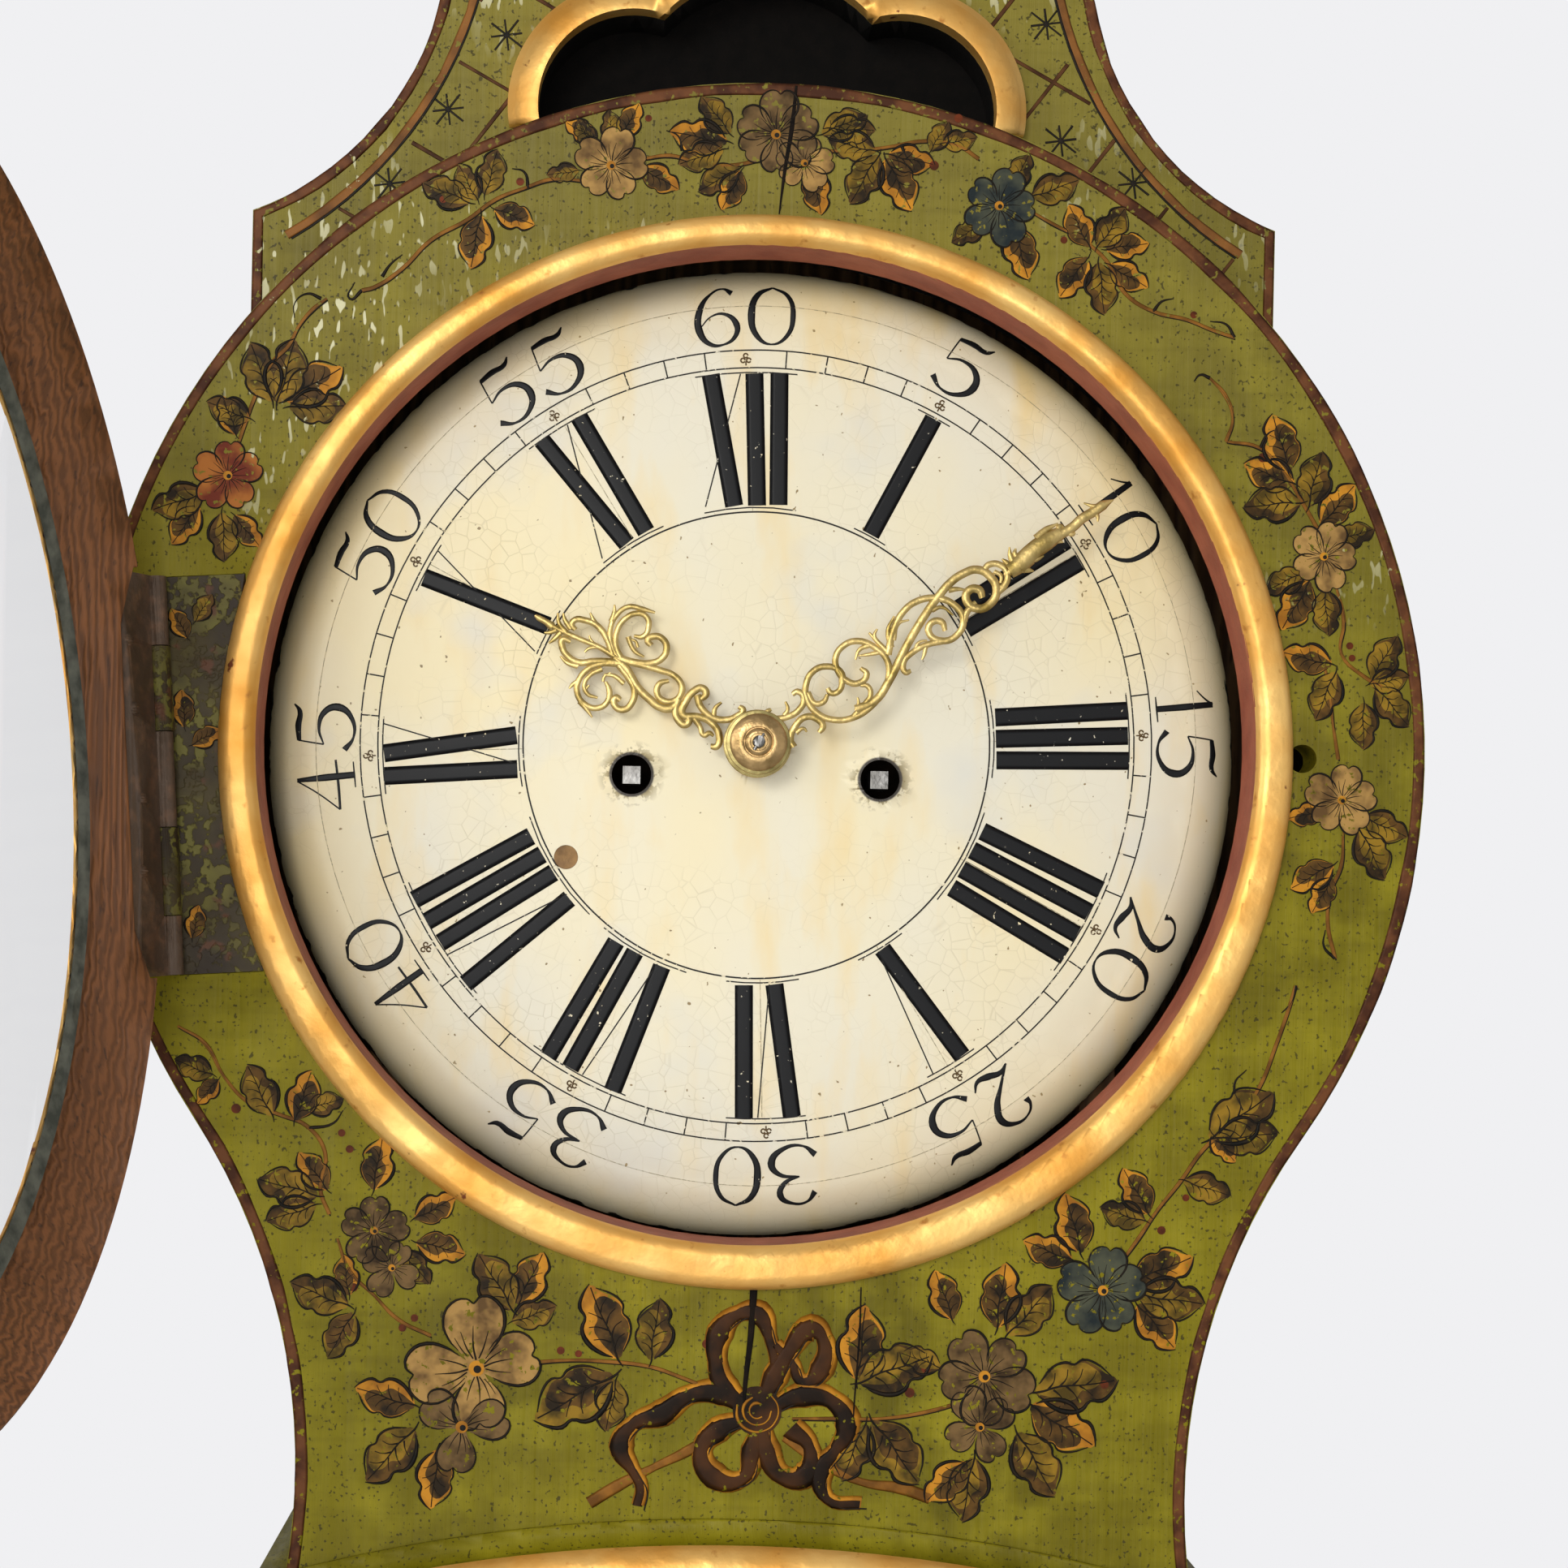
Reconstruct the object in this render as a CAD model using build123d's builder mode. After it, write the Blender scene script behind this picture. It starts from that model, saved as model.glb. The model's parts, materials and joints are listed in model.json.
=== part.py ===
from build123d import *
import os
from math import acos, atan2, cos, degrees, pi, radians, sin, sqrt

os.makedirs("parts", exist_ok=True)

# A painted mora (longcase) clock. Millimetres, +Z up, the front faces -Y. The origin lies on the
# flat underside, on the clock's middle plane. The dial door stands open and the hands show about
# nine minutes past ten.

# ---------------------------------------------------------------- driving dimensions: the case
HEAD_Z = 1850.0  # height of the centre of the round head
HEAD_R = 259.5  # outer radius of the round head
NECK_HALF = 172.4  # half width of the neck, at its narrowest
NECK_R = 247.0  # radius of the concave sides of the neck
HOOD_FOOT_DROP = 349.0  # bottom corners of the head board, below HEAD_Z
HOOD_ARCH_RISE = 24.0  # rise of its arched bottom edge
BOARD_T = 20.0  # head board and crest board
HOOD_FRONT_Y = -140.0  # front face of the head board
BACK_Y = 95.0  # rear face of the clock, which stands against a wall
BAND_T = 8.0  # bent side band of the head
BAND_INSET = 3.0  # band set in from the edge of the head board
BACKBOARD_T = 14.0
HOOD_GAP = 1.5  # head slides forward off the backboard with this gap

LEDGE_HALF = 176.0  # shelf on the trunk that the head stands on
LEDGE_HOLE_HALF = 136.0
LEDGE_HOLE_FRONT_Y = -88.0
LEDGE_HOLE_BACK_Y = 66.0
MOULD_RISE = 52.0  # top of the head's base moulding, above the head board's foot
MOULD_HALF = 188.0
MOULD_ARCH_RISE = 27.8
MOULD_NOSE = 1.5
MOULD_COVE = 8.0
MOULD_SHOULDER = 9.5
MOULD_PROUD = 16.0
MOULD_H = 28.0
MOULD_SWEEP = 18.0  # half the arc it is turned through, degrees
MOULD_SIDE_DEPTH = 14.5

RING_OUTER_R = 208.0  # gilt ring round the dial opening
RING_BORE_R = 193.3
RING_BORE_RISE = 2.7  # the bore was cut a little higher than the ring
RING_PROUD = 7.0
RING_OUTER_FILLET = 5.8
RING_INNER_FILLET = 5.0

BASE_HALF = 222.0
BASE_FRONT_Y = -136.0
BASE_TOP_Z = 456.0
BASE_BOARD_T = 18.0
BASE_CAP_T = 20.0
BASE_CAP_OVERHANG = 12.0
BASE_COVE = 20.0  # height of the small cove round the trunk's foot
SKIRT_H = 92.0
SKIRT_T = 12.0
SKIRT_CHAMFER = 7.0

TRUNK_FRONT_Y = -118.0
TRUNK_BOARD_T = 20.0
TRUNK_SIDE_T = 14.0
TRUNK_FOOT_HALF = 196.0
BELLY_HALF = 226.0
BELLY_Z = 920.0
WAIST_HALF = 156.0
WAIST_Z = 1400.0
LEDGE_T = 12.0
TONGUE_HALF = 148.0  # the trunk front rises behind the head board here
TONGUE_RISE = 40.0

DOOR_HALF = 104.0  # trunk door
DOOR_LOW_Z = 560.0
DOOR_SPRING_Z = 1372.0
DOOR_ARCH_RISE = 46.0
DOOR_GAP = 1.5
DOOR_T = 18.0
BEZEL_R = 74.0
BEZEL_WIDTH = 16.0
BEZEL_HOLE_R = 62.0
BEZEL_PROUD = 9.0
GLASS_T = 2.5
TRUNK_KNUCKLE_R = 3.5
TRUNK_KNUCKLES = (20.0, 24.0, 20.0)
TRUNK_HINGE_Z = (700.0, 1250.0)
TRUNK_LEAF_W = 24.0
KEY_X = 86.0
KEY_Z = 1090.0
KEYHOLE_R = 3.6
KEY_STEM_R = 2.6
KEY_BIT_R = 11.0
KEY_BIT_T = 2.4
KEY_BIT_L = 9.0
KEY_GAP = 0.5
KEY_L = 48.0
KEY_BOW_R = 11.0
LOCK_RIGHT = 103.0
LOCK_W = 46.0
LOCK_H = 54.0
LOCK_T = 14.0
LOCK_WALL = 1.6
BOLT_L = 34.0
BOLT_H = 8.0
BOLT_T = 5.0
BOLT_GAP = 0.25
ESCUTCHEON_W = 22.0
ESCUTCHEON_H = 40.0
ESCUTCHEON_T = 1.2
FIT = 0.3  # general gap between neighbours that don't touch

# ---------------------------------------------------------------- driving dimensions: dial and hands
ARBOR_X = 1.5  # the hands' arbor, a little off the head's centre
ARBOR_RISE = 4.4
DISC_R = 194.5  # painted dial
DISC_CROWN_Y = -117.0
DISC_SHOULDER_R = 172.0
DISC_SHOULDER_DROP = 6.0
DISC_RIM_DROP = 20.0
DISC_T = 2.0
DISC_RISE = 2.0
DIAL_HOLE_R = 7.4
WINDING_HOLE_R = 7.85
WINDING_HALF = 49.3  # winding arbors, to each side of the hands' arbor
WINDING_DROP = 12.7
WINDING_SQUARE = 7.0
FOOT_R = 3.0
FOOT_X = 72.0
FOOT_Z = 58.0

HOUR_HAND_L = 97.0
MINUTE_HAND_L = 161.0
HAND_T = 1.8
HOUR_HAND_Y = -124.0  # rear faces of the hands
MINUTE_HAND_Y = -131.8
HOUR_TURN = 60.9  # anticlockwise from twelve, seen from the front
MINUTE_TURN = -53.8
HUB_R = 12.2
WASHER_R = 10.9
WASHER_DOME = 3.6

# ---------------------------------------------------------------- driving dimensions: dial door
DDOOR_R = 218.0
DDOOR_BACK_R = 216.0
DDOOR_LIP_R = 193.0
DDOOR_REBATE_R = 198.0
DDOOR_BACK = 1.5  # depths of the closed door in front of the head board
DDOOR_EDGE_BACK = 3.0
DDOOR_EDGE_FRONT = 17.0
DDOOR_BEVEL = 23.0  # the wide inner bevel ends here, at the rebate
DDOOR_SEAT = 28.0  # the glass rests against the lip here
DDOOR_LIP = 30.0
DDOOR_CROWN = (208.0, 31.0)
PUTTY_R = 191.8
PUTTY_STEP = (194.0, 24.2)
DDOOR_OPEN = 99.3
HINGE_X = -228.0
HINGE_DROP = 14.0  # middle of the hinge, below HEAD_Z
HINGE_TILT = 3.8  # its pin leans towards the left
HINGE_OUT = 4.6  # its pin stands this far in front of the head board
KNUCKLE_R = 4.2
HINGE_PIN_R = 1.8
HINGE_PIN_GAP = 0.08
KNUCKLES = (27.0, 33.0, 37.0, 34.0, 23.0)  # from the top; the door has the odd ones
KNUCKLE_GAP = 0.4
LEAF_T = 2.0
LEAF_START = 2.0  # the leaves leave the barrel here
CASE_LEAF_W = 34.0
DOOR_LEAF_W = 27.0
DOOR_LEAF_SLOPE = 12.0
LEAF_BLOCK_RIM = 2.0  # wood left standing round the door leaf
LEAF_BLOCK_DEPTH = 12.0
NAIL_R = 2.4
NAIL_HEAD = 0.7
NAILS = ((21.0, 51.0), (19.0, 25.0), (16.0, -9.0), (18.0, -37.0), (22.0, -72.0))
CATCH_X = 212.0
CATCH_RISE = 2.0
CATCH_HOLE_R = 5.5
CATCH_PIN_R = 2.6
CATCH_PIN_L = 32.0
CATCH_SOCKET = 14.0  # depth it is sunk to, before the head board's plane

# ---------------------------------------------------------------- driving dimensions: crest
CREST_HALF = 202.0
CREST_SHOULDER = 211.5  # heights above HEAD_Z
CREST_LOW = 150.0
CREST_INNER_R = 236.0
CREST_SWEEP = ((154.5, 245.0), (129.0, 300.0))
CREST_HORN = ((127.0, 330.0), (150.0, 360.0))
CREST_HORN_LIP = 10.0
CREST_TOP_SWEEP = ((104.0, 377.0), (66.0, 396.0))
CREST_TOP_MID = (35.0, 414.0)
CREST_TOP = 420.0
LOBE_X = 52.5
LOBE_RISE = 254.0
LOBE_R = 37.5
CUSP_X = 41.0
CUSP_DROP = 18.3  # below the opening's top
ARCH_TOP = 308.0
CREST_OPENING_LOW = 244.5
CREST_MOULD_W = 12.0
CREST_MOULD_PROUD = 8.0
CREST_MOULD_STEP = 3.0
CREST_MOULD_LIFT = 1.5  # it starts this far above the opening's foot
CREST_BACKING_T = 4.0  # black panel that closes the opening behind
FINIAL_RISE = 400.0
FINIAL_L = 88.0
FINIAL_T = 16.0
FINIAL_RAYS = 7
FINIAL_SPREAD = 150.0
FINIAL_RAY_HALF = 13.0
FINIAL_EYE_R = 20.0
FINIAL_VOLUTE_X = 34.0
FINIAL_VOLUTE_R = 15.0

# ---------------------------------------------------------------- driving dimensions: movement
PLATE_T = 3.0
PLATE_FRONT_Y = -80.0
PLATE_GAP = 60.0
PLATE_HALF = 97.0
PLATE_LOW = 74.0  # below the hands' arbor
PLATE_HIGH = 92.0  # above it
PILLAR_R = 5.0
PILLAR_INSET = 9.0
PIVOT_R = 1.5
PIVOT_GAP = 0.06
ARBOR_R = 2.2
WHEEL_T = 2.2
PINION_T = 9.0
GREAT_TEETH = 96
CENTRE_LEAVES = 12
CENTRE_TEETH = 60
THIRD_LEAVES = 8
THIRD_TEETH = 56
ESCAPE_LEAVES = 7
ESCAPE_TEETH = 30
CANNON_TEETH = 12
MINUTE_TEETH = 36
MINUTE_LEAVES = 10
HOUR_TEETH = 40
CENTRE_MODULE = 0.90
THIRD_MODULE = 0.80
MOTION_MODULE = 1.00
THIRD_BEARING = 60.0  # direction of the third arbor from the centre arbor, degrees
ESCAPE_R = 20.0
PALLET_RISE = 27.0
BARREL_R = 22.0
BARREL_L = 34.0
BARREL_FLANGE_R = 25.2
LINE_R = 1.2
SEAT_T = 16.0
SEAT_HALF = 152.0
CHEEK_T = 14.0

SPOKE_W = 3.0
RIM_W = 3.2
BARREL_ARBOR_R = 3.0
CENTRE_Y = -24.0  # rear faces of the wheels
THIRD_Y = -47.5
ESCAPE_Y = -57.5
GREAT_Y = -67.5
CANNON_Y = -81.0
CANNON_T = 5.0
CANNON_PIPE_R = 3.9
HOUR_WHEEL_Y = -88.5
HOUR_PIPE_R = 6.0
MINUTE_PINION_L = 9.0
STUD_R = 2.0
STUD_END_Y = -93.5
ARBOR_END_Y = -141.5
ESCAPE_ROOT_R = 16.5
ESCAPE_ARBOR_R = 1.7
CRUTCH_HOLE_R = 5.0
BARREL_BACK_Y = -30.0
WINDING_END_Y = -113.0
WINDING_L = 24.0
LIFT_PINS = 12
LIFT_PIN_CIRCLE = 35.8
STRIKE_TEETH = 84
LIFT_PIN_R = 1.2
LIFT_PIN_L = 6.0
HAMMER_OFF = 66.0  # hammer arbor, left of and above the hands' arbor
HAMMER_RISE = 62.0
HAMMER_STEM_T = 3.0
HAMMER_TAIL = 24.0
HAMMER_HEAD_R = 6.5
HAMMER_HEAD_L = 25.0
MID_PLATE_Y = -47.0
SEAT_FRONT_Y = -85.0
SEAT_BACK_Y = 8.0
SEAT_SLOT_L = 26.0
SEAT_SLOT_W = 12.0
CHEEK_BACK_Y = 60.0
BELL_STRAP_RISE = 4.4  # strap under the bell, above the plates
BELL_STRAP_W = 12.0
BELL_TAB_X = 36.0
BELL_TAB_H = 22.0
PIN_R = 0.7
PIN_L = 13.0
PIN_TURN = 60.0

# outlines of the hands: distance from the arbor, half width
HOUR_OUTLINE = (
    (10.0, 5.5),
    (17.0, 9.0),
    (21.0, 4.0),
    (27.0, 3.0),
    (33.0, 7.0),
    (40.0, 7.5),
    (45.0, 3.0),
    (50.0, 4.0),
    (54.0, 13.0),
    (60.0, 19.0),
    (66.0, 17.0),
    (72.0, 18.0),
    (79.0, 12.0),
    (84.0, 4.0),
    (90.0, 2.4),
    (HOUR_HAND_L, 0.5),
)
HOUR_PIERCINGS = ((37.0, 3.2, 3.4, 1.6), (61.0, 9.5, 4.0, 4.6), (72.0, 7.5, 3.0, 4.4))
MINUTE_OUTLINE = (
    (10.0, 4.5),
    (18.0, 8.0),
    (23.0, 3.0),
    (32.0, 3.2),
    (40.0, 9.0),
    (52.0, 9.0),
    (60.0, 3.0),
    (70.0, 4.0),
    (80.0, 8.0),
    (90.0, 4.0),
    (98.0, 5.0),
    (106.0, 9.0),
    (115.0, 10.0),
    (121.0, 5.0),
    (131.0, 4.0),
    (141.0, 6.0),
    (150.0, 3.5),
    (MINUTE_HAND_L, 0.6),
)
MINUTE_PIERCINGS = ((46.0, 4.0, 6.0, 2.4), (80.0, 3.4, 4.0, 1.8), (110.0, 3.6, 3.4, 2.2))

PENDULUM_Y = 24.0
COCK_HALF = 16.0
COCK_REACH = 9.0
COCK_ROOMS = ((-3.0, -11.0), (15.0, 1.0), (29.0, 19.0))  # rooms inside the cock: back, front y
CRUTCH_Y = -5.0
CRUTCH_T = 3.0
CRUTCH_HALF = 3.0
CRUTCH_L = 118.0
FORK_W = 14.0
FORK_T = 5.0
FORK_PAST = 6.0
ANCHOR = (
    (0.0, 5.0),
    (8.0, 3.5),
    (20.0, -6.0),
    (22.0, -15.0),
    (19.2, -15.0),
    (16.8, -9.5),
    (7.0, -4.5),
    (0.0, -4.0),
)
SPRING_T = 0.5
SPRING_W = 7.0
BOB_EDGE = 3.0
NUT_R = 9.0
NUT_H = 8.0
ROD_PAST = 14.0
PENDULUM_L = 994.0  # suspension to the middle of the bob: one second each way
ROD_R = 3.0
BOB_R = 84.0
BOB_T = 26.0
SPRING_L = 46.0
COCK_T = 4.0

PULLEY_R = 22.0
PULLEY_T = 9.0
WEIGHT_R = 31.0
WEIGHT_L = 190.0
PULLEY_FLANGE_R = 25.0
PULLEY_PIN_R = 2.5
STIRRUP_RISE = 44.0  # pulley pin above the weight's top
STIRRUP_W = 9.0
STIRRUP_T = 2.5
WEIGHT_Z = 330.0  # underside of the run-down weights
BELL_R = 50.0
BELL_H = 34.0
BELL_T = 2.5
BELL_RISE = 122.0
BELL_Y = -47.0
LINE_Y = -47.0

# ---------------------------------------------------------------- values worked out from them
ARBOR_Z = HEAD_Z + ARBOR_RISE
MOULD_DROP = HOOD_FOOT_DROP - MOULD_RISE
CUSP_RISE = ARCH_TOP - CUSP_DROP
DISC_Z = HEAD_Z + DISC_RISE
NECK_X = NECK_HALF + NECK_R
NECK_DROP = sqrt((HEAD_R + NECK_R) ** 2 - NECK_X**2)
NECK_Z = HEAD_Z - NECK_DROP
HOOD_FOOT_Z = HEAD_Z - HOOD_FOOT_DROP
BOARD_BACK_Y = HOOD_FRONT_Y + BOARD_T
BACKBOARD_Y = BACK_Y - BACKBOARD_T
TRUNK_TOP_Z = HOOD_FOOT_Z - LEDGE_T
TRUNK_FOOT_Z = BASE_TOP_Z + BASE_CAP_T
TRUNK_BACK_Y = TRUNK_FRONT_Y + TRUNK_BOARD_T
BASE_BACK_Y = BASE_FRONT_Y + BASE_BOARD_T
PLATE_INNER_Y = PLATE_FRONT_Y + PLATE_T
PLATE_REAR_Y = PLATE_INNER_Y + PLATE_GAP
MOVEMENT_BACK_Y = PLATE_REAR_Y + PLATE_T
GREAT_D = sqrt(WINDING_HALF**2 + WINDING_DROP**2)
GREAT_MODULE = 2 * GREAT_D / (GREAT_TEETH + CENTRE_LEAVES)
THIRD_D = CENTRE_MODULE * (CENTRE_TEETH + THIRD_LEAVES) / 2
THIRD_X = ARBOR_X + THIRD_D * cos(radians(THIRD_BEARING))
THIRD_Z = ARBOR_Z + THIRD_D * sin(radians(THIRD_BEARING))
ESCAPE_D = THIRD_MODULE * (THIRD_TEETH + ESCAPE_LEAVES) / 2
ESCAPE_Z = THIRD_Z + sqrt(ESCAPE_D**2 - (THIRD_X - ARBOR_X) ** 2)
PALLET_Z = ESCAPE_Z + PALLET_RISE
BELL_STRAP_Z = ARBOR_Z + PLATE_HIGH + BELL_STRAP_RISE
MINUTE_D = MOTION_MODULE * (CANNON_TEETH + MINUTE_TEETH) / 2
HOUR_MODULE = 2 * MINUTE_D / (MINUTE_LEAVES + HOUR_TEETH)
BARREL_Z = ARBOR_Z - WINDING_DROP
BOB_Z = PALLET_Z - PENDULUM_L
SEAT_TOP_Z = ARBOR_Z - PLATE_LOW
SEAT_Z = SEAT_TOP_Z - SEAT_T
SIDES = (-1, 1)
HINGE_Y = HOOD_FRONT_Y - HINGE_OUT
HINGE_Z = HEAD_Z - HINGE_DROP
HINGE_RIGHT = (cos(radians(HINGE_TILT)), 0.0, sin(radians(HINGE_TILT)))
HINGE_UP = (-sin(radians(HINGE_TILT)), 0.0, cos(radians(HINGE_TILT)))
HINGE_PLANE = Plane(origin=(HINGE_X, HINGE_Y, HINGE_Z), x_dir=HINGE_RIGHT, z_dir=HINGE_UP)
HINGE_AXIS = Axis((HINGE_X, HINGE_Y, HINGE_Z), HINGE_UP)
HINGE_HALF = sum(KNUCKLES) / 2
CREST_BACK_Y = BOARD_BACK_Y + BOARD_T


def facing(y):
    """Upright plane at depth y: x runs right, z runs up, and extrusion runs to the front."""
    return Plane.XZ.offset(-y)


def flat(z):
    """Level plane at height z."""
    return Plane.XY.offset(z)


# ---------------------------------------------------------------- outlines of the case
def head_outline(inset, foot_z, arch_rise=0.0, keep=Mode.ADD):
    """Adds (or cuts) the round head and its neck, drawn inset from the case's edge."""
    head_r = HEAD_R - inset
    neck_r = NECK_R + inset
    reach = head_r / (HEAD_R + NECK_R)
    join = (NECK_X * reach, HEAD_Z - NECK_DROP * reach)
    foot_x = NECK_X - sqrt(neck_r**2 - (foot_z - NECK_Z) ** 2)
    middle_z = (join[1] + foot_z) / 2
    middle_x = NECK_X - sqrt(neck_r**2 - (middle_z - NECK_Z) ** 2)
    with BuildLine() as outline:
        if arch_rise:
            arch_r = (foot_x**2 + arch_rise**2) / (2 * arch_rise)
            quarter_z = foot_z + arch_rise - arch_r + sqrt(arch_r**2 - foot_x**2 / 4)
            ThreePointArc((0, foot_z + arch_rise), (foot_x / 2, quarter_z), (foot_x, foot_z))
        else:
            Line((0, foot_z), (foot_x, foot_z))
        ThreePointArc((foot_x, foot_z), (middle_x, middle_z), join)
        ThreePointArc(join, (head_r, HEAD_Z), (0, HEAD_Z + head_r))
        Line((0, HEAD_Z + head_r), (0, foot_z + arch_rise))
    half = make_face(outline.edges(), mode=Mode.PRIVATE)
    add(half, mode=keep)
    add(mirror(half, about=Plane.YZ, mode=Mode.PRIVATE), mode=keep)


def swell(low, high):
    """Adds an S curve of two equal arcs, upright at both ends."""
    middle = ((low[0] + high[0]) / 2, (low[1] + high[1]) / 2)
    TangentArc(low, middle, tangent=(0, 1))
    TangentArc(high, middle, tangent=(0, -1))


def trunk_outline(inset, foot_z, top_z):
    """Adds the curved trunk, drawn inset from its edge, to a sketch."""
    waist_rise = WAIST_Z - BELLY_Z
    waist_r = ((BELLY_HALF - WAIST_HALF) ** 2 + waist_rise**2) / (4 * (BELLY_HALF - WAIST_HALF))
    top_x = WAIST_HALF + waist_r - sqrt(waist_r**2 - (top_z - WAIST_Z) ** 2)
    with BuildLine() as outline:
        Line((0, foot_z), (TRUNK_FOOT_HALF - inset, foot_z))
        swell((TRUNK_FOOT_HALF - inset, foot_z), (BELLY_HALF - inset, BELLY_Z))
        swell((BELLY_HALF - inset, BELLY_Z), (WAIST_HALF - inset, WAIST_Z))
        TangentArc((WAIST_HALF - inset, WAIST_Z), (top_x - inset, top_z), tangent=(0, 1))
        Line((top_x - inset, top_z), (0, top_z))
        Line((0, top_z), (0, foot_z))
    make_face(outline.edges())
    mirror(about=Plane.YZ)


def door_outline(margin):
    """Adds the trunk door's arched outline, grown by a margin, to a sketch."""
    half = DOOR_HALF + margin
    low = DOOR_LOW_Z - margin
    with BuildLine() as outline:
        Line((0, low), (half, low))
        Line((half, low), (half, DOOR_SPRING_Z))
        ThreePointArc(
            (half, DOOR_SPRING_Z),
            (0, DOOR_SPRING_Z + DOOR_ARCH_RISE + margin),
            (-half, DOOR_SPRING_Z),
        )
        Line((-half, DOOR_SPRING_Z), (-half, low))
        Line((-half, low), (0, low))
    make_face(outline.edges())


# ---------------------------------------------------------------- base
with BuildPart() as bottom_board:
    with BuildSketch(flat(0)):
        with Locations((0, (BASE_FRONT_Y + BACK_Y) / 2)):
            Rectangle(2 * BASE_HALF, BACK_Y - BASE_FRONT_Y)
    extrude(amount=BASE_BOARD_T)
bottom_board.part.label = "bottom_board"
export_step(bottom_board.part, "parts/bottom_board.step")

with BuildPart() as base_front_panel:
    with BuildSketch(facing(BASE_BACK_Y)):
        with Locations((0, (BASE_BOARD_T + BASE_TOP_Z) / 2)):
            Rectangle(2 * BASE_HALF, BASE_TOP_Z - BASE_BOARD_T)
    extrude(amount=BASE_BOARD_T)
base_front_panel.part.label = "base_front_panel"
export_step(base_front_panel.part, "parts/base_front_panel.step")

with BuildPart() as base_side_panels:
    for side in SIDES:
        with BuildSketch(flat(BASE_BOARD_T)):
            with Locations((side * (BASE_HALF - BASE_BOARD_T / 2), (BASE_BACK_Y + BACKBOARD_Y) / 2)):
                Rectangle(BASE_BOARD_T, BACKBOARD_Y - BASE_BACK_Y)
        extrude(amount=BASE_TOP_Z - BASE_BOARD_T)
base_side_panels.part.label = "base_side_panels"
export_step(base_side_panels.part, "parts/base_side_panels.step")

with BuildPart() as base_skirting:
    with BuildSketch(flat(0)):
        with Locations((0, (BASE_FRONT_Y - SKIRT_T + BACK_Y) / 2)):
            Rectangle(2 * (BASE_HALF + SKIRT_T), BACK_Y - BASE_FRONT_Y + SKIRT_T)
    extrude(amount=SKIRT_H)
    skirt_top = base_skirting.faces().sort_by(Axis.Z)[-1]
    skirt_rim = skirt_top.edges().sort_by(Axis.Y)[:-1]
    chamfer(skirt_rim, length=SKIRT_CHAMFER)
    with BuildSketch(flat(0)):
        with Locations((0, (BASE_FRONT_Y + BACK_Y) / 2)):
            Rectangle(2 * BASE_HALF, BACK_Y - BASE_FRONT_Y)
    extrude(amount=SKIRT_H, mode=Mode.SUBTRACT)
base_skirting.part.label = "base_skirting"
export_step(base_skirting.part, "parts/base_skirting.step")

CAP_HALF = BASE_HALF + BASE_CAP_OVERHANG
CAP_FRONT_Y = BASE_FRONT_Y - BASE_CAP_OVERHANG
CAP_HOLE_HALF = TRUNK_FOOT_HALF - TRUNK_SIDE_T - 8.0
CAP_HOLE_FRONT_Y = TRUNK_BACK_Y + 4.0
CAP_HOLE_BACK_Y = BACKBOARD_Y - 8.0
with BuildPart() as base_cap:
    with BuildSketch(flat(BASE_TOP_Z)):
        with Locations((0, (CAP_FRONT_Y + BACKBOARD_Y) / 2)):
            Rectangle(2 * CAP_HALF, BACKBOARD_Y - CAP_FRONT_Y)
        with Locations((0, (CAP_HOLE_FRONT_Y + CAP_HOLE_BACK_Y) / 2)):
            Rectangle(2 * CAP_HOLE_HALF, CAP_HOLE_BACK_Y - CAP_HOLE_FRONT_Y, mode=Mode.SUBTRACT)
    extrude(amount=BASE_CAP_T)
    cap_rim = base_cap.edges().filter_by(Axis.X).group_by(Axis.Y)[0]
    cap_rim += base_cap.edges().filter_by(Axis.Y).group_by(Axis.X)[0]
    cap_rim += base_cap.edges().filter_by(Axis.Y).group_by(Axis.X)[-1]
    fillet(cap_rim, radius=BASE_CAP_T * 0.4)
    # the cove that stands on the cap against the trunk's front
    with BuildSketch(Plane.YZ.offset(-TRUNK_FOOT_HALF)):
        with BuildLine():
            Line((TRUNK_FRONT_Y, TRUNK_FOOT_Z), (TRUNK_FRONT_Y - BASE_COVE, TRUNK_FOOT_Z))
            Line((TRUNK_FRONT_Y - BASE_COVE, TRUNK_FOOT_Z), (TRUNK_FRONT_Y - BASE_COVE, TRUNK_FOOT_Z + 4))
            RadiusArc(
                (TRUNK_FRONT_Y - BASE_COVE, TRUNK_FOOT_Z + 4),
                (TRUNK_FRONT_Y - 4, TRUNK_FOOT_Z + BASE_COVE),
                BASE_COVE - 4,
            )
            Line((TRUNK_FRONT_Y - 4, TRUNK_FOOT_Z + BASE_COVE), (TRUNK_FRONT_Y, TRUNK_FOOT_Z + BASE_COVE))
            Line((TRUNK_FRONT_Y, TRUNK_FOOT_Z + BASE_COVE), (TRUNK_FRONT_Y, TRUNK_FOOT_Z))
        make_face()
    extrude(amount=2 * TRUNK_FOOT_HALF)
base_cap.part.label = "base_cap"
export_step(base_cap.part, "parts/base_cap.step")

# ---------------------------------------------------------------- trunk
with BuildPart() as backboard:
    with BuildSketch(facing(BACK_Y)):
        trunk_outline(0, TRUNK_FOOT_Z, TRUNK_TOP_Z)
        head_outline(BAND_INSET + BAND_T + HOOD_GAP, HOOD_FOOT_Z)
        with Locations((0, (BASE_BOARD_T + TRUNK_FOOT_Z) / 2)):
            Rectangle(2 * BASE_HALF, TRUNK_FOOT_Z - BASE_BOARD_T)
        with Locations((0, (TRUNK_TOP_Z + HOOD_FOOT_Z) / 2)):
            Rectangle(2 * WAIST_HALF, LEDGE_T)
    extrude(amount=BACKBOARD_T)
backboard.part.label = "backboard"
export_step(backboard.part, "parts/backboard.step")

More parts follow.
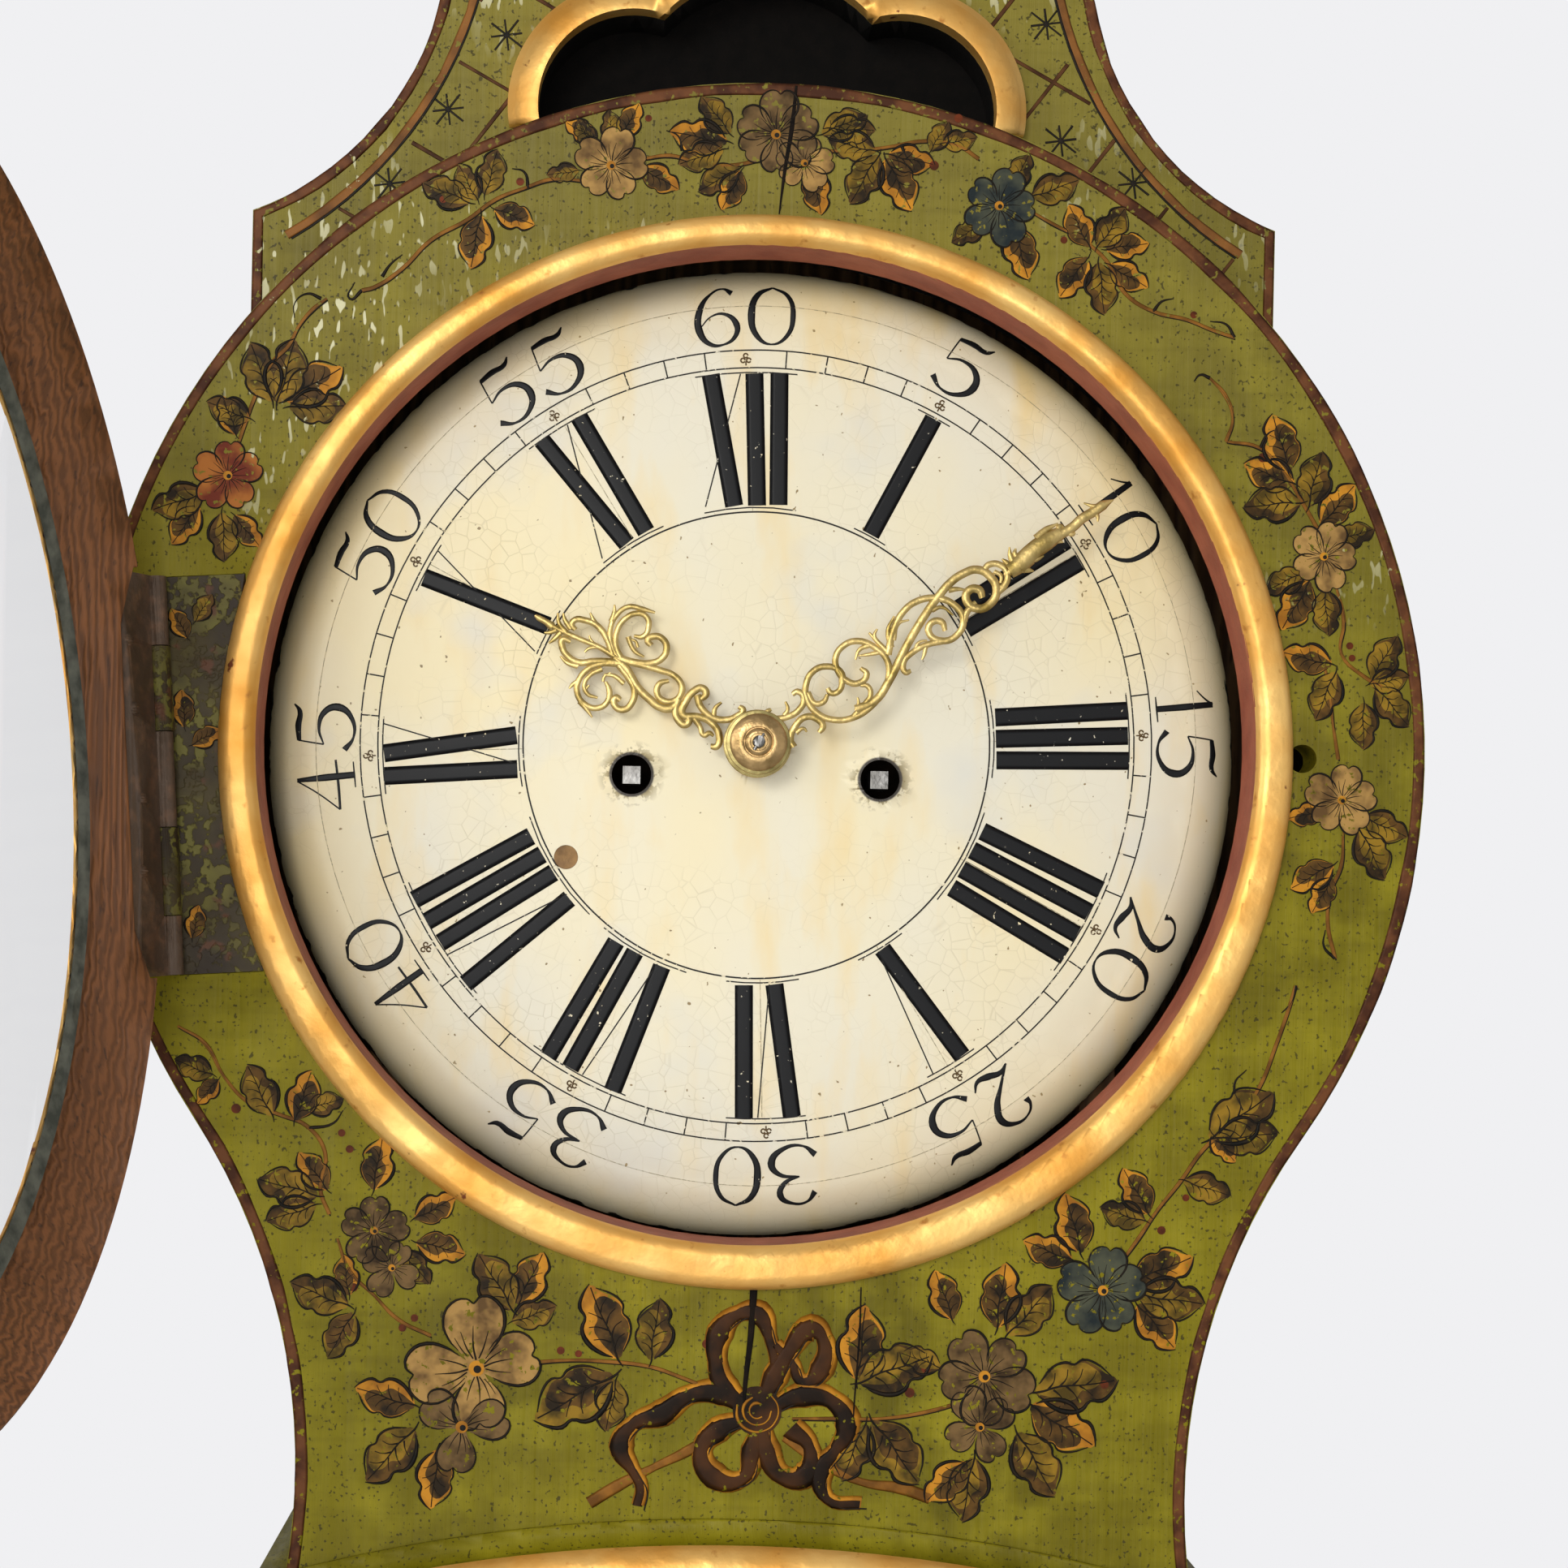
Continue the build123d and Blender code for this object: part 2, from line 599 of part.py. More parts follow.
with BuildPart() as trunk_sides:
    with BuildSketch(facing(BACKBOARD_Y)) as trunk_wall:
        trunk_outline(0, TRUNK_FOOT_Z, TRUNK_TOP_Z)
    extrude(amount=BACKBOARD_Y - TRUNK_BACK_Y)
    with BuildSketch(facing(BACKBOARD_Y)):
        trunk_outline(TRUNK_SIDE_T, TRUNK_FOOT_Z, TRUNK_TOP_Z)
    extrude(amount=BACKBOARD_Y - TRUNK_BACK_Y, mode=Mode.SUBTRACT)
trunk_sides.part.label = "trunk_sides"
export_step(trunk_sides.part, "parts/trunk_sides.step")

with BuildPart() as trunk_front:
    with BuildSketch(facing(TRUNK_BACK_Y)):
        trunk_outline(0, TRUNK_FOOT_Z, TRUNK_TOP_Z)
        with Locations((0, TRUNK_TOP_Z + TONGUE_RISE / 2)):
            Rectangle(2 * TONGUE_HALF, TONGUE_RISE)
    extrude(amount=TRUNK_BOARD_T)
    with BuildSketch(facing(TRUNK_BACK_Y)):
        door_outline(DOOR_GAP)
    extrude(amount=TRUNK_BOARD_T, mode=Mode.SUBTRACT)
trunk_front.part.label = "trunk_front"
export_step(trunk_front.part, "parts/trunk_front.step")

with BuildPart() as top_ledge:
    with BuildSketch(flat(TRUNK_TOP_Z)):
        with Locations((0, (TRUNK_BACK_Y + BACKBOARD_Y) / 2)):
            Rectangle(2 * LEDGE_HALF, BACKBOARD_Y - TRUNK_BACK_Y)
        with Locations((0, (LEDGE_HOLE_FRONT_Y + LEDGE_HOLE_BACK_Y) / 2)):
            Rectangle(2 * LEDGE_HOLE_HALF, LEDGE_HOLE_BACK_Y - LEDGE_HOLE_FRONT_Y, mode=Mode.SUBTRACT)
    extrude(amount=LEDGE_T)
top_ledge.part.label = "top_ledge"
export_step(top_ledge.part, "parts/top_ledge.step")

# ---------------------------------------------------------------- head
with BuildPart() as hood_front_board:
    with BuildSketch(facing(BOARD_BACK_Y)):
        head_outline(0, HOOD_FOOT_Z, HOOD_ARCH_RISE)
        with Locations((0, HEAD_Z + RING_BORE_RISE)):
            Circle(RING_BORE_R, mode=Mode.SUBTRACT)
        with Locations((CATCH_X, HEAD_Z + CATCH_RISE)):
            Circle(CATCH_HOLE_R, mode=Mode.SUBTRACT)
    extrude(amount=BOARD_T)
    # the case leaf of the hinge is let in flush, up to the gilt ring
    with BuildSketch(HINGE_PLANE.offset(-HINGE_HALF - FIT)):
        with Locations(((LEAF_START + CASE_LEAF_W) / 2, HINGE_OUT + LEAF_T / 2)):
            Rectangle(CASE_LEAF_W - LEAF_START + 2 * FIT, LEAF_T)
    extrude(amount=2 * (HINGE_HALF + FIT), mode=Mode.SUBTRACT)
    with BuildSketch(facing(HOOD_FRONT_Y + LEAF_T)):
        with Locations((0, HEAD_Z)):
            Circle(RING_OUTER_R)
        with Locations((0, HEAD_Z + RING_BORE_RISE)):
            Circle(RING_BORE_R, mode=Mode.SUBTRACT)
    extrude(amount=LEAF_T)
hood_front_board.part.label = "hood_front_board"
export_step(hood_front_board.part, "parts/hood_front_board.step")

with BuildPart() as hood_side_band:
    with BuildSketch(facing(BACK_Y)):
        head_outline(BAND_INSET, HOOD_FOOT_Z)
    extrude(amount=BACK_Y - BOARD_BACK_Y)
    with BuildSketch(facing(BACK_Y)):
        head_outline(BAND_INSET + BAND_T, HOOD_FOOT_Z)
    extrude(amount=BACK_Y - BOARD_BACK_Y, mode=Mode.SUBTRACT)
    # notched where the crest board stands
    with BuildSketch(facing(CREST_BACK_Y + FIT)):
        with Locations((0, HEAD_Z + CREST_LOW - FIT)):
            Rectangle(2 * (CREST_HALF + FIT), HEAD_R, align=(Align.CENTER, Align.MIN))
    extrude(amount=BOARD_T + FIT, mode=Mode.SUBTRACT)
hood_side_band.part.label = "hood_side_band"
export_step(hood_side_band.part, "parts/hood_side_band.step")

with BuildPart() as ring_moulding:
    with BuildSketch(facing(HOOD_FRONT_Y)):
        with Locations((0, HEAD_Z)):
            Circle(RING_OUTER_R)
        with Locations((0, HEAD_Z + RING_BORE_RISE)):
            Circle(RING_BORE_R, mode=Mode.SUBTRACT)
    extrude(amount=RING_PROUD)
    ring_front = ring_moulding.faces().sort_by(Axis.Y)[0].edges().sort_by(SortBy.RADIUS)
    fillet(ring_front[-1], radius=RING_OUTER_FILLET)
    ring_front = ring_moulding.faces().sort_by(Axis.Y)[0].edges().sort_by(SortBy.RADIUS)
    fillet(ring_front[0], radius=RING_INNER_FILLET)
ring_moulding.part.label = "ring_moulding"
export_step(ring_moulding.part, "parts/ring_moulding.step")

MOULD_ARCH_R = (MOULD_HALF**2 + MOULD_ARCH_RISE**2) / (2 * MOULD_ARCH_RISE)
MOULD_AXIS_Z = HEAD_Z - MOULD_DROP - MOULD_ARCH_R
MOULD_TOP_Z = HEAD_Z - MOULD_DROP
with BuildPart() as hood_base_moulding:
    with BuildSketch(Plane.YZ):
        with BuildLine():
            Line((HOOD_FRONT_Y, MOULD_TOP_Z), (HOOD_FRONT_Y - MOULD_NOSE, MOULD_TOP_Z))
            RadiusArc(
                (HOOD_FRONT_Y - MOULD_NOSE, MOULD_TOP_Z),
                (HOOD_FRONT_Y - MOULD_COVE, MOULD_TOP_Z - MOULD_COVE),
                MOULD_COVE,
            )
            Line(
                (HOOD_FRONT_Y - MOULD_COVE, MOULD_TOP_Z - MOULD_COVE),
                (HOOD_FRONT_Y - MOULD_SHOULDER, MOULD_TOP_Z - MOULD_COVE),
            )
            ThreePointArc(
                (HOOD_FRONT_Y - MOULD_SHOULDER, MOULD_TOP_Z - MOULD_COVE),
                (HOOD_FRONT_Y - MOULD_PROUD, MOULD_TOP_Z - (MOULD_COVE + MOULD_H) / 2),
                (HOOD_FRONT_Y - MOULD_SHOULDER, MOULD_TOP_Z - MOULD_H),
            )
            Line(
                (HOOD_FRONT_Y - MOULD_SHOULDER, MOULD_TOP_Z - MOULD_H),
                (HOOD_FRONT_Y, MOULD_TOP_Z - MOULD_H),
            )
            Line((HOOD_FRONT_Y, MOULD_TOP_Z - MOULD_H), (HOOD_FRONT_Y, MOULD_TOP_Z))
        make_face()
    revolve(axis=Axis((0, 0, MOULD_AXIS_Z), (0, 1, 0)), revolution_arc=MOULD_SWEEP)
    mirror(about=Plane.YZ)
    with BuildSketch(flat(HEAD_Z - HEAD_R - NECK_R)):
        with Locations((0, HOOD_FRONT_Y)):
            Rectangle(2 * MOULD_HALF, 4 * MOULD_PROUD)
    extrude(amount=NECK_R, mode=Mode.INTERSECT)
    # returns along both sides of the head
    for side in SIDES:
        with BuildSketch(facing(BACK_Y)):
            with Locations((side * MOULD_HALF, MOULD_TOP_Z - MOULD_ARCH_RISE)):
                Rectangle(2 * MOULD_SIDE_DEPTH, MOULD_H, align=(Align.CENTER, Align.MAX))
            with Locations((side * (MOULD_HALF + MOULD_SIDE_DEPTH), MOULD_TOP_Z)):
                Rectangle(2 * MOULD_SIDE_DEPTH, 4 * MOULD_H, mode=Mode.SUBTRACT)
            head_outline(BAND_INSET, HOOD_FOOT_Z - MOULD_COVE, keep=Mode.SUBTRACT)
        extrude(amount=BACK_Y - BOARD_BACK_Y)
        with BuildSketch(facing(BOARD_BACK_Y)):
            with Locations((side * MOULD_HALF, MOULD_TOP_Z - MOULD_ARCH_RISE)):
                Rectangle(2 * MOULD_SIDE_DEPTH, MOULD_H, align=(Align.CENTER, Align.MAX))
            with Locations((side * (MOULD_HALF + MOULD_SIDE_DEPTH), MOULD_TOP_Z)):
                Rectangle(2 * MOULD_SIDE_DEPTH, 4 * MOULD_H, mode=Mode.SUBTRACT)
            head_outline(0, HOOD_FOOT_Z - MOULD_COVE, keep=Mode.SUBTRACT)
        extrude(amount=BOARD_T)
hood_base_moulding.part.label = "hood_base_moulding"
export_step(hood_base_moulding.part, "parts/hood_base_moulding.step")

# ---------------------------------------------------------------- crest
CREST_MOULD_R = LOBE_R + CREST_MOULD_W
ARCH_Z = HEAD_Z + (CUSP_X**2 + CUSP_RISE**2 - ARCH_TOP**2) / (2 * (CUSP_RISE - ARCH_TOP))
ARCH_R = HEAD_Z + ARCH_TOP - ARCH_Z
LOBE_Z = HEAD_Z + LOBE_RISE


def lobed_opening(lobe_r, arch_r, low_z):
    """Adds a flat-footed opening of two side lobes and a taller middle arch to a sketch."""
    apart = sqrt(LOBE_X**2 + (LOBE_Z - ARCH_Z) ** 2)
    along = (apart**2 + arch_r**2 - lobe_r**2) / (2 * apart)
    off = sqrt(arch_r**2 - along**2)
    lean = atan2(LOBE_Z - ARCH_Z, LOBE_X)
    cusp_x = along * cos(lean) - off * sin(lean)
    cusp_z = ARCH_Z + along * sin(lean) + off * cos(lean)
    foot_x = LOBE_X + sqrt(lobe_r**2 - (low_z - LOBE_Z) ** 2)
    lobe_mid = (atan2(low_z - LOBE_Z, foot_x - LOBE_X) + atan2(cusp_z - LOBE_Z, cusp_x - LOBE_X)) / 2
    arch_mid = (atan2(cusp_z - ARCH_Z, cusp_x) + pi / 2) / 2
    with BuildLine() as outline:
        Line((0, low_z), (foot_x, low_z))
        ThreePointArc(
            (foot_x, low_z),
            (LOBE_X + lobe_r * cos(lobe_mid), LOBE_Z + lobe_r * sin(lobe_mid)),
            (cusp_x, cusp_z),
        )
        ThreePointArc(
            (cusp_x, cusp_z),
            (arch_r * cos(arch_mid), ARCH_Z + arch_r * sin(arch_mid)),
            (0, ARCH_Z + arch_r),
        )
        Line((0, ARCH_Z + arch_r), (0, low_z))
    make_face(outline.edges())
    mirror(about=Plane.YZ)


CREST_INNER_X = sqrt(CREST_INNER_R**2 - CREST_LOW**2)
with BuildPart() as crest_board:
    with BuildSketch(facing(CREST_BACK_Y)):
        with BuildLine(Location((0, HEAD_Z))):
            Line((CREST_INNER_X, CREST_LOW), (CREST_HALF, CREST_LOW))
            Line((CREST_HALF, CREST_LOW), (CREST_HALF, CREST_SHOULDER))
            ThreePointArc((CREST_HALF, CREST_SHOULDER), *CREST_SWEEP)
            ThreePointArc(CREST_SWEEP[1], *CREST_HORN)
            Line(CREST_HORN[1], (CREST_HORN[1][0], CREST_HORN[1][1] + CREST_HORN_LIP))
            ThreePointArc((CREST_HORN[1][0], CREST_HORN[1][1] + CREST_HORN_LIP), *CREST_TOP_SWEEP)
            ThreePointArc(CREST_TOP_SWEEP[1], CREST_TOP_MID, (0, CREST_TOP))
            Line((0, CREST_TOP), (0, CREST_INNER_R))
            ThreePointArc(
                (0, CREST_INNER_R),
                (CREST_INNER_R * sin(radians(25)), CREST_INNER_R * cos(radians(25))),
                (CREST_INNER_X, CREST_LOW),
            )
        make_face()
        mirror(about=Plane.YZ)
    extrude(amount=BOARD_T)
    with BuildSketch(facing(CREST_BACK_Y)):
        lobed_opening(LOBE_R, ARCH_R, HEAD_Z + CREST_OPENING_LOW)
    extrude(amount=BOARD_T, mode=Mode.SUBTRACT)
crest_board.part.label = "crest_board"
export_step(crest_board.part, "parts/crest_board.step")

with BuildPart() as crest_backing:
    with BuildSketch(facing(CREST_BACK_Y + CREST_BACKING_T)):
        lobed_opening(CREST_MOULD_R, ARCH_R + CREST_MOULD_W, HEAD_Z + CREST_OPENING_LOW)
        # it rests on the side band
        with Locations((0, HEAD_Z)):
            Circle(HEAD_R - BAND_INSET + FIT, mode=Mode.SUBTRACT)
    extrude(amount=CREST_BACKING_T)
crest_backing.part.label = "crest_backing"
export_step(crest_backing.part, "parts/crest_backing.step")

with BuildPart() as crest_moulding:
    with BuildSketch(facing(BOARD_BACK_Y)):
        lobed_opening(CREST_MOULD_R, ARCH_R + CREST_MOULD_W, HEAD_Z + CREST_OPENING_LOW + CREST_MOULD_LIFT)
    extrude(amount=CREST_MOULD_PROUD - CREST_MOULD_STEP)
    with BuildSketch(facing(BOARD_BACK_Y)):
        lobed_opening(
            CREST_MOULD_R - CREST_MOULD_STEP,
            ARCH_R + CREST_MOULD_W - CREST_MOULD_STEP,
            HEAD_Z + CREST_OPENING_LOW + CREST_MOULD_LIFT,
        )
    extrude(amount=CREST_MOULD_PROUD)
    with BuildSketch(facing(BOARD_BACK_Y)):
        lobed_opening(LOBE_R, ARCH_R, HEAD_Z + CREST_OPENING_LOW)
    extrude(amount=CREST_MOULD_PROUD, mode=Mode.SUBTRACT)
crest_moulding.part.label = "crest_moulding"
export_step(crest_moulding.part, "parts/crest_moulding.step")

with BuildPart() as crest_finial:
    with BuildSketch(facing(BOARD_BACK_Y)):
        for ray in range(FINIAL_RAYS):
            lean = FINIAL_SPREAD * (ray / (FINIAL_RAYS - 1) - 0.5)
            reach = FINIAL_L * (1 - 0.35 * abs(lean) / FINIAL_SPREAD)
            with Locations(
                Location(
                    (
                        -sin(radians(lean)) * reach / 2,
                        HEAD_Z + FINIAL_RISE + cos(radians(lean)) * reach / 2,
                        0,
                    ),
                    (0, 0, lean),
                )
            ):
                Ellipse(FINIAL_RAY_HALF, reach / 2)
        with Locations((0, HEAD_Z + FINIAL_RISE)):
            Circle(FINIAL_EYE_R)
        for side in SIDES:
            with Locations((side * FINIAL_VOLUTE_X, HEAD_Z + FINIAL_RISE - FINIAL_EYE_R / 2)):
                Circle(FINIAL_VOLUTE_R)
    extrude(amount=FINIAL_T)
crest_finial.part.label = "crest_finial"
export_step(crest_finial.part, "parts/crest_finial.step")


# ---------------------------------------------------------------- hinge of the dial door
def knuckle_rows(lengths, gap):
    """Start and end of every knuckle along a hinge pin, from the top down."""
    rows = []
    top = sum(lengths) / 2
    for length in lengths:
        rows.append((top - length + gap / 2, top - gap / 2))
        top -= length
    return rows


def knuckles(plane, rows, radius, margin=0.0, mode=Mode.ADD):
    """Adds or cuts round knuckles along a hinge pin, drawn across a plane square to it."""
    for low, high in rows:
        with BuildSketch(plane.offset(low - margin)) as across:
            Circle(radius)
        extrude(across.sketch, amount=high - low + 2 * margin, mode=mode)


def opened(part):
    """Swings a piece of the closed dial door to where it rests, open."""
    return part.rotate(HINGE_AXIS, -DDOOR_OPEN)


DIAL_KNUCKLES = knuckle_rows(KNUCKLES, KNUCKLE_GAP)
DOOR_ROWS = DIAL_KNUCKLES[0::2]
CASE_ROWS = DIAL_KNUCKLES[1::2]
FULL_ROW = [(-HINGE_HALF, HINGE_HALF)]

with BuildPart() as hinge_case_leaf:
    with BuildSketch(HINGE_PLANE.offset(-HINGE_HALF)):
        with Locations(((LEAF_START + CASE_LEAF_W) / 2, HINGE_OUT + LEAF_T / 2)):
            Rectangle(CASE_LEAF_W - LEAF_START, LEAF_T)
    extrude(amount=2 * HINGE_HALF)
    with BuildSketch(facing(HOOD_FRONT_Y + 2 * LEAF_T)):
        with Locations((0, HEAD_Z)):
            Circle(RING_OUTER_R + FIT)
    extrude(amount=4 * LEAF_T, mode=Mode.SUBTRACT)
    for low, high in CASE_ROWS:
        with BuildSketch(HINGE_PLANE.offset(low)):
            with Locations((LEAF_START, 0)):
                Rectangle(KNUCKLE_R - LEAF_START, HINGE_OUT + LEAF_T, align=(Align.MIN, Align.MIN))
        extrude(amount=high - low)
    knuckles(HINGE_PLANE, CASE_ROWS, KNUCKLE_R)
    knuckles(HINGE_PLANE, FULL_ROW, HINGE_PIN_R + HINGE_PIN_GAP, KNUCKLE_GAP, Mode.SUBTRACT)
    knuckles(HINGE_PLANE, FULL_ROW, HINGE_PIN_R)
hinge_case_leaf.part.label = "hinge_case_leaf"
export_step(hinge_case_leaf.part, "parts/hinge_case_leaf.step")

SLOPE = radians(DOOR_LEAF_SLOPE)
LEAF_RUN = (cos(SLOPE), -sin(SLOPE))  # along the door leaf, away from the pin
LEAF_IN = (-sin(SLOPE), -cos(SLOPE))  # from its face into the wood


def along_leaf(run, depth):
    """A point on the door leaf's section: this far along it and this deep behind its face."""
    return (run * LEAF_RUN[0] + depth * LEAF_IN[0], run * LEAF_RUN[1] + depth * LEAF_IN[1])


with BuildPart() as hinge_door_leaf:
    with BuildSketch(HINGE_PLANE.offset(-HINGE_HALF)):
        with BuildLine():
            Polyline(
                along_leaf(LEAF_START, 0),
                along_leaf(DOOR_LEAF_W, 0),
                along_leaf(DOOR_LEAF_W, LEAF_T),
                along_leaf(LEAF_START, LEAF_T),
                close=True,
            )
        make_face()
    extrude(amount=2 * HINGE_HALF)
    knuckles(HINGE_PLANE, CASE_ROWS, KNUCKLE_R + KNUCKLE_GAP, KNUCKLE_GAP / 2, Mode.SUBTRACT)
    knuckles(HINGE_PLANE, DOOR_ROWS, KNUCKLE_R)
    knuckles(HINGE_PLANE, FULL_ROW, HINGE_PIN_R + HINGE_PIN_GAP, KNUCKLE_GAP, Mode.SUBTRACT)
    leaf_face = Plane(
        origin=(HINGE_X, HINGE_Y, HINGE_Z),
        x_dir=HINGE_PLANE.from_local_coords(Vector(*LEAF_RUN, 0)) - HINGE_PLANE.origin,
        z_dir=HINGE_PLANE.origin - HINGE_PLANE.from_local_coords(Vector(*LEAF_IN, 0)),
    )
    for run, rise in NAILS:
        with BuildSketch(leaf_face):
            with Locations((run, -rise)):
                Circle(NAIL_R)
        extrude(amount=NAIL_HEAD)
hinge_door_leaf.part = opened(hinge_door_leaf.part)
hinge_door_leaf.part.label = "hinge_door_leaf"
export_step(hinge_door_leaf.part, "parts/hinge_door_leaf.step")

# ---------------------------------------------------------------- dial door
DIAL_AXIS = Axis((0, 0, HEAD_Z), (0, 1, 0))


def ring_point(radius, depth):
    """A point of the closed door's section: radius from its centre, depth before the board."""
    return (HOOD_FRONT_Y - depth, HEAD_Z + radius)


with BuildPart() as dial_door_frame:
    with BuildSketch(Plane.YZ):
        with BuildLine():
            Polyline(
                ring_point(DDOOR_R, DDOOR_EDGE_FRONT),
                ring_point(DDOOR_R, DDOOR_EDGE_BACK),
                ring_point(DDOOR_BACK_R, DDOOR_BACK),
                ring_point(DDOOR_REBATE_R, DDOOR_BEVEL),
                ring_point(DDOOR_REBATE_R, DDOOR_SEAT),
                ring_point(DDOOR_LIP_R, DDOOR_SEAT),
                ring_point(DDOOR_LIP_R, DDOOR_LIP),
            )
            ThreePointArc(
                ring_point(DDOOR_LIP_R, DDOOR_LIP),
                ring_point(*DDOOR_CROWN),
                ring_point(DDOOR_R, DDOOR_EDGE_FRONT),
            )
        make_face()
    revolve(axis=DIAL_AXIS)
    # block of wood the hinge leaf is let into, trimmed to the round edge
    with BuildPart(mode=Mode.PRIVATE) as leaf_block:
        with BuildSketch(HINGE_PLANE.offset(-HINGE_HALF - LEAF_BLOCK_RIM - FIT)):
            with BuildLine():
                Polyline(
                    along_leaf(LEAF_START, -LEAF_BLOCK_RIM / 2),
                    along_leaf(DOOR_LEAF_W + LEAF_BLOCK_RIM, -LEAF_BLOCK_RIM / 2),
                    along_leaf(DOOR_LEAF_W + LEAF_BLOCK_RIM, LEAF_BLOCK_DEPTH),
                    along_leaf(LEAF_START, LEAF_BLOCK_DEPTH),
                    close=True,
                )
            make_face()
        extrude(amount=2 * (HINGE_HALF + LEAF_BLOCK_RIM + FIT))
        with BuildSketch(facing(HOOD_FRONT_Y)):
            with Locations((0, HEAD_Z)):
                Circle(DDOOR_BACK_R)
        extrude(amount=DDOOR_SEAT, mode=Mode.INTERSECT)
    add(leaf_block.part)
    with BuildSketch(HINGE_PLANE.offset(-HINGE_HALF - FIT)):
        with BuildLine():
            Polyline(
                along_leaf(0, -DDOOR_SEAT),
                along_leaf(DOOR_LEAF_W + FIT, -DDOOR_SEAT),
                along_leaf(DOOR_LEAF_W + FIT, LEAF_T),
                along_leaf(0, LEAF_T),
                close=True,
            )
        make_face()
    extrude(amount=2 * (HINGE_HALF + FIT), mode=Mode.SUBTRACT)
    with BuildSketch(facing(HOOD_FRONT_Y)):
        with Locations((CATCH_X, HEAD_Z + CATCH_RISE)):
            Circle(CATCH_PIN_R + PIVOT_GAP)
    extrude(amount=CATCH_SOCKET, mode=Mode.SUBTRACT)
dial_door_frame.part = opened(dial_door_frame.part)
dial_door_frame.part.label = "dial_door_frame"
export_step(dial_door_frame.part, "parts/dial_door_frame.step")

with BuildPart() as dial_door_glass:
    with BuildSketch(facing(HOOD_FRONT_Y - DDOOR_SEAT + GLASS_T)):
        with Locations((0, HEAD_Z)):
            Circle(DDOOR_REBATE_R - FIT)
    extrude(amount=GLASS_T)
dial_door_glass.part = opened(dial_door_glass.part)
dial_door_glass.part.label = "dial_door_glass"
export_step(dial_door_glass.part, "parts/dial_door_glass.step")

PUTTY_FRONT = DDOOR_SEAT - GLASS_T
with BuildPart() as glazing_putty:
    with BuildSketch(Plane.YZ):
        with BuildLine():
            Polyline(
                ring_point(DDOOR_REBATE_R, PUTTY_FRONT),
                ring_point(DDOOR_REBATE_R, DDOOR_BEVEL + FIT),
                ring_point(*PUTTY_STEP),
                ring_point(PUTTY_R, PUTTY_FRONT),
                close=True,
            )
        make_face()
    revolve(axis=DIAL_AXIS)
glazing_putty.part = opened(glazing_putty.part)
glazing_putty.part.label = "glazing_putty"
export_step(glazing_putty.part, "parts/glazing_putty.step")

with BuildPart() as catch_pin:
    with BuildSketch(facing(HOOD_FRONT_Y + CATCH_PIN_L - CATCH_SOCKET)):
        with Locations((CATCH_X, HEAD_Z + CATCH_RISE)):
            Circle(CATCH_PIN_R)
    extrude(amount=CATCH_PIN_L)
catch_pin.part = opened(catch_pin.part)
catch_pin.part.label = "catch_pin"
export_step(catch_pin.part, "parts/catch_pin.step")

# ---------------------------------------------------------------- trunk door
with BuildPart() as trunk_door_panel:
    with BuildSketch(facing(TRUNK_FRONT_Y + DOOR_T)):
        door_outline(0)
        with Locations((0, BOB_Z)):
            Circle(BEZEL_HOLE_R, mode=Mode.SUBTRACT)
        with Locations((KEY_X, KEY_Z)):
            Circle(KEYHOLE_R, mode=Mode.SUBTRACT)
        with Locations((KEY_X, KEY_Z - KEY_BIT_R / 2)):
            Rectangle(KEY_BIT_T + 2 * KEY_GAP, KEY_BIT_R + 2 * KEY_GAP, mode=Mode.SUBTRACT)
    extrude(amount=DOOR_T)
trunk_door_panel.part.label = "trunk_door_panel"
export_step(trunk_door_panel.part, "parts/trunk_door_panel.step")

with BuildPart() as lenticle_bezel:
    with BuildSketch(facing(TRUNK_FRONT_Y)):
        with Locations((0, BOB_Z)):
            Circle(BEZEL_R)
            Circle(BEZEL_R - BEZEL_WIDTH, mode=Mode.SUBTRACT)
    extrude(amount=BEZEL_PROUD)
    bezel_rim = lenticle_bezel.faces().sort_by(Axis.Y)[0].edges()
    fillet(bezel_rim, radius=BEZEL_WIDTH * 0.4)
lenticle_bezel.part.label = "lenticle_bezel"
export_step(lenticle_bezel.part, "parts/lenticle_bezel.step")

with BuildPart() as lenticle_glass:
    with BuildSketch(facing(TRUNK_FRONT_Y + GLASS_T)):
        with Locations((0, BOB_Z)):
            Circle(BEZEL_HOLE_R - FIT)
    extrude(amount=GLASS_T)
lenticle_glass.part.label = "lenticle_glass"
export_step(lenticle_glass.part, "parts/lenticle_glass.step")

TRUNK_PIN_X = -DOOR_HALF - DOOR_GAP / 2
TRUNK_PIN_Y = TRUNK_FRONT_Y - TRUNK_KNUCKLE_R
TRUNK_ROWS = knuckle_rows(TRUNK_KNUCKLES, KNUCKLE_GAP)
TRUNK_HINGE_HALF = sum(TRUNK_KNUCKLES) / 2
TRUNK_FULL_ROW = [(-TRUNK_HINGE_HALF, TRUNK_HINGE_HALF)]


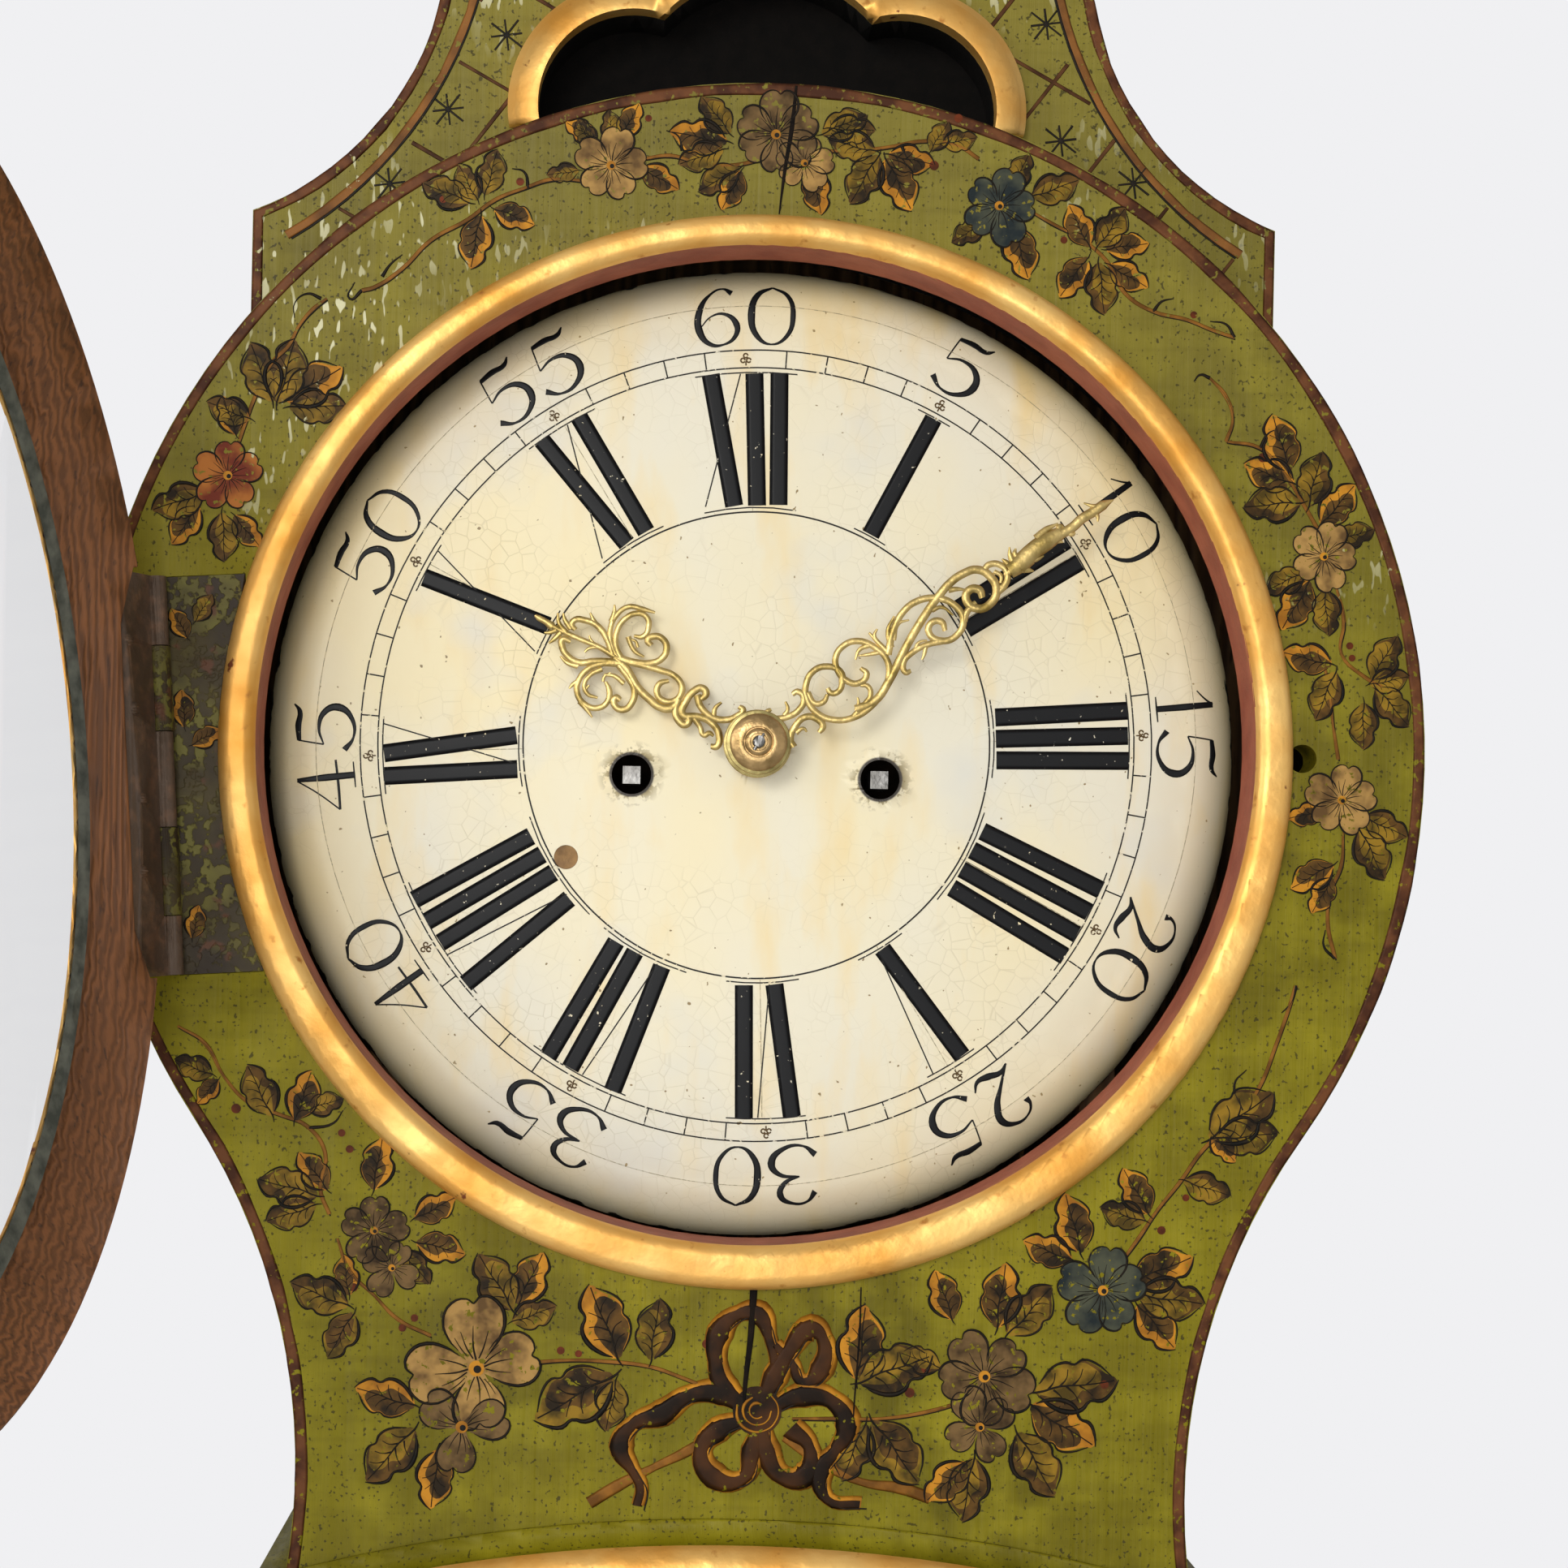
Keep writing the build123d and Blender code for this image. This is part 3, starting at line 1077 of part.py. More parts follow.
def trunk_hinge_leaf(side, own, other):
    """Adds one leaf of each H hinge, with its own knuckles and room for the other leaf's."""
    for hinge_z in TRUNK_HINGE_Z:
        pin = Plane.XY.offset(hinge_z).move(Location((TRUNK_PIN_X, TRUNK_PIN_Y, 0)))
        with BuildSketch(pin.offset(-TRUNK_HINGE_HALF)) as strip:
            with Locations((side * FIT, TRUNK_KNUCKLE_R)):
                Rectangle(
                    TRUNK_LEAF_W,
                    LEAF_T,
                    align=(Align.MIN if side > 0 else Align.MAX, Align.MAX),
                )
        extrude(strip.sketch, amount=2 * TRUNK_HINGE_HALF)
        knuckles(pin, other, TRUNK_KNUCKLE_R + KNUCKLE_GAP, KNUCKLE_GAP / 2, Mode.SUBTRACT)
        knuckles(pin, own, TRUNK_KNUCKLE_R)
        knuckles(pin, TRUNK_FULL_ROW, HINGE_PIN_R + HINGE_PIN_GAP, KNUCKLE_GAP, Mode.SUBTRACT)
        if side < 0:
            knuckles(pin, TRUNK_FULL_ROW, HINGE_PIN_R)


with BuildPart() as trunk_hinge_case_leaves:
    trunk_hinge_leaf(-1, TRUNK_ROWS[0::2], TRUNK_ROWS[1::2])
trunk_hinge_case_leaves.part.label = "trunk_hinge_case_leaves"
export_step(trunk_hinge_case_leaves.part, "parts/trunk_hinge_case_leaves.step")

with BuildPart() as trunk_hinge_door_leaves:
    trunk_hinge_leaf(1, TRUNK_ROWS[1::2], TRUNK_ROWS[0::2])
trunk_hinge_door_leaves.part.label = "trunk_hinge_door_leaves"
export_step(trunk_hinge_door_leaves.part, "parts/trunk_hinge_door_leaves.step")

LOCK_FRONT_Y = TRUNK_FRONT_Y + DOOR_T
LOCK_BACK_Y = LOCK_FRONT_Y + LOCK_T
BOLT_BACK_Y = LOCK_BACK_Y - 2 * LOCK_WALL
BOLT_Z = KEY_Z + KEY_BIT_R + BOLT_H / 2 + KEY_GAP
with BuildPart() as lock_case:
    with BuildSketch(facing(LOCK_BACK_Y)):
        with Locations((LOCK_RIGHT - LOCK_W / 2, KEY_Z)):
            Rectangle(LOCK_W, LOCK_H)
    extrude(amount=LOCK_T)
    with BuildSketch(facing(LOCK_BACK_Y - LOCK_WALL)):
        with Locations((LOCK_RIGHT - LOCK_W / 2, KEY_Z)):
            Rectangle(LOCK_W - 2 * LOCK_WALL, LOCK_H - 2 * LOCK_WALL)
    extrude(amount=LOCK_T, mode=Mode.SUBTRACT)
    with BuildSketch(facing(BOLT_BACK_Y + BOLT_GAP)):
        with Locations((LOCK_RIGHT, BOLT_Z)):
            Rectangle(4 * LOCK_WALL, BOLT_H + 2 * BOLT_GAP)
    extrude(amount=BOLT_T + 2 * BOLT_GAP, mode=Mode.SUBTRACT)
    with BuildSketch(facing(TRUNK_FRONT_Y)):
        with Locations((KEY_X, KEY_Z)):
            Ellipse(ESCUTCHEON_W / 2, ESCUTCHEON_H / 2)
            Circle(KEYHOLE_R, mode=Mode.SUBTRACT)
        with Locations((KEY_X, KEY_Z - KEY_BIT_R / 2)):
            Rectangle(KEY_BIT_T + 2 * KEY_GAP, KEY_BIT_R + 2 * KEY_GAP, mode=Mode.SUBTRACT)
    extrude(amount=ESCUTCHEON_T)
lock_case.part.label = "lock_case"
export_step(lock_case.part, "parts/lock_case.step")

with BuildPart() as lock_bolt:
    with BuildSketch(facing(BOLT_BACK_Y)):
        with Locations((LOCK_RIGHT, BOLT_Z)):
            Rectangle(BOLT_L, BOLT_H, align=(Align.MAX, Align.CENTER))
    extrude(amount=BOLT_T)
lock_bolt.part.label = "lock_bolt"
export_step(lock_bolt.part, "parts/lock_bolt.step")

with BuildPart() as trunk_key:
    with BuildSketch(facing(LOCK_BACK_Y - LOCK_WALL - KEY_GAP)):
        with Locations((KEY_X, KEY_Z)):
            Circle(KEY_STEM_R)
    extrude(amount=KEY_L)
    with BuildSketch(facing(LOCK_BACK_Y - LOCK_WALL - KEY_GAP)):
        with Locations((KEY_X, KEY_Z)):
            Rectangle(KEY_BIT_T, KEY_BIT_R, align=(Align.CENTER, Align.MAX))
    extrude(amount=KEY_BIT_L)
    with BuildSketch(Plane.YZ.offset(KEY_X - KEY_BIT_T / 2)):
        with Locations((LOCK_BACK_Y - LOCK_WALL - KEY_L - KEY_BOW_R, KEY_Z)):
            Ellipse(KEY_BOW_R, KEY_BOW_R * 1.3)
            Ellipse(KEY_BOW_R - KEY_BIT_T, KEY_BOW_R * 1.3 - KEY_BIT_T, mode=Mode.SUBTRACT)
    extrude(amount=KEY_BIT_T)
trunk_key.part.label = "trunk_key"
export_step(trunk_key.part, "parts/trunk_key.step")


# ---------------------------------------------------------------- movement helpers
def spindle(x, z, steps, mode=Mode.ADD):
    """Adds or cuts round steps along a front-to-back axis: (radius, back y, front y)."""
    for radius, back_y, front_y in steps:
        with BuildSketch(facing(back_y)) as across:
            with Locations((x, z)):
                Circle(radius)
        extrude(across.sketch, amount=back_y - front_y, mode=mode)


WHEEL_FORM = (0.38, 0.14, 0.85, 1.3)  # tooth share, tip share, addendum and dedendum in modules
PINION_FORM = (0.30, 0.16, 0.5, 1.4)


def gear(x, z, teeth, module, turn, back_y, thick, form):
    """Adds a toothed wheel facing the front, with a tooth pointing along turn (degrees)."""
    share, tip_share, addendum, dedendum = form
    pitch = 2 * pi / teeth
    pitch_r = teeth * module / 2
    root_r = pitch_r - dedendum * module
    tip_r = pitch_r + addendum * module
    flank = (
        (root_r, -share / 2 - 0.02),
        (pitch_r, -share / 2),
        (tip_r, -tip_share / 2),
        (tip_r, tip_share / 2),
        (pitch_r, share / 2),
        (root_r, share / 2 + 0.02),
    )
    points = []
    for tooth in range(teeth):
        for radius, part in flank:
            angle = radians(turn) + (tooth + part) * pitch
            points.append((x + radius * cos(angle), z + radius * sin(angle)))
    with BuildSketch(facing(back_y)) as blank:
        with BuildLine():
            Polyline(*points, close=True)
        make_face()
    extrude(blank.sketch, amount=thick)


def crossings(x, z, inner_r, outer_r, spokes, back_y, thick):
    """Cuts the openings between a wheel's rim and hub, leaving full-width bars as spokes."""
    with BuildSketch(facing(back_y)) as windows:
        with Locations((x, z)):
            Circle(outer_r)
            Circle(inner_r, mode=Mode.SUBTRACT)
            for bar in range(spokes // 2):
                Rectangle(
                    2 * outer_r + WHEEL_T,
                    SPOKE_W,
                    rotation=bar * 360 / spokes,
                    mode=Mode.SUBTRACT,
                )
    extrude(windows.sketch, amount=thick, mode=Mode.SUBTRACT)


def bearing(from_x, from_z, to_x, to_z):
    """Direction from one arbor to another, degrees."""
    return degrees(atan2(to_z - from_z, to_x - from_x))


def gap_turn(direction, teeth):
    """Turn that gives a wheel a gap facing back along a mesh direction."""
    return direction + 180 + 180 / teeth


PIVOTED = (
    (PIVOT_R, MOVEMENT_BACK_Y + FIT, PLATE_FRONT_Y - FIT),
    (ARBOR_R, PLATE_REAR_Y - FIT, PLATE_INNER_Y + FIT),
)
STUD_X = ARBOR_X
STUD_Z = ARBOR_Z - MINUTE_D
HAMMER_X = ARBOR_X - HAMMER_OFF
HAMMER_Z = ARBOR_Z + HAMMER_RISE
BARREL_XS = (ARBOR_X - WINDING_HALF, ARBOR_X + WINDING_HALF)
LINE_XS = (BARREL_XS[0] - BARREL_R - LINE_R, BARREL_XS[1] + BARREL_R + LINE_R)
PULLEY_XS = (LINE_XS[0] - PULLEY_R - LINE_R, LINE_XS[1] + PULLEY_R + LINE_R)
PULLEY_Z = WEIGHT_Z + WEIGHT_L + STIRRUP_RISE

# ---------------------------------------------------------------- movement frame
with BuildPart() as seatboard:
    with BuildSketch(flat(SEAT_Z)):
        with Locations((0, (SEAT_FRONT_Y + SEAT_BACK_Y) / 2)):
            Rectangle(2 * SEAT_HALF, SEAT_BACK_Y - SEAT_FRONT_Y)
        for line_x in LINE_XS:
            with Locations((line_x, LINE_Y)):
                SlotCenterToCenter(SEAT_SLOT_L, SEAT_SLOT_W, rotation=90, mode=Mode.SUBTRACT)
    extrude(amount=SEAT_T)
    for side in SIDES:
        with BuildSketch(flat(HOOD_FOOT_Z)):
            with Locations((side * (SEAT_HALF - CHEEK_T / 2), (SEAT_FRONT_Y + CHEEK_BACK_Y) / 2)):
                Rectangle(CHEEK_T, CHEEK_BACK_Y - SEAT_FRONT_Y)
        extrude(amount=SEAT_Z - HOOD_FOOT_Z)
    # the short upper ends of the two lines, which never change length
    for line_x in LINE_XS:
        with BuildSketch(flat(SEAT_Z)):
            with Locations((line_x, LINE_Y)):
                Circle(LINE_R)
        extrude(amount=BARREL_Z - SEAT_Z)
seatboard.part.label = "seatboard"
export_step(seatboard.part, "parts/seatboard.step")


def plate_sheet(back_y):
    """Adds one rectangular movement plate."""
    with BuildSketch(facing(back_y)) as sheet:
        with Locations((ARBOR_X, ARBOR_Z + (PLATE_HIGH - PLATE_LOW) / 2)):
            Rectangle(2 * PLATE_HALF, PLATE_HIGH + PLATE_LOW)
    extrude(sheet.sketch, amount=PLATE_T)


TRAIN_PIVOTS = (
    (THIRD_X, THIRD_Z),
    (ARBOR_X, ESCAPE_Z),
    (HAMMER_X, HAMMER_Z),
)
with BuildPart() as front_plate:
    plate_sheet(PLATE_INNER_Y)
    holes = [(PIVOT_R + PIVOT_GAP, x, z) for x, z in TRAIN_PIVOTS + ((ARBOR_X, PALLET_Z),)]
    holes += [(ARBOR_R + PIVOT_GAP, ARBOR_X, ARBOR_Z)]
    holes += [(BARREL_ARBOR_R + PIVOT_GAP, x, BARREL_Z) for x in BARREL_XS]
    for radius, x, z in holes:
        spindle(x, z, [(radius, PLATE_INNER_Y, PLATE_FRONT_Y)], Mode.SUBTRACT)
    # stud of the minute wheel, with its collar
    spindle(
        STUD_X,
        STUD_Z,
        [(STUD_R, PLATE_FRONT_Y, STUD_END_Y), (STUD_R + STUD_R, STUD_END_Y, STUD_END_Y - STUD_R / 2)],
    )
front_plate.part.label = "front_plate"
export_step(front_plate.part, "parts/front_plate.step")

with BuildPart() as back_plate:
    plate_sheet(MOVEMENT_BACK_Y)
    holes = [(PIVOT_R + PIVOT_GAP, x, z) for x, z in TRAIN_PIVOTS + ((ARBOR_X, ARBOR_Z),)]
    holes += [(CRUTCH_HOLE_R, ARBOR_X, PALLET_Z)]
    holes += [(BARREL_ARBOR_R + PIVOT_GAP, x, BARREL_Z) for x in BARREL_XS]
    for radius, x, z in holes:
        spindle(x, z, [(radius, MOVEMENT_BACK_Y, PLATE_REAR_Y)], Mode.SUBTRACT)
    for side in SIDES:
        for pillar_z in (ARBOR_Z + PLATE_HIGH - PILLAR_INSET, ARBOR_Z - PLATE_LOW + PILLAR_INSET):
            pillar_x = ARBOR_X + side * (PLATE_HALF - PILLAR_INSET)
            spindle(
                pillar_x,
                pillar_z,
                [
                    (PILLAR_R, PLATE_REAR_Y, PLATE_INNER_Y),
                    (PILLAR_R * 1.4, PLATE_REAR_Y, PLATE_REAR_Y - PLATE_T),
                    (PILLAR_R * 1.4, PLATE_INNER_Y + PLATE_T, PLATE_INNER_Y),
                    (PILLAR_R * 1.3, MID_PLATE_Y + PLATE_T, MID_PLATE_Y - PLATE_T),
                ],
            )
back_plate.part.label = "back_plate"
export_step(back_plate.part, "parts/back_plate.step")

with BuildPart() as back_cock:
    with BuildSketch(facing(PENDULUM_Y + COCK_REACH)):
        with Locations((ARBOR_X, PALLET_Z)):
            Rectangle(2 * COCK_HALF, 2 * COCK_HALF)
    extrude(amount=PENDULUM_Y + COCK_REACH - MOVEMENT_BACK_Y)
    # open below: the crutch and the pendulum hang between the cross walls
    for back_y, front_y in COCK_ROOMS:
        with BuildSketch(facing(back_y)):
            with Locations((ARBOR_X, PALLET_Z + COCK_HALF - COCK_T)):
                Rectangle(
                    2 * (COCK_HALF - COCK_T),
                    2 * COCK_HALF,
                    align=(Align.CENTER, Align.MAX),
                )
        extrude(amount=back_y - front_y, mode=Mode.SUBTRACT)
    spindle(
        ARBOR_X,
        PALLET_Z,
        [(PIVOT_R + PIVOT_GAP, PENDULUM_Y + COCK_REACH, COCK_ROOMS[0][0])],
        Mode.SUBTRACT,
    )
    spindle(ARBOR_X, PALLET_Z, [(ARBOR_R + FIT, COCK_ROOMS[0][1], MOVEMENT_BACK_Y)], Mode.SUBTRACT)
back_cock.part.label = "back_cock"
export_step(back_cock.part, "parts/back_cock.step")

BELL_Z = ARBOR_Z + BELL_RISE
with BuildPart() as bell:
    with BuildSketch(Plane.YZ.offset(ARBOR_X)):
        with BuildLine():
            Line((BELL_Y, BELL_Z + BELL_H), (BELL_Y, BELL_Z + BELL_H - BELL_T))
            ThreePointArc(
                (BELL_Y, BELL_Z + BELL_H - BELL_T),
                (BELL_Y + BELL_R * 0.72 - BELL_T, BELL_Z + BELL_H * 0.70 - BELL_T),
                (BELL_Y + BELL_R - BELL_T, BELL_Z),
            )
            Line((BELL_Y + BELL_R - BELL_T, BELL_Z), (BELL_Y + BELL_R, BELL_Z))
            ThreePointArc(
                (BELL_Y + BELL_R, BELL_Z),
                (BELL_Y + BELL_R * 0.72, BELL_Z + BELL_H * 0.72),
                (BELL_Y, BELL_Z + BELL_H),
            )
        make_face()
    revolve(axis=Axis((ARBOR_X, BELL_Y, 0), (0, 0, 1)))
    # stand: a strap from the back plate carries the post the bell is screwed to
    with BuildSketch(flat(BELL_STRAP_Z)):
        with Locations((ARBOR_X - BELL_STRAP_W / 2, BELL_Y - BELL_STRAP_W / 2)):
            Rectangle(
                BELL_TAB_X + BELL_STRAP_W,
                MOVEMENT_BACK_Y + PLATE_T - BELL_Y + BELL_STRAP_W / 2,
                align=(Align.MIN, Align.MIN),
            )
    extrude(amount=PLATE_T)
    with BuildSketch(facing(MOVEMENT_BACK_Y + PLATE_T)):
        with Locations((ARBOR_X + BELL_TAB_X, BELL_STRAP_Z + PLATE_T)):
            Rectangle(BELL_STRAP_W, BELL_TAB_H, align=(Align.CENTER, Align.MAX))
    extrude(amount=PLATE_T)
    with BuildSketch(flat(BELL_STRAP_Z + PLATE_T)):
        with Locations((ARBOR_X, BELL_Y)):
            Circle(PIVOT_R * 2)
    extrude(amount=BELL_Z + BELL_H + PLATE_T - BELL_STRAP_Z)
bell.part.label = "bell"
export_step(bell.part, "parts/bell.step")

# ---------------------------------------------------------------- dial
with BuildPart() as dial_disc:
    with BuildSketch(Plane.YZ):
        with BuildLine():
            ThreePointArc(
                (DISC_CROWN_Y, DISC_Z),
                (DISC_CROWN_Y + 1.7, DISC_Z + 0.58 * DISC_SHOULDER_R),
                (DISC_CROWN_Y + DISC_SHOULDER_DROP, DISC_Z + DISC_SHOULDER_R),
            )
            ThreePointArc(
                (DISC_CROWN_Y + DISC_SHOULDER_DROP, DISC_Z + DISC_SHOULDER_R),
                (DISC_CROWN_Y + DISC_RIM_DROP / 2, DISC_Z + DISC_R - DISC_RIM_DROP / 2.6),
                (DISC_CROWN_Y + DISC_RIM_DROP, DISC_Z + DISC_R),
            )
            Line(
                (DISC_CROWN_Y + DISC_RIM_DROP, DISC_Z + DISC_R),
                (DISC_CROWN_Y + DISC_RIM_DROP, DISC_Z + DISC_R - DISC_T),
            )
            ThreePointArc(
                (DISC_CROWN_Y + DISC_RIM_DROP, DISC_Z + DISC_R - DISC_T),
                (DISC_CROWN_Y + DISC_T + DISC_RIM_DROP / 2, DISC_Z + DISC_R - DISC_T - DISC_RIM_DROP / 2.6),
                (DISC_CROWN_Y + DISC_T + DISC_SHOULDER_DROP, DISC_Z + DISC_SHOULDER_R - DISC_T),
            )
            ThreePointArc(
                (DISC_CROWN_Y + DISC_T + DISC_SHOULDER_DROP, DISC_Z + DISC_SHOULDER_R - DISC_T),
                (DISC_CROWN_Y + DISC_T + 1.7, DISC_Z + 0.58 * DISC_SHOULDER_R),
                (DISC_CROWN_Y + DISC_T, DISC_Z),
            )
            Line((DISC_CROWN_Y + DISC_T, DISC_Z), (DISC_CROWN_Y, DISC_Z))
        make_face()
    revolve(axis=Axis((0, 0, DISC_Z), (0, 1, 0)))
    for side_x in SIDES:
        for side_z in SIDES:
            spindle(
                ARBOR_X + side_x * FOOT_X,
                ARBOR_Z + side_z * FOOT_Z,
                [(FOOT_R, PLATE_FRONT_Y, DISC_CROWN_Y + DISC_T + FIT)],
            )
    spindle(ARBOR_X, ARBOR_Z, [(DIAL_HOLE_R, PLATE_FRONT_Y, HOOD_FRONT_Y)], Mode.SUBTRACT)
    for x in BARREL_XS:
        spindle(x, BARREL_Z, [(WINDING_HOLE_R, PLATE_FRONT_Y, HOOD_FRONT_Y)], Mode.SUBTRACT)
dial_disc.part.label = "dial_disc"
export_step(dial_disc.part, "parts/dial_disc.step")

# ---------------------------------------------------------------- going train
WASHER_Y = MINUTE_HAND_Y - HAND_T
PIN_PLANE = Plane(
    origin=(ARBOR_X, WASHER_Y - WASHER_DOME - PIN_R, ARBOR_Z),
    x_dir=(0, 1, 0),
    z_dir=(cos(radians(PIN_TURN)), 0, sin(radians(PIN_TURN))),
)
THIRD_DIRECTION = bearing(ARBOR_X, ARBOR_Z, THIRD_X, THIRD_Z)
ESCAPE_DIRECTION = bearing(THIRD_X, THIRD_Z, ARBOR_X, ESCAPE_Z)
GREAT_DIRECTION = bearing(BARREL_XS[1], BARREL_Z, ARBOR_X, ARBOR_Z)
with BuildPart() as centre_wheel:
    spindle(
        ARBOR_X,
        ARBOR_Z,
        [
            (PIVOT_R, MOVEMENT_BACK_Y + FIT, PLATE_REAR_Y - WHEEL_T),
            (ARBOR_R, PLATE_REAR_Y - FIT, ARBOR_END_Y),
            (CANNON_PIPE_R, CANNON_Y, MINUTE_HAND_Y),
        ],
    )
    gear(
        ARBOR_X,
        ARBOR_Z,
        CENTRE_TEETH,
        CENTRE_MODULE,
        THIRD_DIRECTION,
        CENTRE_Y,
        WHEEL_T,
        WHEEL_FORM,
    )
    crossings(ARBOR_X, ARBOR_Z, HUB_R / 2, CENTRE_MODULE * CENTRE_TEETH / 2 - RIM_W, 4, CENTRE_Y, WHEEL_T)
    gear(
        ARBOR_X,
        ARBOR_Z,
        CENTRE_LEAVES,
        GREAT_MODULE,
        gap_turn(GREAT_DIRECTION, CENTRE_LEAVES),
        GREAT_Y + PINION_T / 3,
        PINION_T,
        PINION_FORM,
    )
    gear(
        ARBOR_X,
        ARBOR_Z,
        CANNON_TEETH,
        MOTION_MODULE,
        gap_turn(-90 + 180, CANNON_TEETH),
        CANNON_Y,
        CANNON_T,
        PINION_FORM,
    )
    with BuildSketch(PIN_PLANE):
        Circle(PIN_R + PIVOT_GAP)
    extrude(amount=PIN_L / 2, both=True, mode=Mode.SUBTRACT)
centre_wheel.part.label = "centre_wheel"
export_step(centre_wheel.part, "parts/centre_wheel.step")

with BuildPart() as minute_wheel:
    gear(STUD_X, STUD_Z, MINUTE_TEETH, MOTION_MODULE, 90, CANNON_Y - FIT, WHEEL_T, WHEEL_FORM)
    crossings(STUD_X, STUD_Z, HUB_R / 2, MOTION_MODULE * MINUTE_TEETH / 2 - RIM_W, 4, CANNON_Y - FIT, WHEEL_T)
    gear(
        STUD_X,
        STUD_Z,
        MINUTE_LEAVES,
        HOUR_MODULE,
        90 + 180 / MINUTE_LEAVES,
        CANNON_Y - WHEEL_T,
        MINUTE_PINION_L,
        PINION_FORM,
    )
    spindle(STUD_X, STUD_Z, [(STUD_R + PIVOT_GAP, PLATE_FRONT_Y, HOOD_FRONT_Y)], Mode.SUBTRACT)
minute_wheel.part.label = "minute_wheel"
export_step(minute_wheel.part, "parts/minute_wheel.step")

with BuildPart() as hour_wheel:
    gear(ARBOR_X, ARBOR_Z, HOUR_TEETH, HOUR_MODULE, -90, HOUR_WHEEL_Y, WHEEL_T, WHEEL_FORM)
    crossings(ARBOR_X, ARBOR_Z, HUB_R - RIM_W, HOUR_MODULE * HOUR_TEETH / 2 - RIM_W, 4, HOUR_WHEEL_Y, WHEEL_T)
    spindle(ARBOR_X, ARBOR_Z, [(HOUR_PIPE_R, CANNON_Y - CANNON_T - FIT, HOUR_HAND_Y - HAND_T - FIT)])
    spindle(ARBOR_X, ARBOR_Z, [(CANNON_PIPE_R + PIVOT_GAP * 3, CANNON_Y, HOOD_FRONT_Y)], Mode.SUBTRACT)
hour_wheel.part.label = "hour_wheel"
export_step(hour_wheel.part, "parts/hour_wheel.step")

with BuildPart() as third_wheel:
    spindle(THIRD_X, THIRD_Z, PIVOTED)
    gear(
        THIRD_X,
        THIRD_Z,
        THIRD_LEAVES,
        CENTRE_MODULE,
        gap_turn(THIRD_DIRECTION, THIRD_LEAVES),
        CENTRE_Y + PINION_T / 3,
        PINION_T,
        PINION_FORM,
    )
    gear(THIRD_X, THIRD_Z, THIRD_TEETH, THIRD_MODULE, ESCAPE_DIRECTION, THIRD_Y, WHEEL_T, WHEEL_FORM)
    crossings(THIRD_X, THIRD_Z, HUB_R / 2, THIRD_MODULE * THIRD_TEETH / 2 - RIM_W, 4, THIRD_Y, WHEEL_T)
third_wheel.part.label = "third_wheel"
export_step(third_wheel.part, "parts/third_wheel.step")

with BuildPart() as escape_wheel:
    gear(
        ARBOR_X,
        ESCAPE_Z,
        ESCAPE_LEAVES,
        THIRD_MODULE,
        gap_turn(ESCAPE_DIRECTION, ESCAPE_LEAVES),
        THIRD_Y + PINION_T / 3,
        PINION_T,
        PINION_FORM,
    )
    spindle(ARBOR_X, ESCAPE_Z, PIVOTED[:1])
    spindle(
        ARBOR_X,
        ESCAPE_Z,
        [
            (ESCAPE_ARBOR_R, PLATE_REAR_Y - FIT, PLATE_INNER_Y + FIT),
        ],
    )
    points = []
    for tooth in range(ESCAPE_TEETH):
        start = 2 * pi * tooth / ESCAPE_TEETH
        for radius, part in ((ESCAPE_ROOT_R, 0.0), (ESCAPE_R, 0.62), (ESCAPE_R, 0.74), (ESCAPE_ROOT_R, 0.72)):
            angle = start + part * 2 * pi / ESCAPE_TEETH
            points.append((ARBOR_X + radius * cos(angle), ESCAPE_Z + radius * sin(angle)))
    with BuildSketch(facing(ESCAPE_Y)):
        with BuildLine():
            Polyline(*points, close=True)
        make_face()
    extrude(amount=WHEEL_T)
    crossings(ARBOR_X, ESCAPE_Z, HUB_R / 2, ESCAPE_ROOT_R - RIM_W / 2, 4, ESCAPE_Y, WHEEL_T)
escape_wheel.part.label = "escape_wheel"
export_step(escape_wheel.part, "parts/escape_wheel.step")

with BuildPart() as pallets:
    spindle(
        ARBOR_X,
        PALLET_Z,
        [
            (PIVOT_R, COCK_ROOMS[1][1] - FIT, PLATE_FRONT_Y - FIT),
            (ARBOR_R, COCK_ROOMS[0][0] - FIT, PLATE_INNER_Y + FIT),
        ],
    )
    with BuildSketch(facing(ESCAPE_Y)):
        with BuildLine(Location((ARBOR_X, PALLET_Z))):
            Polyline(*ANCHOR, *[(-x, z) for x, z in reversed(ANCHOR[1:-1])], close=True)
        make_face()
    extrude(amount=WHEEL_T)
    # crutch, with the fork that takes the pendulum rod
    with BuildSketch(facing(CRUTCH_Y)):
        with Locations((ARBOR_X, PALLET_Z)):
            Circle(CRUTCH_HALF * 1.5)
            Rectangle(2 * CRUTCH_HALF, CRUTCH_L, align=(Align.CENTER, Align.MAX))
    extrude(amount=CRUTCH_T)
    with BuildSketch(flat(PALLET_Z - CRUTCH_L)):
        with Locations((ARBOR_X, CRUTCH_Y - CRUTCH_T)):
            Rectangle(
                FORK_W,
                PENDULUM_Y + FORK_PAST - CRUTCH_Y + CRUTCH_T,
                align=(Align.CENTER, Align.MIN),
            )
        with Locations((ARBOR_X, PENDULUM_Y - ROD_R - FIT)):
            Rectangle(2 * (ROD_R + FIT), FORK_PAST * 2, align=(Align.CENTER, Align.MIN), mode=Mode.SUBTRACT)
    extrude(amount=FORK_T)
pallets.part.label = "pallets"
export_step(pallets.part, "parts/pallets.step")


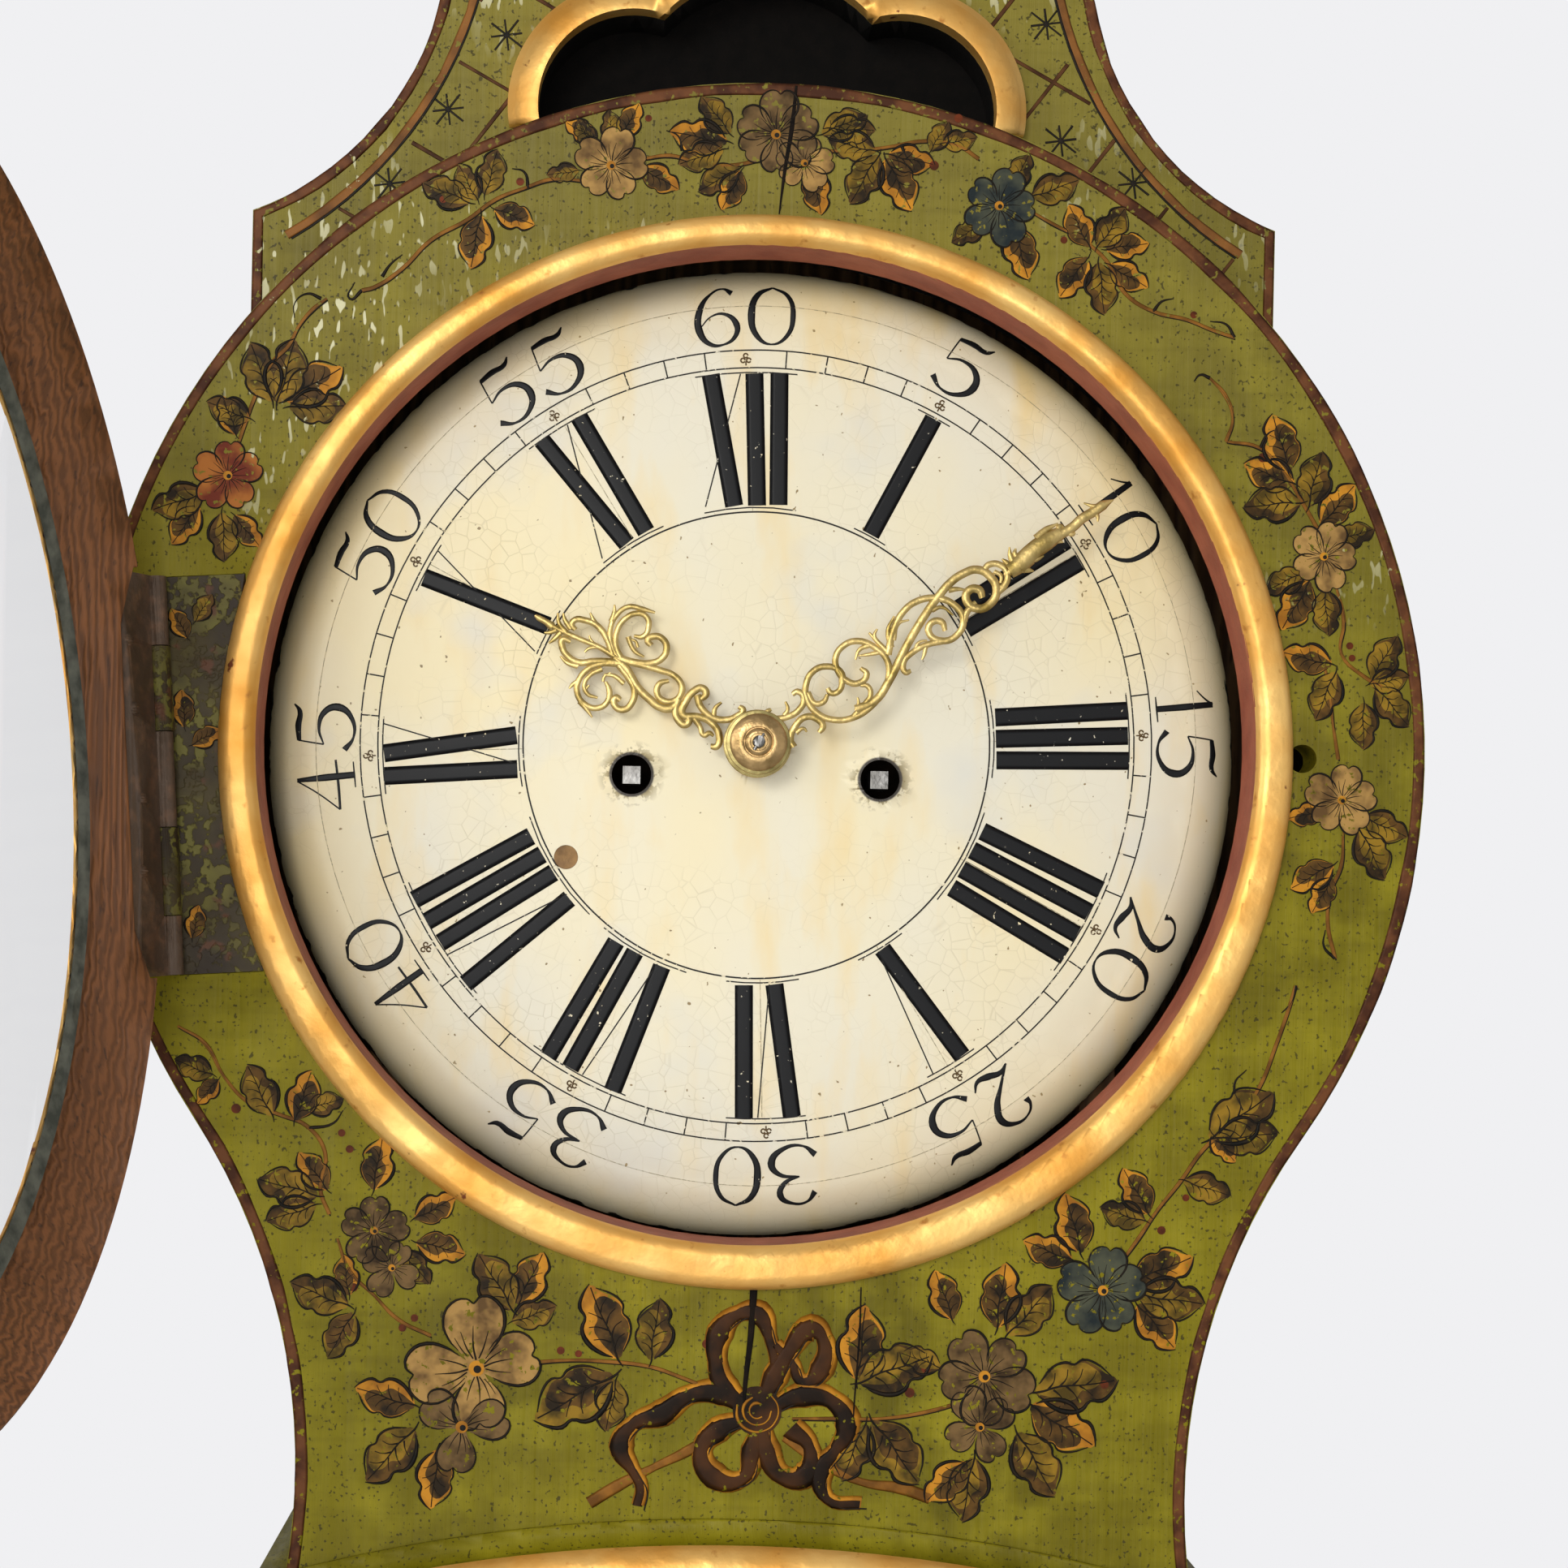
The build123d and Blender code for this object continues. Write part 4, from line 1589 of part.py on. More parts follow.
def great_wheel(x, teeth, turn):
    """Adds a great wheel that turns freely on its barrel's arbor."""
    gear(x, BARREL_Z, teeth, GREAT_MODULE, turn, GREAT_Y, WHEEL_T, WHEEL_FORM)
    crossings(x, BARREL_Z, BARREL_R - RIM_W, GREAT_MODULE * teeth / 2 - 2 * RIM_W, 4, GREAT_Y, WHEEL_T)
    spindle(
        x,
        BARREL_Z,
        [(BARREL_ARBOR_R + PIVOT_GAP, GREAT_Y, GREAT_Y - WHEEL_T)],
        Mode.SUBTRACT,
    )


with BuildPart() as going_great_wheel:
    great_wheel(BARREL_XS[1], GREAT_TEETH, GREAT_DIRECTION)
going_great_wheel.part.label = "going_great_wheel"
export_step(going_great_wheel.part, "parts/going_great_wheel.step")

with BuildPart() as strike_great_wheel:
    great_wheel(BARREL_XS[0], STRIKE_TEETH, 0)
    for pin in range(LIFT_PINS):
        angle = 2 * pi * pin / LIFT_PINS
        pin_x = BARREL_XS[0] + LIFT_PIN_CIRCLE * cos(angle)
        pin_z = BARREL_Z + LIFT_PIN_CIRCLE * sin(angle)
        spindle(pin_x, pin_z, [(LIFT_PIN_R, GREAT_Y + LIFT_PIN_L, GREAT_Y)])
strike_great_wheel.part.label = "strike_great_wheel"
export_step(strike_great_wheel.part, "parts/strike_great_wheel.step")


def barrel(x):
    """Adds a grooved line barrel on its arbor, with the winding square in front."""
    spindle(
        x,
        BARREL_Z,
        [
            (BARREL_ARBOR_R, MOVEMENT_BACK_Y + FIT, WINDING_END_Y + WINDING_L),
            (BARREL_R, BARREL_BACK_Y, BARREL_BACK_Y - BARREL_L),
            (BARREL_FLANGE_R, BARREL_BACK_Y, BARREL_BACK_Y - PLATE_T / 2),
            (BARREL_FLANGE_R, BARREL_BACK_Y - BARREL_L + PLATE_T / 2, BARREL_BACK_Y - BARREL_L),
            (BARREL_R - RIM_W, BARREL_BACK_Y - BARREL_L, GREAT_Y + FIT),
            (BARREL_ARBOR_R * 2, GREAT_Y - WHEEL_T - FIT, PLATE_INNER_Y + FIT),
        ],
    )
    with BuildSketch(facing(WINDING_END_Y + WINDING_L)) as square:
        with Locations((x, BARREL_Z)):
            Rectangle(WINDING_SQUARE, WINDING_SQUARE)
    extrude(square.sketch, amount=WINDING_L)


with BuildPart() as going_barrel:
    barrel(BARREL_XS[1])
going_barrel.part.label = "going_barrel"
export_step(going_barrel.part, "parts/going_barrel.step")

with BuildPart() as strike_barrel:
    barrel(BARREL_XS[0])
strike_barrel.part.label = "strike_barrel"
export_step(strike_barrel.part, "parts/strike_barrel.step")

with BuildPart() as hammer:
    spindle(HAMMER_X, HAMMER_Z, PIVOTED)
    with BuildSketch(facing(BELL_Y + HAMMER_STEM_T / 2)):
        with Locations((HAMMER_X, HAMMER_Z)):
            Circle(HAMMER_STEM_T * 1.5)
            Rectangle(HAMMER_STEM_T, BELL_Z - HAMMER_Z + HAMMER_STEM_T, align=(Align.CENTER, Align.MIN))
        with Locations((HAMMER_X, HAMMER_Z)):
            Rectangle(HAMMER_STEM_T, HAMMER_TAIL, align=(Align.CENTER, Align.MAX))
    extrude(amount=HAMMER_STEM_T)
    with BuildSketch(Plane.YZ.offset(HAMMER_X - HAMMER_HEAD_L / 2)):
        with Locations((BELL_Y, BELL_Z + HAMMER_STEM_T)):
            Circle(HAMMER_HEAD_R)
    extrude(amount=HAMMER_HEAD_L)
hammer.part.label = "hammer"
export_step(hammer.part, "parts/hammer.step")


# ---------------------------------------------------------------- hands
def hand(turn, back_y, outline, piercings, bore_r):
    """Adds a pierced hand: outline and piercings as distance from the arbor and half width."""
    with BuildSketch(facing(back_y)) as blade:
        with Locations(Location((ARBOR_X, ARBOR_Z, 0), (0, 0, turn))):
            Circle(HUB_R)
            Polygon(*[(w, d) for d, w in outline], *[(-w, d) for d, w in reversed(outline)], align=None)
            for along, aside, long_r, wide_r in piercings:
                for side in SIDES:
                    with Locations((side * aside, along)):
                        Ellipse(wide_r, long_r, mode=Mode.SUBTRACT)
            Circle(bore_r, mode=Mode.SUBTRACT)
    extrude(blade.sketch, amount=HAND_T)


with BuildPart() as hour_hand:
    hand(HOUR_TURN, HOUR_HAND_Y, HOUR_OUTLINE, HOUR_PIERCINGS, HOUR_PIPE_R + PIVOT_GAP)
hour_hand.part.label = "hour_hand"
export_step(hour_hand.part, "parts/hour_hand.step")

with BuildPart() as minute_hand:
    hand(MINUTE_TURN, MINUTE_HAND_Y, MINUTE_OUTLINE, MINUTE_PIERCINGS, ARBOR_R + PIVOT_GAP)
minute_hand.part.label = "minute_hand"
export_step(minute_hand.part, "parts/minute_hand.step")

with BuildPart() as hand_washer:
    with BuildSketch(Plane.YZ.offset(ARBOR_X)):
        with BuildLine():
            Line((WASHER_Y, ARBOR_Z + ARBOR_R + PIVOT_GAP), (WASHER_Y, ARBOR_Z + WASHER_R))
            Line((WASHER_Y, ARBOR_Z + WASHER_R), (WASHER_Y - 1, ARBOR_Z + WASHER_R))
            ThreePointArc(
                (WASHER_Y - 1, ARBOR_Z + WASHER_R),
                (WASHER_Y - 0.85 * WASHER_DOME, ARBOR_Z + 0.6 * WASHER_R),
                (WASHER_Y - WASHER_DOME, ARBOR_Z + ARBOR_R + PIVOT_GAP),
            )
            Line(
                (WASHER_Y - WASHER_DOME, ARBOR_Z + ARBOR_R + PIVOT_GAP),
                (WASHER_Y, ARBOR_Z + ARBOR_R + PIVOT_GAP),
            )
        make_face()
    revolve(axis=Axis((ARBOR_X, 0, ARBOR_Z), (0, 1, 0)))
    # taper pin through the arbor's end
    with BuildSketch(PIN_PLANE):
        Circle(PIN_R)
    extrude(amount=PIN_L / 2, both=True)
hand_washer.part.label = "hand_washer"
export_step(hand_washer.part, "parts/hand_washer.step")

# ---------------------------------------------------------------- pendulum
with BuildPart() as pendulum_rod:
    spindle(ARBOR_X, PALLET_Z, [(PIVOT_R, PENDULUM_Y + COCK_REACH + FIT, COCK_ROOMS[1][0] + FIT)])
    with BuildSketch(flat(PALLET_Z - SPRING_L)):
        with Locations((ARBOR_X, PENDULUM_Y)):
            Rectangle(SPRING_T, SPRING_W)
    extrude(amount=SPRING_L)
    with BuildSketch(flat(PALLET_Z - SPRING_L)):
        with Locations((ARBOR_X, PENDULUM_Y)):
            Rectangle(2 * ROD_R, SPRING_W)
    extrude(amount=SPRING_W)
    with BuildSketch(flat(BOB_Z - BOB_R - NUT_H - ROD_PAST)):
        with Locations((ARBOR_X, PENDULUM_Y)):
            Circle(ROD_R)
    extrude(amount=PALLET_Z - SPRING_L - (BOB_Z - BOB_R - NUT_H - ROD_PAST))
pendulum_rod.part.label = "pendulum_rod"
export_step(pendulum_rod.part, "parts/pendulum_rod.step")

with BuildPart() as pendulum_bob:
    with BuildSketch(Plane.XY):
        with BuildLine():
            ThreePointArc((0, -BOB_T / 2), (BOB_R * 0.6, -BOB_T * 0.40), (BOB_R, -BOB_EDGE / 2))
            Line((BOB_R, -BOB_EDGE / 2), (BOB_R, BOB_EDGE / 2))
            ThreePointArc((BOB_R, BOB_EDGE / 2), (BOB_R * 0.6, BOB_T * 0.40), (0, BOB_T / 2))
            Line((0, BOB_T / 2), (0, -BOB_T / 2))
        make_face()
    revolve(axis=Axis.Y)
    with BuildSketch(flat(-BOB_R * 1.1)):
        Circle(ROD_R + PIVOT_GAP)
    extrude(amount=BOB_R * 2.2, mode=Mode.SUBTRACT)
pendulum_bob.part = pendulum_bob.part.translate((ARBOR_X, PENDULUM_Y, BOB_Z))
pendulum_bob.part.label = "pendulum_bob"
export_step(pendulum_bob.part, "parts/pendulum_bob.step")

with BuildPart() as rating_nut:
    with BuildSketch(flat(BOB_Z - BOB_R - NUT_H)):
        with Locations((ARBOR_X, PENDULUM_Y)):
            RegularPolygon(NUT_R, 6)
            Circle(ROD_R + PIVOT_GAP, mode=Mode.SUBTRACT)
    extrude(amount=NUT_H)
rating_nut.part.label = "rating_nut"
export_step(rating_nut.part, "parts/rating_nut.step")


# ---------------------------------------------------------------- weights, pulleys and lines
def weight(x):
    """Adds a weight, the stirrup its pulley runs in, and the bight of line under the pulley."""
    with BuildSketch(flat(WEIGHT_Z)) as base:
        with Locations((x, LINE_Y)):
            Circle(WEIGHT_R)
    extrude(base.sketch, amount=WEIGHT_L)
    with BuildSketch(flat(WEIGHT_Z + WEIGHT_L)) as neck:
        with Locations((x, LINE_Y)):
            Circle(STIRRUP_W / 2)
    extrude(neck.sketch, amount=STIRRUP_RISE - PULLEY_FLANGE_R - 3 * STIRRUP_T)
    foot_z = PULLEY_Z - PULLEY_FLANGE_R - 3 * STIRRUP_T
    with BuildSketch(flat(foot_z)) as bridge:
        with Locations((x, LINE_Y)):
            Rectangle(STIRRUP_W, PULLEY_T + 2 * STIRRUP_T + 2 * FIT)
    extrude(bridge.sketch, amount=STIRRUP_T)
    for side in SIDES:
        with BuildSketch(flat(foot_z)) as strap:
            with Locations((x, LINE_Y + side * (PULLEY_T / 2 + FIT + STIRRUP_T / 2))):
                Rectangle(STIRRUP_W, STIRRUP_T)
        extrude(strap.sketch, amount=PULLEY_Z + STIRRUP_W / 2 - foot_z)
    half = PULLEY_T / 2 + FIT + STIRRUP_T
    spindle(x, PULLEY_Z, [(PULLEY_PIN_R, LINE_Y + half, LINE_Y - half)])
    with BuildSketch(Plane.XZ.offset(-LINE_Y)) as bight:
        with BuildLine():
            ThreePointArc(
                (x - PULLEY_R - LINE_R, PULLEY_Z),
                (x, PULLEY_Z - PULLEY_R - LINE_R),
                (x + PULLEY_R + LINE_R, PULLEY_Z),
            )
            Line((x + PULLEY_R + LINE_R, PULLEY_Z), (x - PULLEY_R - LINE_R, PULLEY_Z))
        make_face()
    bight_path = bight.sketch.edges().filter_by(GeomType.CIRCLE)[0]
    with BuildSketch(flat(PULLEY_Z)) as strand:
        with Locations((x - PULLEY_R - LINE_R, LINE_Y)):
            Circle(LINE_R)
    sweep(strand.sketch, path=bight_path)


with BuildPart() as going_weight:
    weight(PULLEY_XS[1])
going_weight.part.label = "going_weight"
export_step(going_weight.part, "parts/going_weight.step")

with BuildPart() as strike_weight:
    weight(PULLEY_XS[0])
strike_weight.part.label = "strike_weight"
export_step(strike_weight.part, "parts/strike_weight.step")


def pulley(x):
    """Adds a grooved pulley on its pin."""
    groove = PULLEY_T / 2 - LINE_R - FIT
    spindle(
        x,
        PULLEY_Z,
        [
            (PULLEY_R - FIT, LINE_Y + PULLEY_T / 2, LINE_Y - PULLEY_T / 2),
            (PULLEY_FLANGE_R, LINE_Y + PULLEY_T / 2, LINE_Y + PULLEY_T / 2 - groove),
            (PULLEY_FLANGE_R, LINE_Y - PULLEY_T / 2 + groove, LINE_Y - PULLEY_T / 2),
        ],
    )
    spindle(
        x,
        PULLEY_Z,
        [(PULLEY_PIN_R + PIVOT_GAP, LINE_Y + PULLEY_T / 2, LINE_Y - PULLEY_T / 2)],
        Mode.SUBTRACT,
    )


with BuildPart() as going_pulley:
    pulley(PULLEY_XS[1])
going_pulley.part.label = "going_pulley"
export_step(going_pulley.part, "parts/going_pulley.step")

with BuildPart() as strike_pulley:
    pulley(PULLEY_XS[0])
strike_pulley.part.label = "strike_pulley"
export_step(strike_pulley.part, "parts/strike_pulley.step")


def strands(x):
    """Adds the two straight runs of line above a pulley, up to the seatboard."""
    for side in SIDES:
        with BuildSketch(flat(PULLEY_Z)) as strand:
            with Locations((x + side * (PULLEY_R + LINE_R), LINE_Y)):
                Circle(LINE_R)
        extrude(strand.sketch, amount=SEAT_Z - PULLEY_Z)


with BuildPart() as going_line:
    strands(PULLEY_XS[1])
going_line.part.label = "going_line"
export_step(going_line.part, "parts/going_line.step")

with BuildPart() as strike_line:
    strands(PULLEY_XS[0])
strike_line.part.label = "strike_line"
export_step(strike_line.part, "parts/strike_line.step")
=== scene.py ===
"""Dresses the painted floor clock: paint, gilding, dial, hands, brass and iron over the frame's nodes."""

import json
import math
import random

import bpy
from mathutils import Matrix, Vector


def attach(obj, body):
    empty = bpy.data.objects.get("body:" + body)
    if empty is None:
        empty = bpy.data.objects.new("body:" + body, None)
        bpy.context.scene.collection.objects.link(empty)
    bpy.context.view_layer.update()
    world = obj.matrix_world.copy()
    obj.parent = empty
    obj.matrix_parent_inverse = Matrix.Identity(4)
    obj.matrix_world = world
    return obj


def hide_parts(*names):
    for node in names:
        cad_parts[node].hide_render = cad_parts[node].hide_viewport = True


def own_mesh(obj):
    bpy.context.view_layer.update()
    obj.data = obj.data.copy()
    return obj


MM = 0.001
HEAD_Z = 1850.0  # centre of the round head
BOARD_Y = -140.0  # front of the head board
CREST_Y = -120.0  # front of the crest board
TRUNK_Y = -118.0  # front of the trunk and its door
BASE_Y = -136.0  # front of the base
ARBOR = (1.5, 4.4)  # the hands' arbor, from the head's centre
ARBOR_Z = HEAD_Z + ARBOR[1]
WINDING_X = (-47.8, 50.8)  # the strike's and the going train's winding arbors
WINDING_Z = 1841.7
DIAL_Z = HEAD_Z + 2.0  # the dial sits a little above the head's centre
RING_RISE = 2.7  # and so does the gilt ring
DIAL_Y = -117.0  # crown of the dial
DIAL_TURN = 2.7  # the dial was painted a little anticlockwise
FACING = Matrix.Rotation(math.radians(90), 4, "X")  # stands a flat drawing up, facing the viewer

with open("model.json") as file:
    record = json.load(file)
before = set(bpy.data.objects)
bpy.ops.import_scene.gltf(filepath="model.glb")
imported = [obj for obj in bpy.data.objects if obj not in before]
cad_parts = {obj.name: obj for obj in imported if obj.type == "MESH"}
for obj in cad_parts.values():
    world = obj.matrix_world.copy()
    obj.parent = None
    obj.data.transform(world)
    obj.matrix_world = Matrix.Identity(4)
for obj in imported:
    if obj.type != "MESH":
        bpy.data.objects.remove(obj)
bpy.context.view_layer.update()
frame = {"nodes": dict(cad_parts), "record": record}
dice = random.Random(7)


# ---------------------------------------------------------------- finishes
def colour(code):
    """An sRGB hex colour as linear values."""
    channels = [int(code[i : i + 2], 16) / 255 for i in (1, 3, 5)]
    return [c / 12.92 if c <= 0.04045 else ((c + 0.055) / 1.055) ** 2.4 for c in channels] + [1.0]


def add(tree, kind, inputs=(), **settings):
    """Adds a node with its settings; inputs are values, or the sockets that feed it."""
    node = tree.nodes.new(kind)
    for name, value in settings.items():
        setattr(node, name, value)
    for name, value in dict(inputs).items():
        if isinstance(value, bpy.types.NodeSocket):
            tree.links.new(value, node.inputs[name])
        elif isinstance(value, str):
            node.inputs[name].default_value = colour(value)
        else:
            node.inputs[name].default_value = value
    return node


def start(name):
    """A new finish: its material, its node tree and the place on the object."""
    made = bpy.data.materials.new(name)
    made.use_nodes = True
    made.node_tree.nodes.clear()
    return made, made.node_tree, add(made.node_tree, "ShaderNodeTexCoord").outputs["Object"]


def end(made, tree, base, roughness, height=None, depth=0.0, **sockets):
    """Closes a finish with one shader, bumped by height up to depth in metres."""
    shader = add(tree, "ShaderNodeBsdfPrincipled", {"Base Color": base, "Roughness": roughness})
    for name, value in sockets.items():
        shader.inputs[name.replace("_", " ")].default_value = value
    if height is not None:
        bump = add(tree, "ShaderNodeBump", {"Height": height, "Distance": depth})
        tree.links.new(bump.outputs[0], shader.inputs["Normal"])
    add(tree, "ShaderNodeOutputMaterial", {"Surface": shader.outputs[0]})
    return made


def speckle(tree, place, scale, low, high, stretch=(1, 1, 1), detail=3.0):
    """0 to 1 where a noise of that scale, per metre, climbs from low to high."""
    laid = add(tree, "ShaderNodeMapping", {"Vector": place, "Scale": stretch}).outputs[0]
    noise = add(tree, "ShaderNodeTexNoise", {"Vector": laid, "Scale": scale, "Detail": detail}).outputs["Fac"]
    return add(tree, "ShaderNodeMapRange", {"Value": noise, "From Min": low, "From Max": high}).outputs[0]


def layered(tree, ground, *coats):
    """Coats laid over a ground: each gives its shares, which are multiplied, and then its colour."""
    for *shares, coat in coats:
        share = shares[0]
        for other in shares[1:]:
            share = add(tree, "ShaderNodeMath", {0: share, 1: other}, operation="MULTIPLY").outputs[0]
        ground = add(tree, "ShaderNodeMixRGB", {"Fac": share, "Color1": ground, "Color2": coat}).outputs[0]
    return ground


def span(value, low, high, start_at=0.0, end_at=1.0):
    """The settings that take a value climbing from low to high to one going from start_at to end_at."""
    return {"Value": value, "From Min": low, "From Max": high, "To Min": start_at, "To Max": end_at}


def distance_from(tree, place, x, z):
    """How far a spot is, in metres, from an axis that runs from front to back at that x and z in mm."""
    moved = {"Vector": place, "Location": (-x * MM, 0, -z * MM), "Scale": (1, 0, 1)}
    moved = add(tree, "ShaderNodeMapping", moved).outputs[0]
    return add(tree, "ShaderNodeVectorMath", {"Vector": moved}, operation="LENGTH").outputs["Value"]


def green_ground(tree, place):
    """Two-hundred-year-old olive oil paint: cloudy, dirt in its pores, and pale drips high on the case."""
    high = add(tree, "ShaderNodeSeparateXYZ", {"Vector": place}).outputs["Z"]
    greyer_higher = add(tree, "ShaderNodeMapRange", span(high, 1.80, 2.10, 0.0, 0.6)).outputs[0]
    above = add(tree, "ShaderNodeMapRange", span(high, 1.90, 1.97)).outputs[0]
    drips = speckle(tree, place, 430, 0.64, 0.67, (1, 1, 0.3), 0.5)
    # the drips lie high up and mostly at the left
    splashed = speckle(tree, place, 6.3, 0.50, 0.58, (-1, 1, 1))
    return layered(
        tree,
        "#5E5605",
        (speckle(tree, place, 7, 0.35, 0.65), "#7C720A"),
        (speckle(tree, place, 45, 0.40, 0.75), "#8C8216"),
        # the paint turns greyer higher up, from 1.80 m to 2.10 m
        (greyer_higher, "#7E7338"),
        # brush marks run across the head board
        (speckle(tree, place, 60, 0.45, 0.8, (0.25, 1, 4), 4), 0.25, "#48400A"),
        # pores about 1 mm wide, drawn a little coarser than real so that they show
        (speckle(tree, place, 620, 0.64, 0.70, detail=1), 0.75, "#2A2410"),
        (drips, splashed, above, "#CFCBA4"),
    )


def oil_painted_green():
    """Oil paint on pine: a dull sheen, the grain and its brush marks telegraph through."""
    made, tree, place = start("oil_painted_green")
    grain = speckle(tree, place, 90, 0.3, 0.7, (4, 1, 0.12), 4)
    gloss = add(tree, "ShaderNodeMapRange", span(grain, 0.0, 1.0, 0.42, 0.58)).outputs[0]
    return end(made, tree, green_ground(tree, place), gloss, grain, 0.0002, Specular_IOR_Level=0.16)


def thin_paint(name, deep, light, grain=120, wear=0.63):
    """Thin artist's colour over the green ground, rubbed through where the ground shows."""
    made, tree, place = start(name)
    rubbed = speckle(tree, place, 380, wear, wear + 0.04, detail=4)
    tone = layered(
        tree, deep, (speckle(tree, place, grain, 0.38, 0.62), light), (rubbed, green_ground(tree, place))
    )
    return end(made, tree, tone, 0.5, Specular_IOR_Level=0.12)


def burnished_gilding():
    """Water gilding on red bole and chalk: warm, half-matt leaf, rubbed red on its edges."""
    made, tree, place = start("burnished_gilding")
    leaf = layered(
        tree,
        "#F0C272",
        (speckle(tree, place, 30, 0.35, 0.7), "#D8993F"),
        (speckle(tree, place, 170, 0.64, 0.76, detail=5), "#BC7C36"),
        (speckle(tree, place, 95, 0.70, 0.73, detail=6), "#7C3F24"),
    )
    polish = speckle(tree, place, 60, 0.3, 0.7)
    gloss = add(tree, "ShaderNodeMapRange", span(polish, 0.0, 1.0, 0.38, 0.52)).outputs[0]
    return end(made, tree, leaf, gloss, speckle(tree, place, 55, 0.2, 0.8, detail=5), 0.0007, Metallic=0.65)


def red_bole():
    """Bare red clay ground, smooth and dull."""
    made, tree, place = start("red_bole")
    tone = layered(tree, "#8A3B27", (speckle(tree, place, 60, 0.35, 0.7), "#A5553C"))
    return end(made, tree, tone, 0.55, speckle(tree, place, 200, 0.3, 0.7), 0.0002)


def painted_leaf():
    """The hinge's broad leaf: green paint gone dark, flaked down to brown iron."""
    made, tree, place = start("flaked_paint_on_iron")
    flakes = speckle(tree, place, 260, 0.49, 0.54, detail=5)
    tone = layered(
        tree,
        "#2F2415",
        (speckle(tree, place, 40, 0.35, 0.65, detail=4), "#4A3F1E"),
        (flakes, speckle(tree, place, 34, 0.42, 0.6), "#6A6426"),
        (speckle(tree, place, 120, 0.62, 0.70, detail=4), "#5A3822"),
    )
    return end(made, tree, tone, 0.55, flakes, 0.0002, Specular_IOR_Level=0.3)


def dial_cream(tree, place):
    """Cream oil paint on iron, yellowed in clouds, finely crackled, chipped black at its rim."""
    cells = {"Vector": place, "Scale": 150.0, "Randomness": 1.0}
    cells = add(tree, "ShaderNodeTexVoronoi", cells, feature="DISTANCE_TO_EDGE").outputs["Distance"]
    seams = add(tree, "ShaderNodeMapRange", span(cells, 0.0, 0.03, 0.26, 0.0)).outputs[0]
    crackle = {0: seams, 1: speckle(tree, place, 16, 0.42, 0.6)}
    crackle = add(tree, "ShaderNodeMath", crackle, operation="MULTIPLY").outputs[0]
    # the rim's dirt, painted shade and chips follow a ragged circle
    rough = add(tree, "ShaderNodeTexNoise", {"Vector": place, "Scale": 90.0, "Detail": 5.0}).outputs["Fac"]
    ragged = add(tree, "ShaderNodeMapRange", span(rough, 0.3, 0.7, -0.0014, 0.0014)).outputs[0]
    edge = {0: distance_from(tree, place, 0, DIAL_Z), 1: ragged}
    edge = add(tree, "ShaderNodeMath", edge, operation="ADD").outputs[0]
    # the cream darkens and warms towards the rim: partly dirt, partly painted shade under the gilt ring and a
    # painted warm reflection of its gilding
    dirt = add(tree, "ShaderNodeMapRange", span(edge, 0.160, 0.19, 0.0, 0.4)).outputs[0]
    chips = add(tree, "ShaderNodeMapRange", span(edge, 0.1941, 0.1945)).outputs[0]
    cream = layered(
        tree,
        "#E3DDC8",
        (speckle(tree, place, 9, 0.42, 0.62, (1, 1, 0.55)), "#EBDDB2"),
        (speckle(tree, place, 26, 0.52, 0.78, (1.6, 1, 0.5), 4), "#E8CF94"),
        (speckle(tree, place, 13, 0.58, 0.72), "#D8D6CB"),
        (crackle, "#A89A78"),
        (speckle(tree, place, 420, 0.76, 0.79, detail=1), "#8B7548"),
        (dirt, "#D2B97E"),
        (chips, "#1D1813"),
    )
    # keys have worn a dirty ring, and bare iron at its edge, round each winding hole
    for x in WINDING_X:
        near = distance_from(tree, place, x, WINDING_Z)
        halo = add(tree, "ShaderNodeMapRange", span(near, 0.0092, 0.0140, 0.8, 0.0)).outputs[0]
        bare = add(tree, "ShaderNodeMapRange", span(near, 0.0086, 0.0092, 1.0, 0.0)).outputs[0]
        worn = speckle(tree, place, 330, 0.5, 0.56, detail=4)
        cream = layered(tree, cream, (halo, worn, "#8C7C50"), (bare, "#4B4640"))
    return cream, crackle


def dial_paint():
    made, tree, place = start("crackled_cream_paint")
    cream, crackle = dial_cream(tree, place)
    return end(made, tree, cream, 0.42, crackle, -0.0002)


def dial_ink(name, tone, wear):
    """Black numeral paint, rubbed so that flecks of cream show through."""
    made, tree, place = start(name)
    cream, _ = dial_cream(tree, place)
    rubbed = speckle(tree, place, 520, wear, wear + 0.03, detail=5)
    return end(made, tree, layered(tree, tone, (rubbed, cream)), 0.45, Specular_IOR_Level=0.2)


def brass(name, bright, dull, roughness, metallic=1.0):
    """Worked brass: warm, its hollows dulled by old lacquer and dirt."""
    made, tree, place = start(name)
    tone = layered(tree, bright, (speckle(tree, place, 140, 0.38, 0.7, detail=4), dull))
    polish = speckle(tree, place, 240, 0.3, 0.7)
    gloss = span(polish, 0.0, 1.0, roughness - 0.05, roughness + 0.1)
    gloss = add(tree, "ShaderNodeMapRange", gloss).outputs[0]
    return end(made, tree, tone, gloss, speckle(tree, place, 420, 0.3, 0.7), 0.0001, Metallic=metallic)


def iron(name, deep, rust, roughness, metallic):
    """Hammered iron: dark scale with brown rust in its hollows."""
    made, tree, place = start(name)
    tone = layered(tree, deep, (speckle(tree, place, 160, 0.48, 0.7, detail=5), rust))
    hammered = speckle(tree, place, 190, 0.3, 0.7, detail=5)
    return end(made, tree, tone, roughness, hammered, 0.0004, Metallic=metallic)


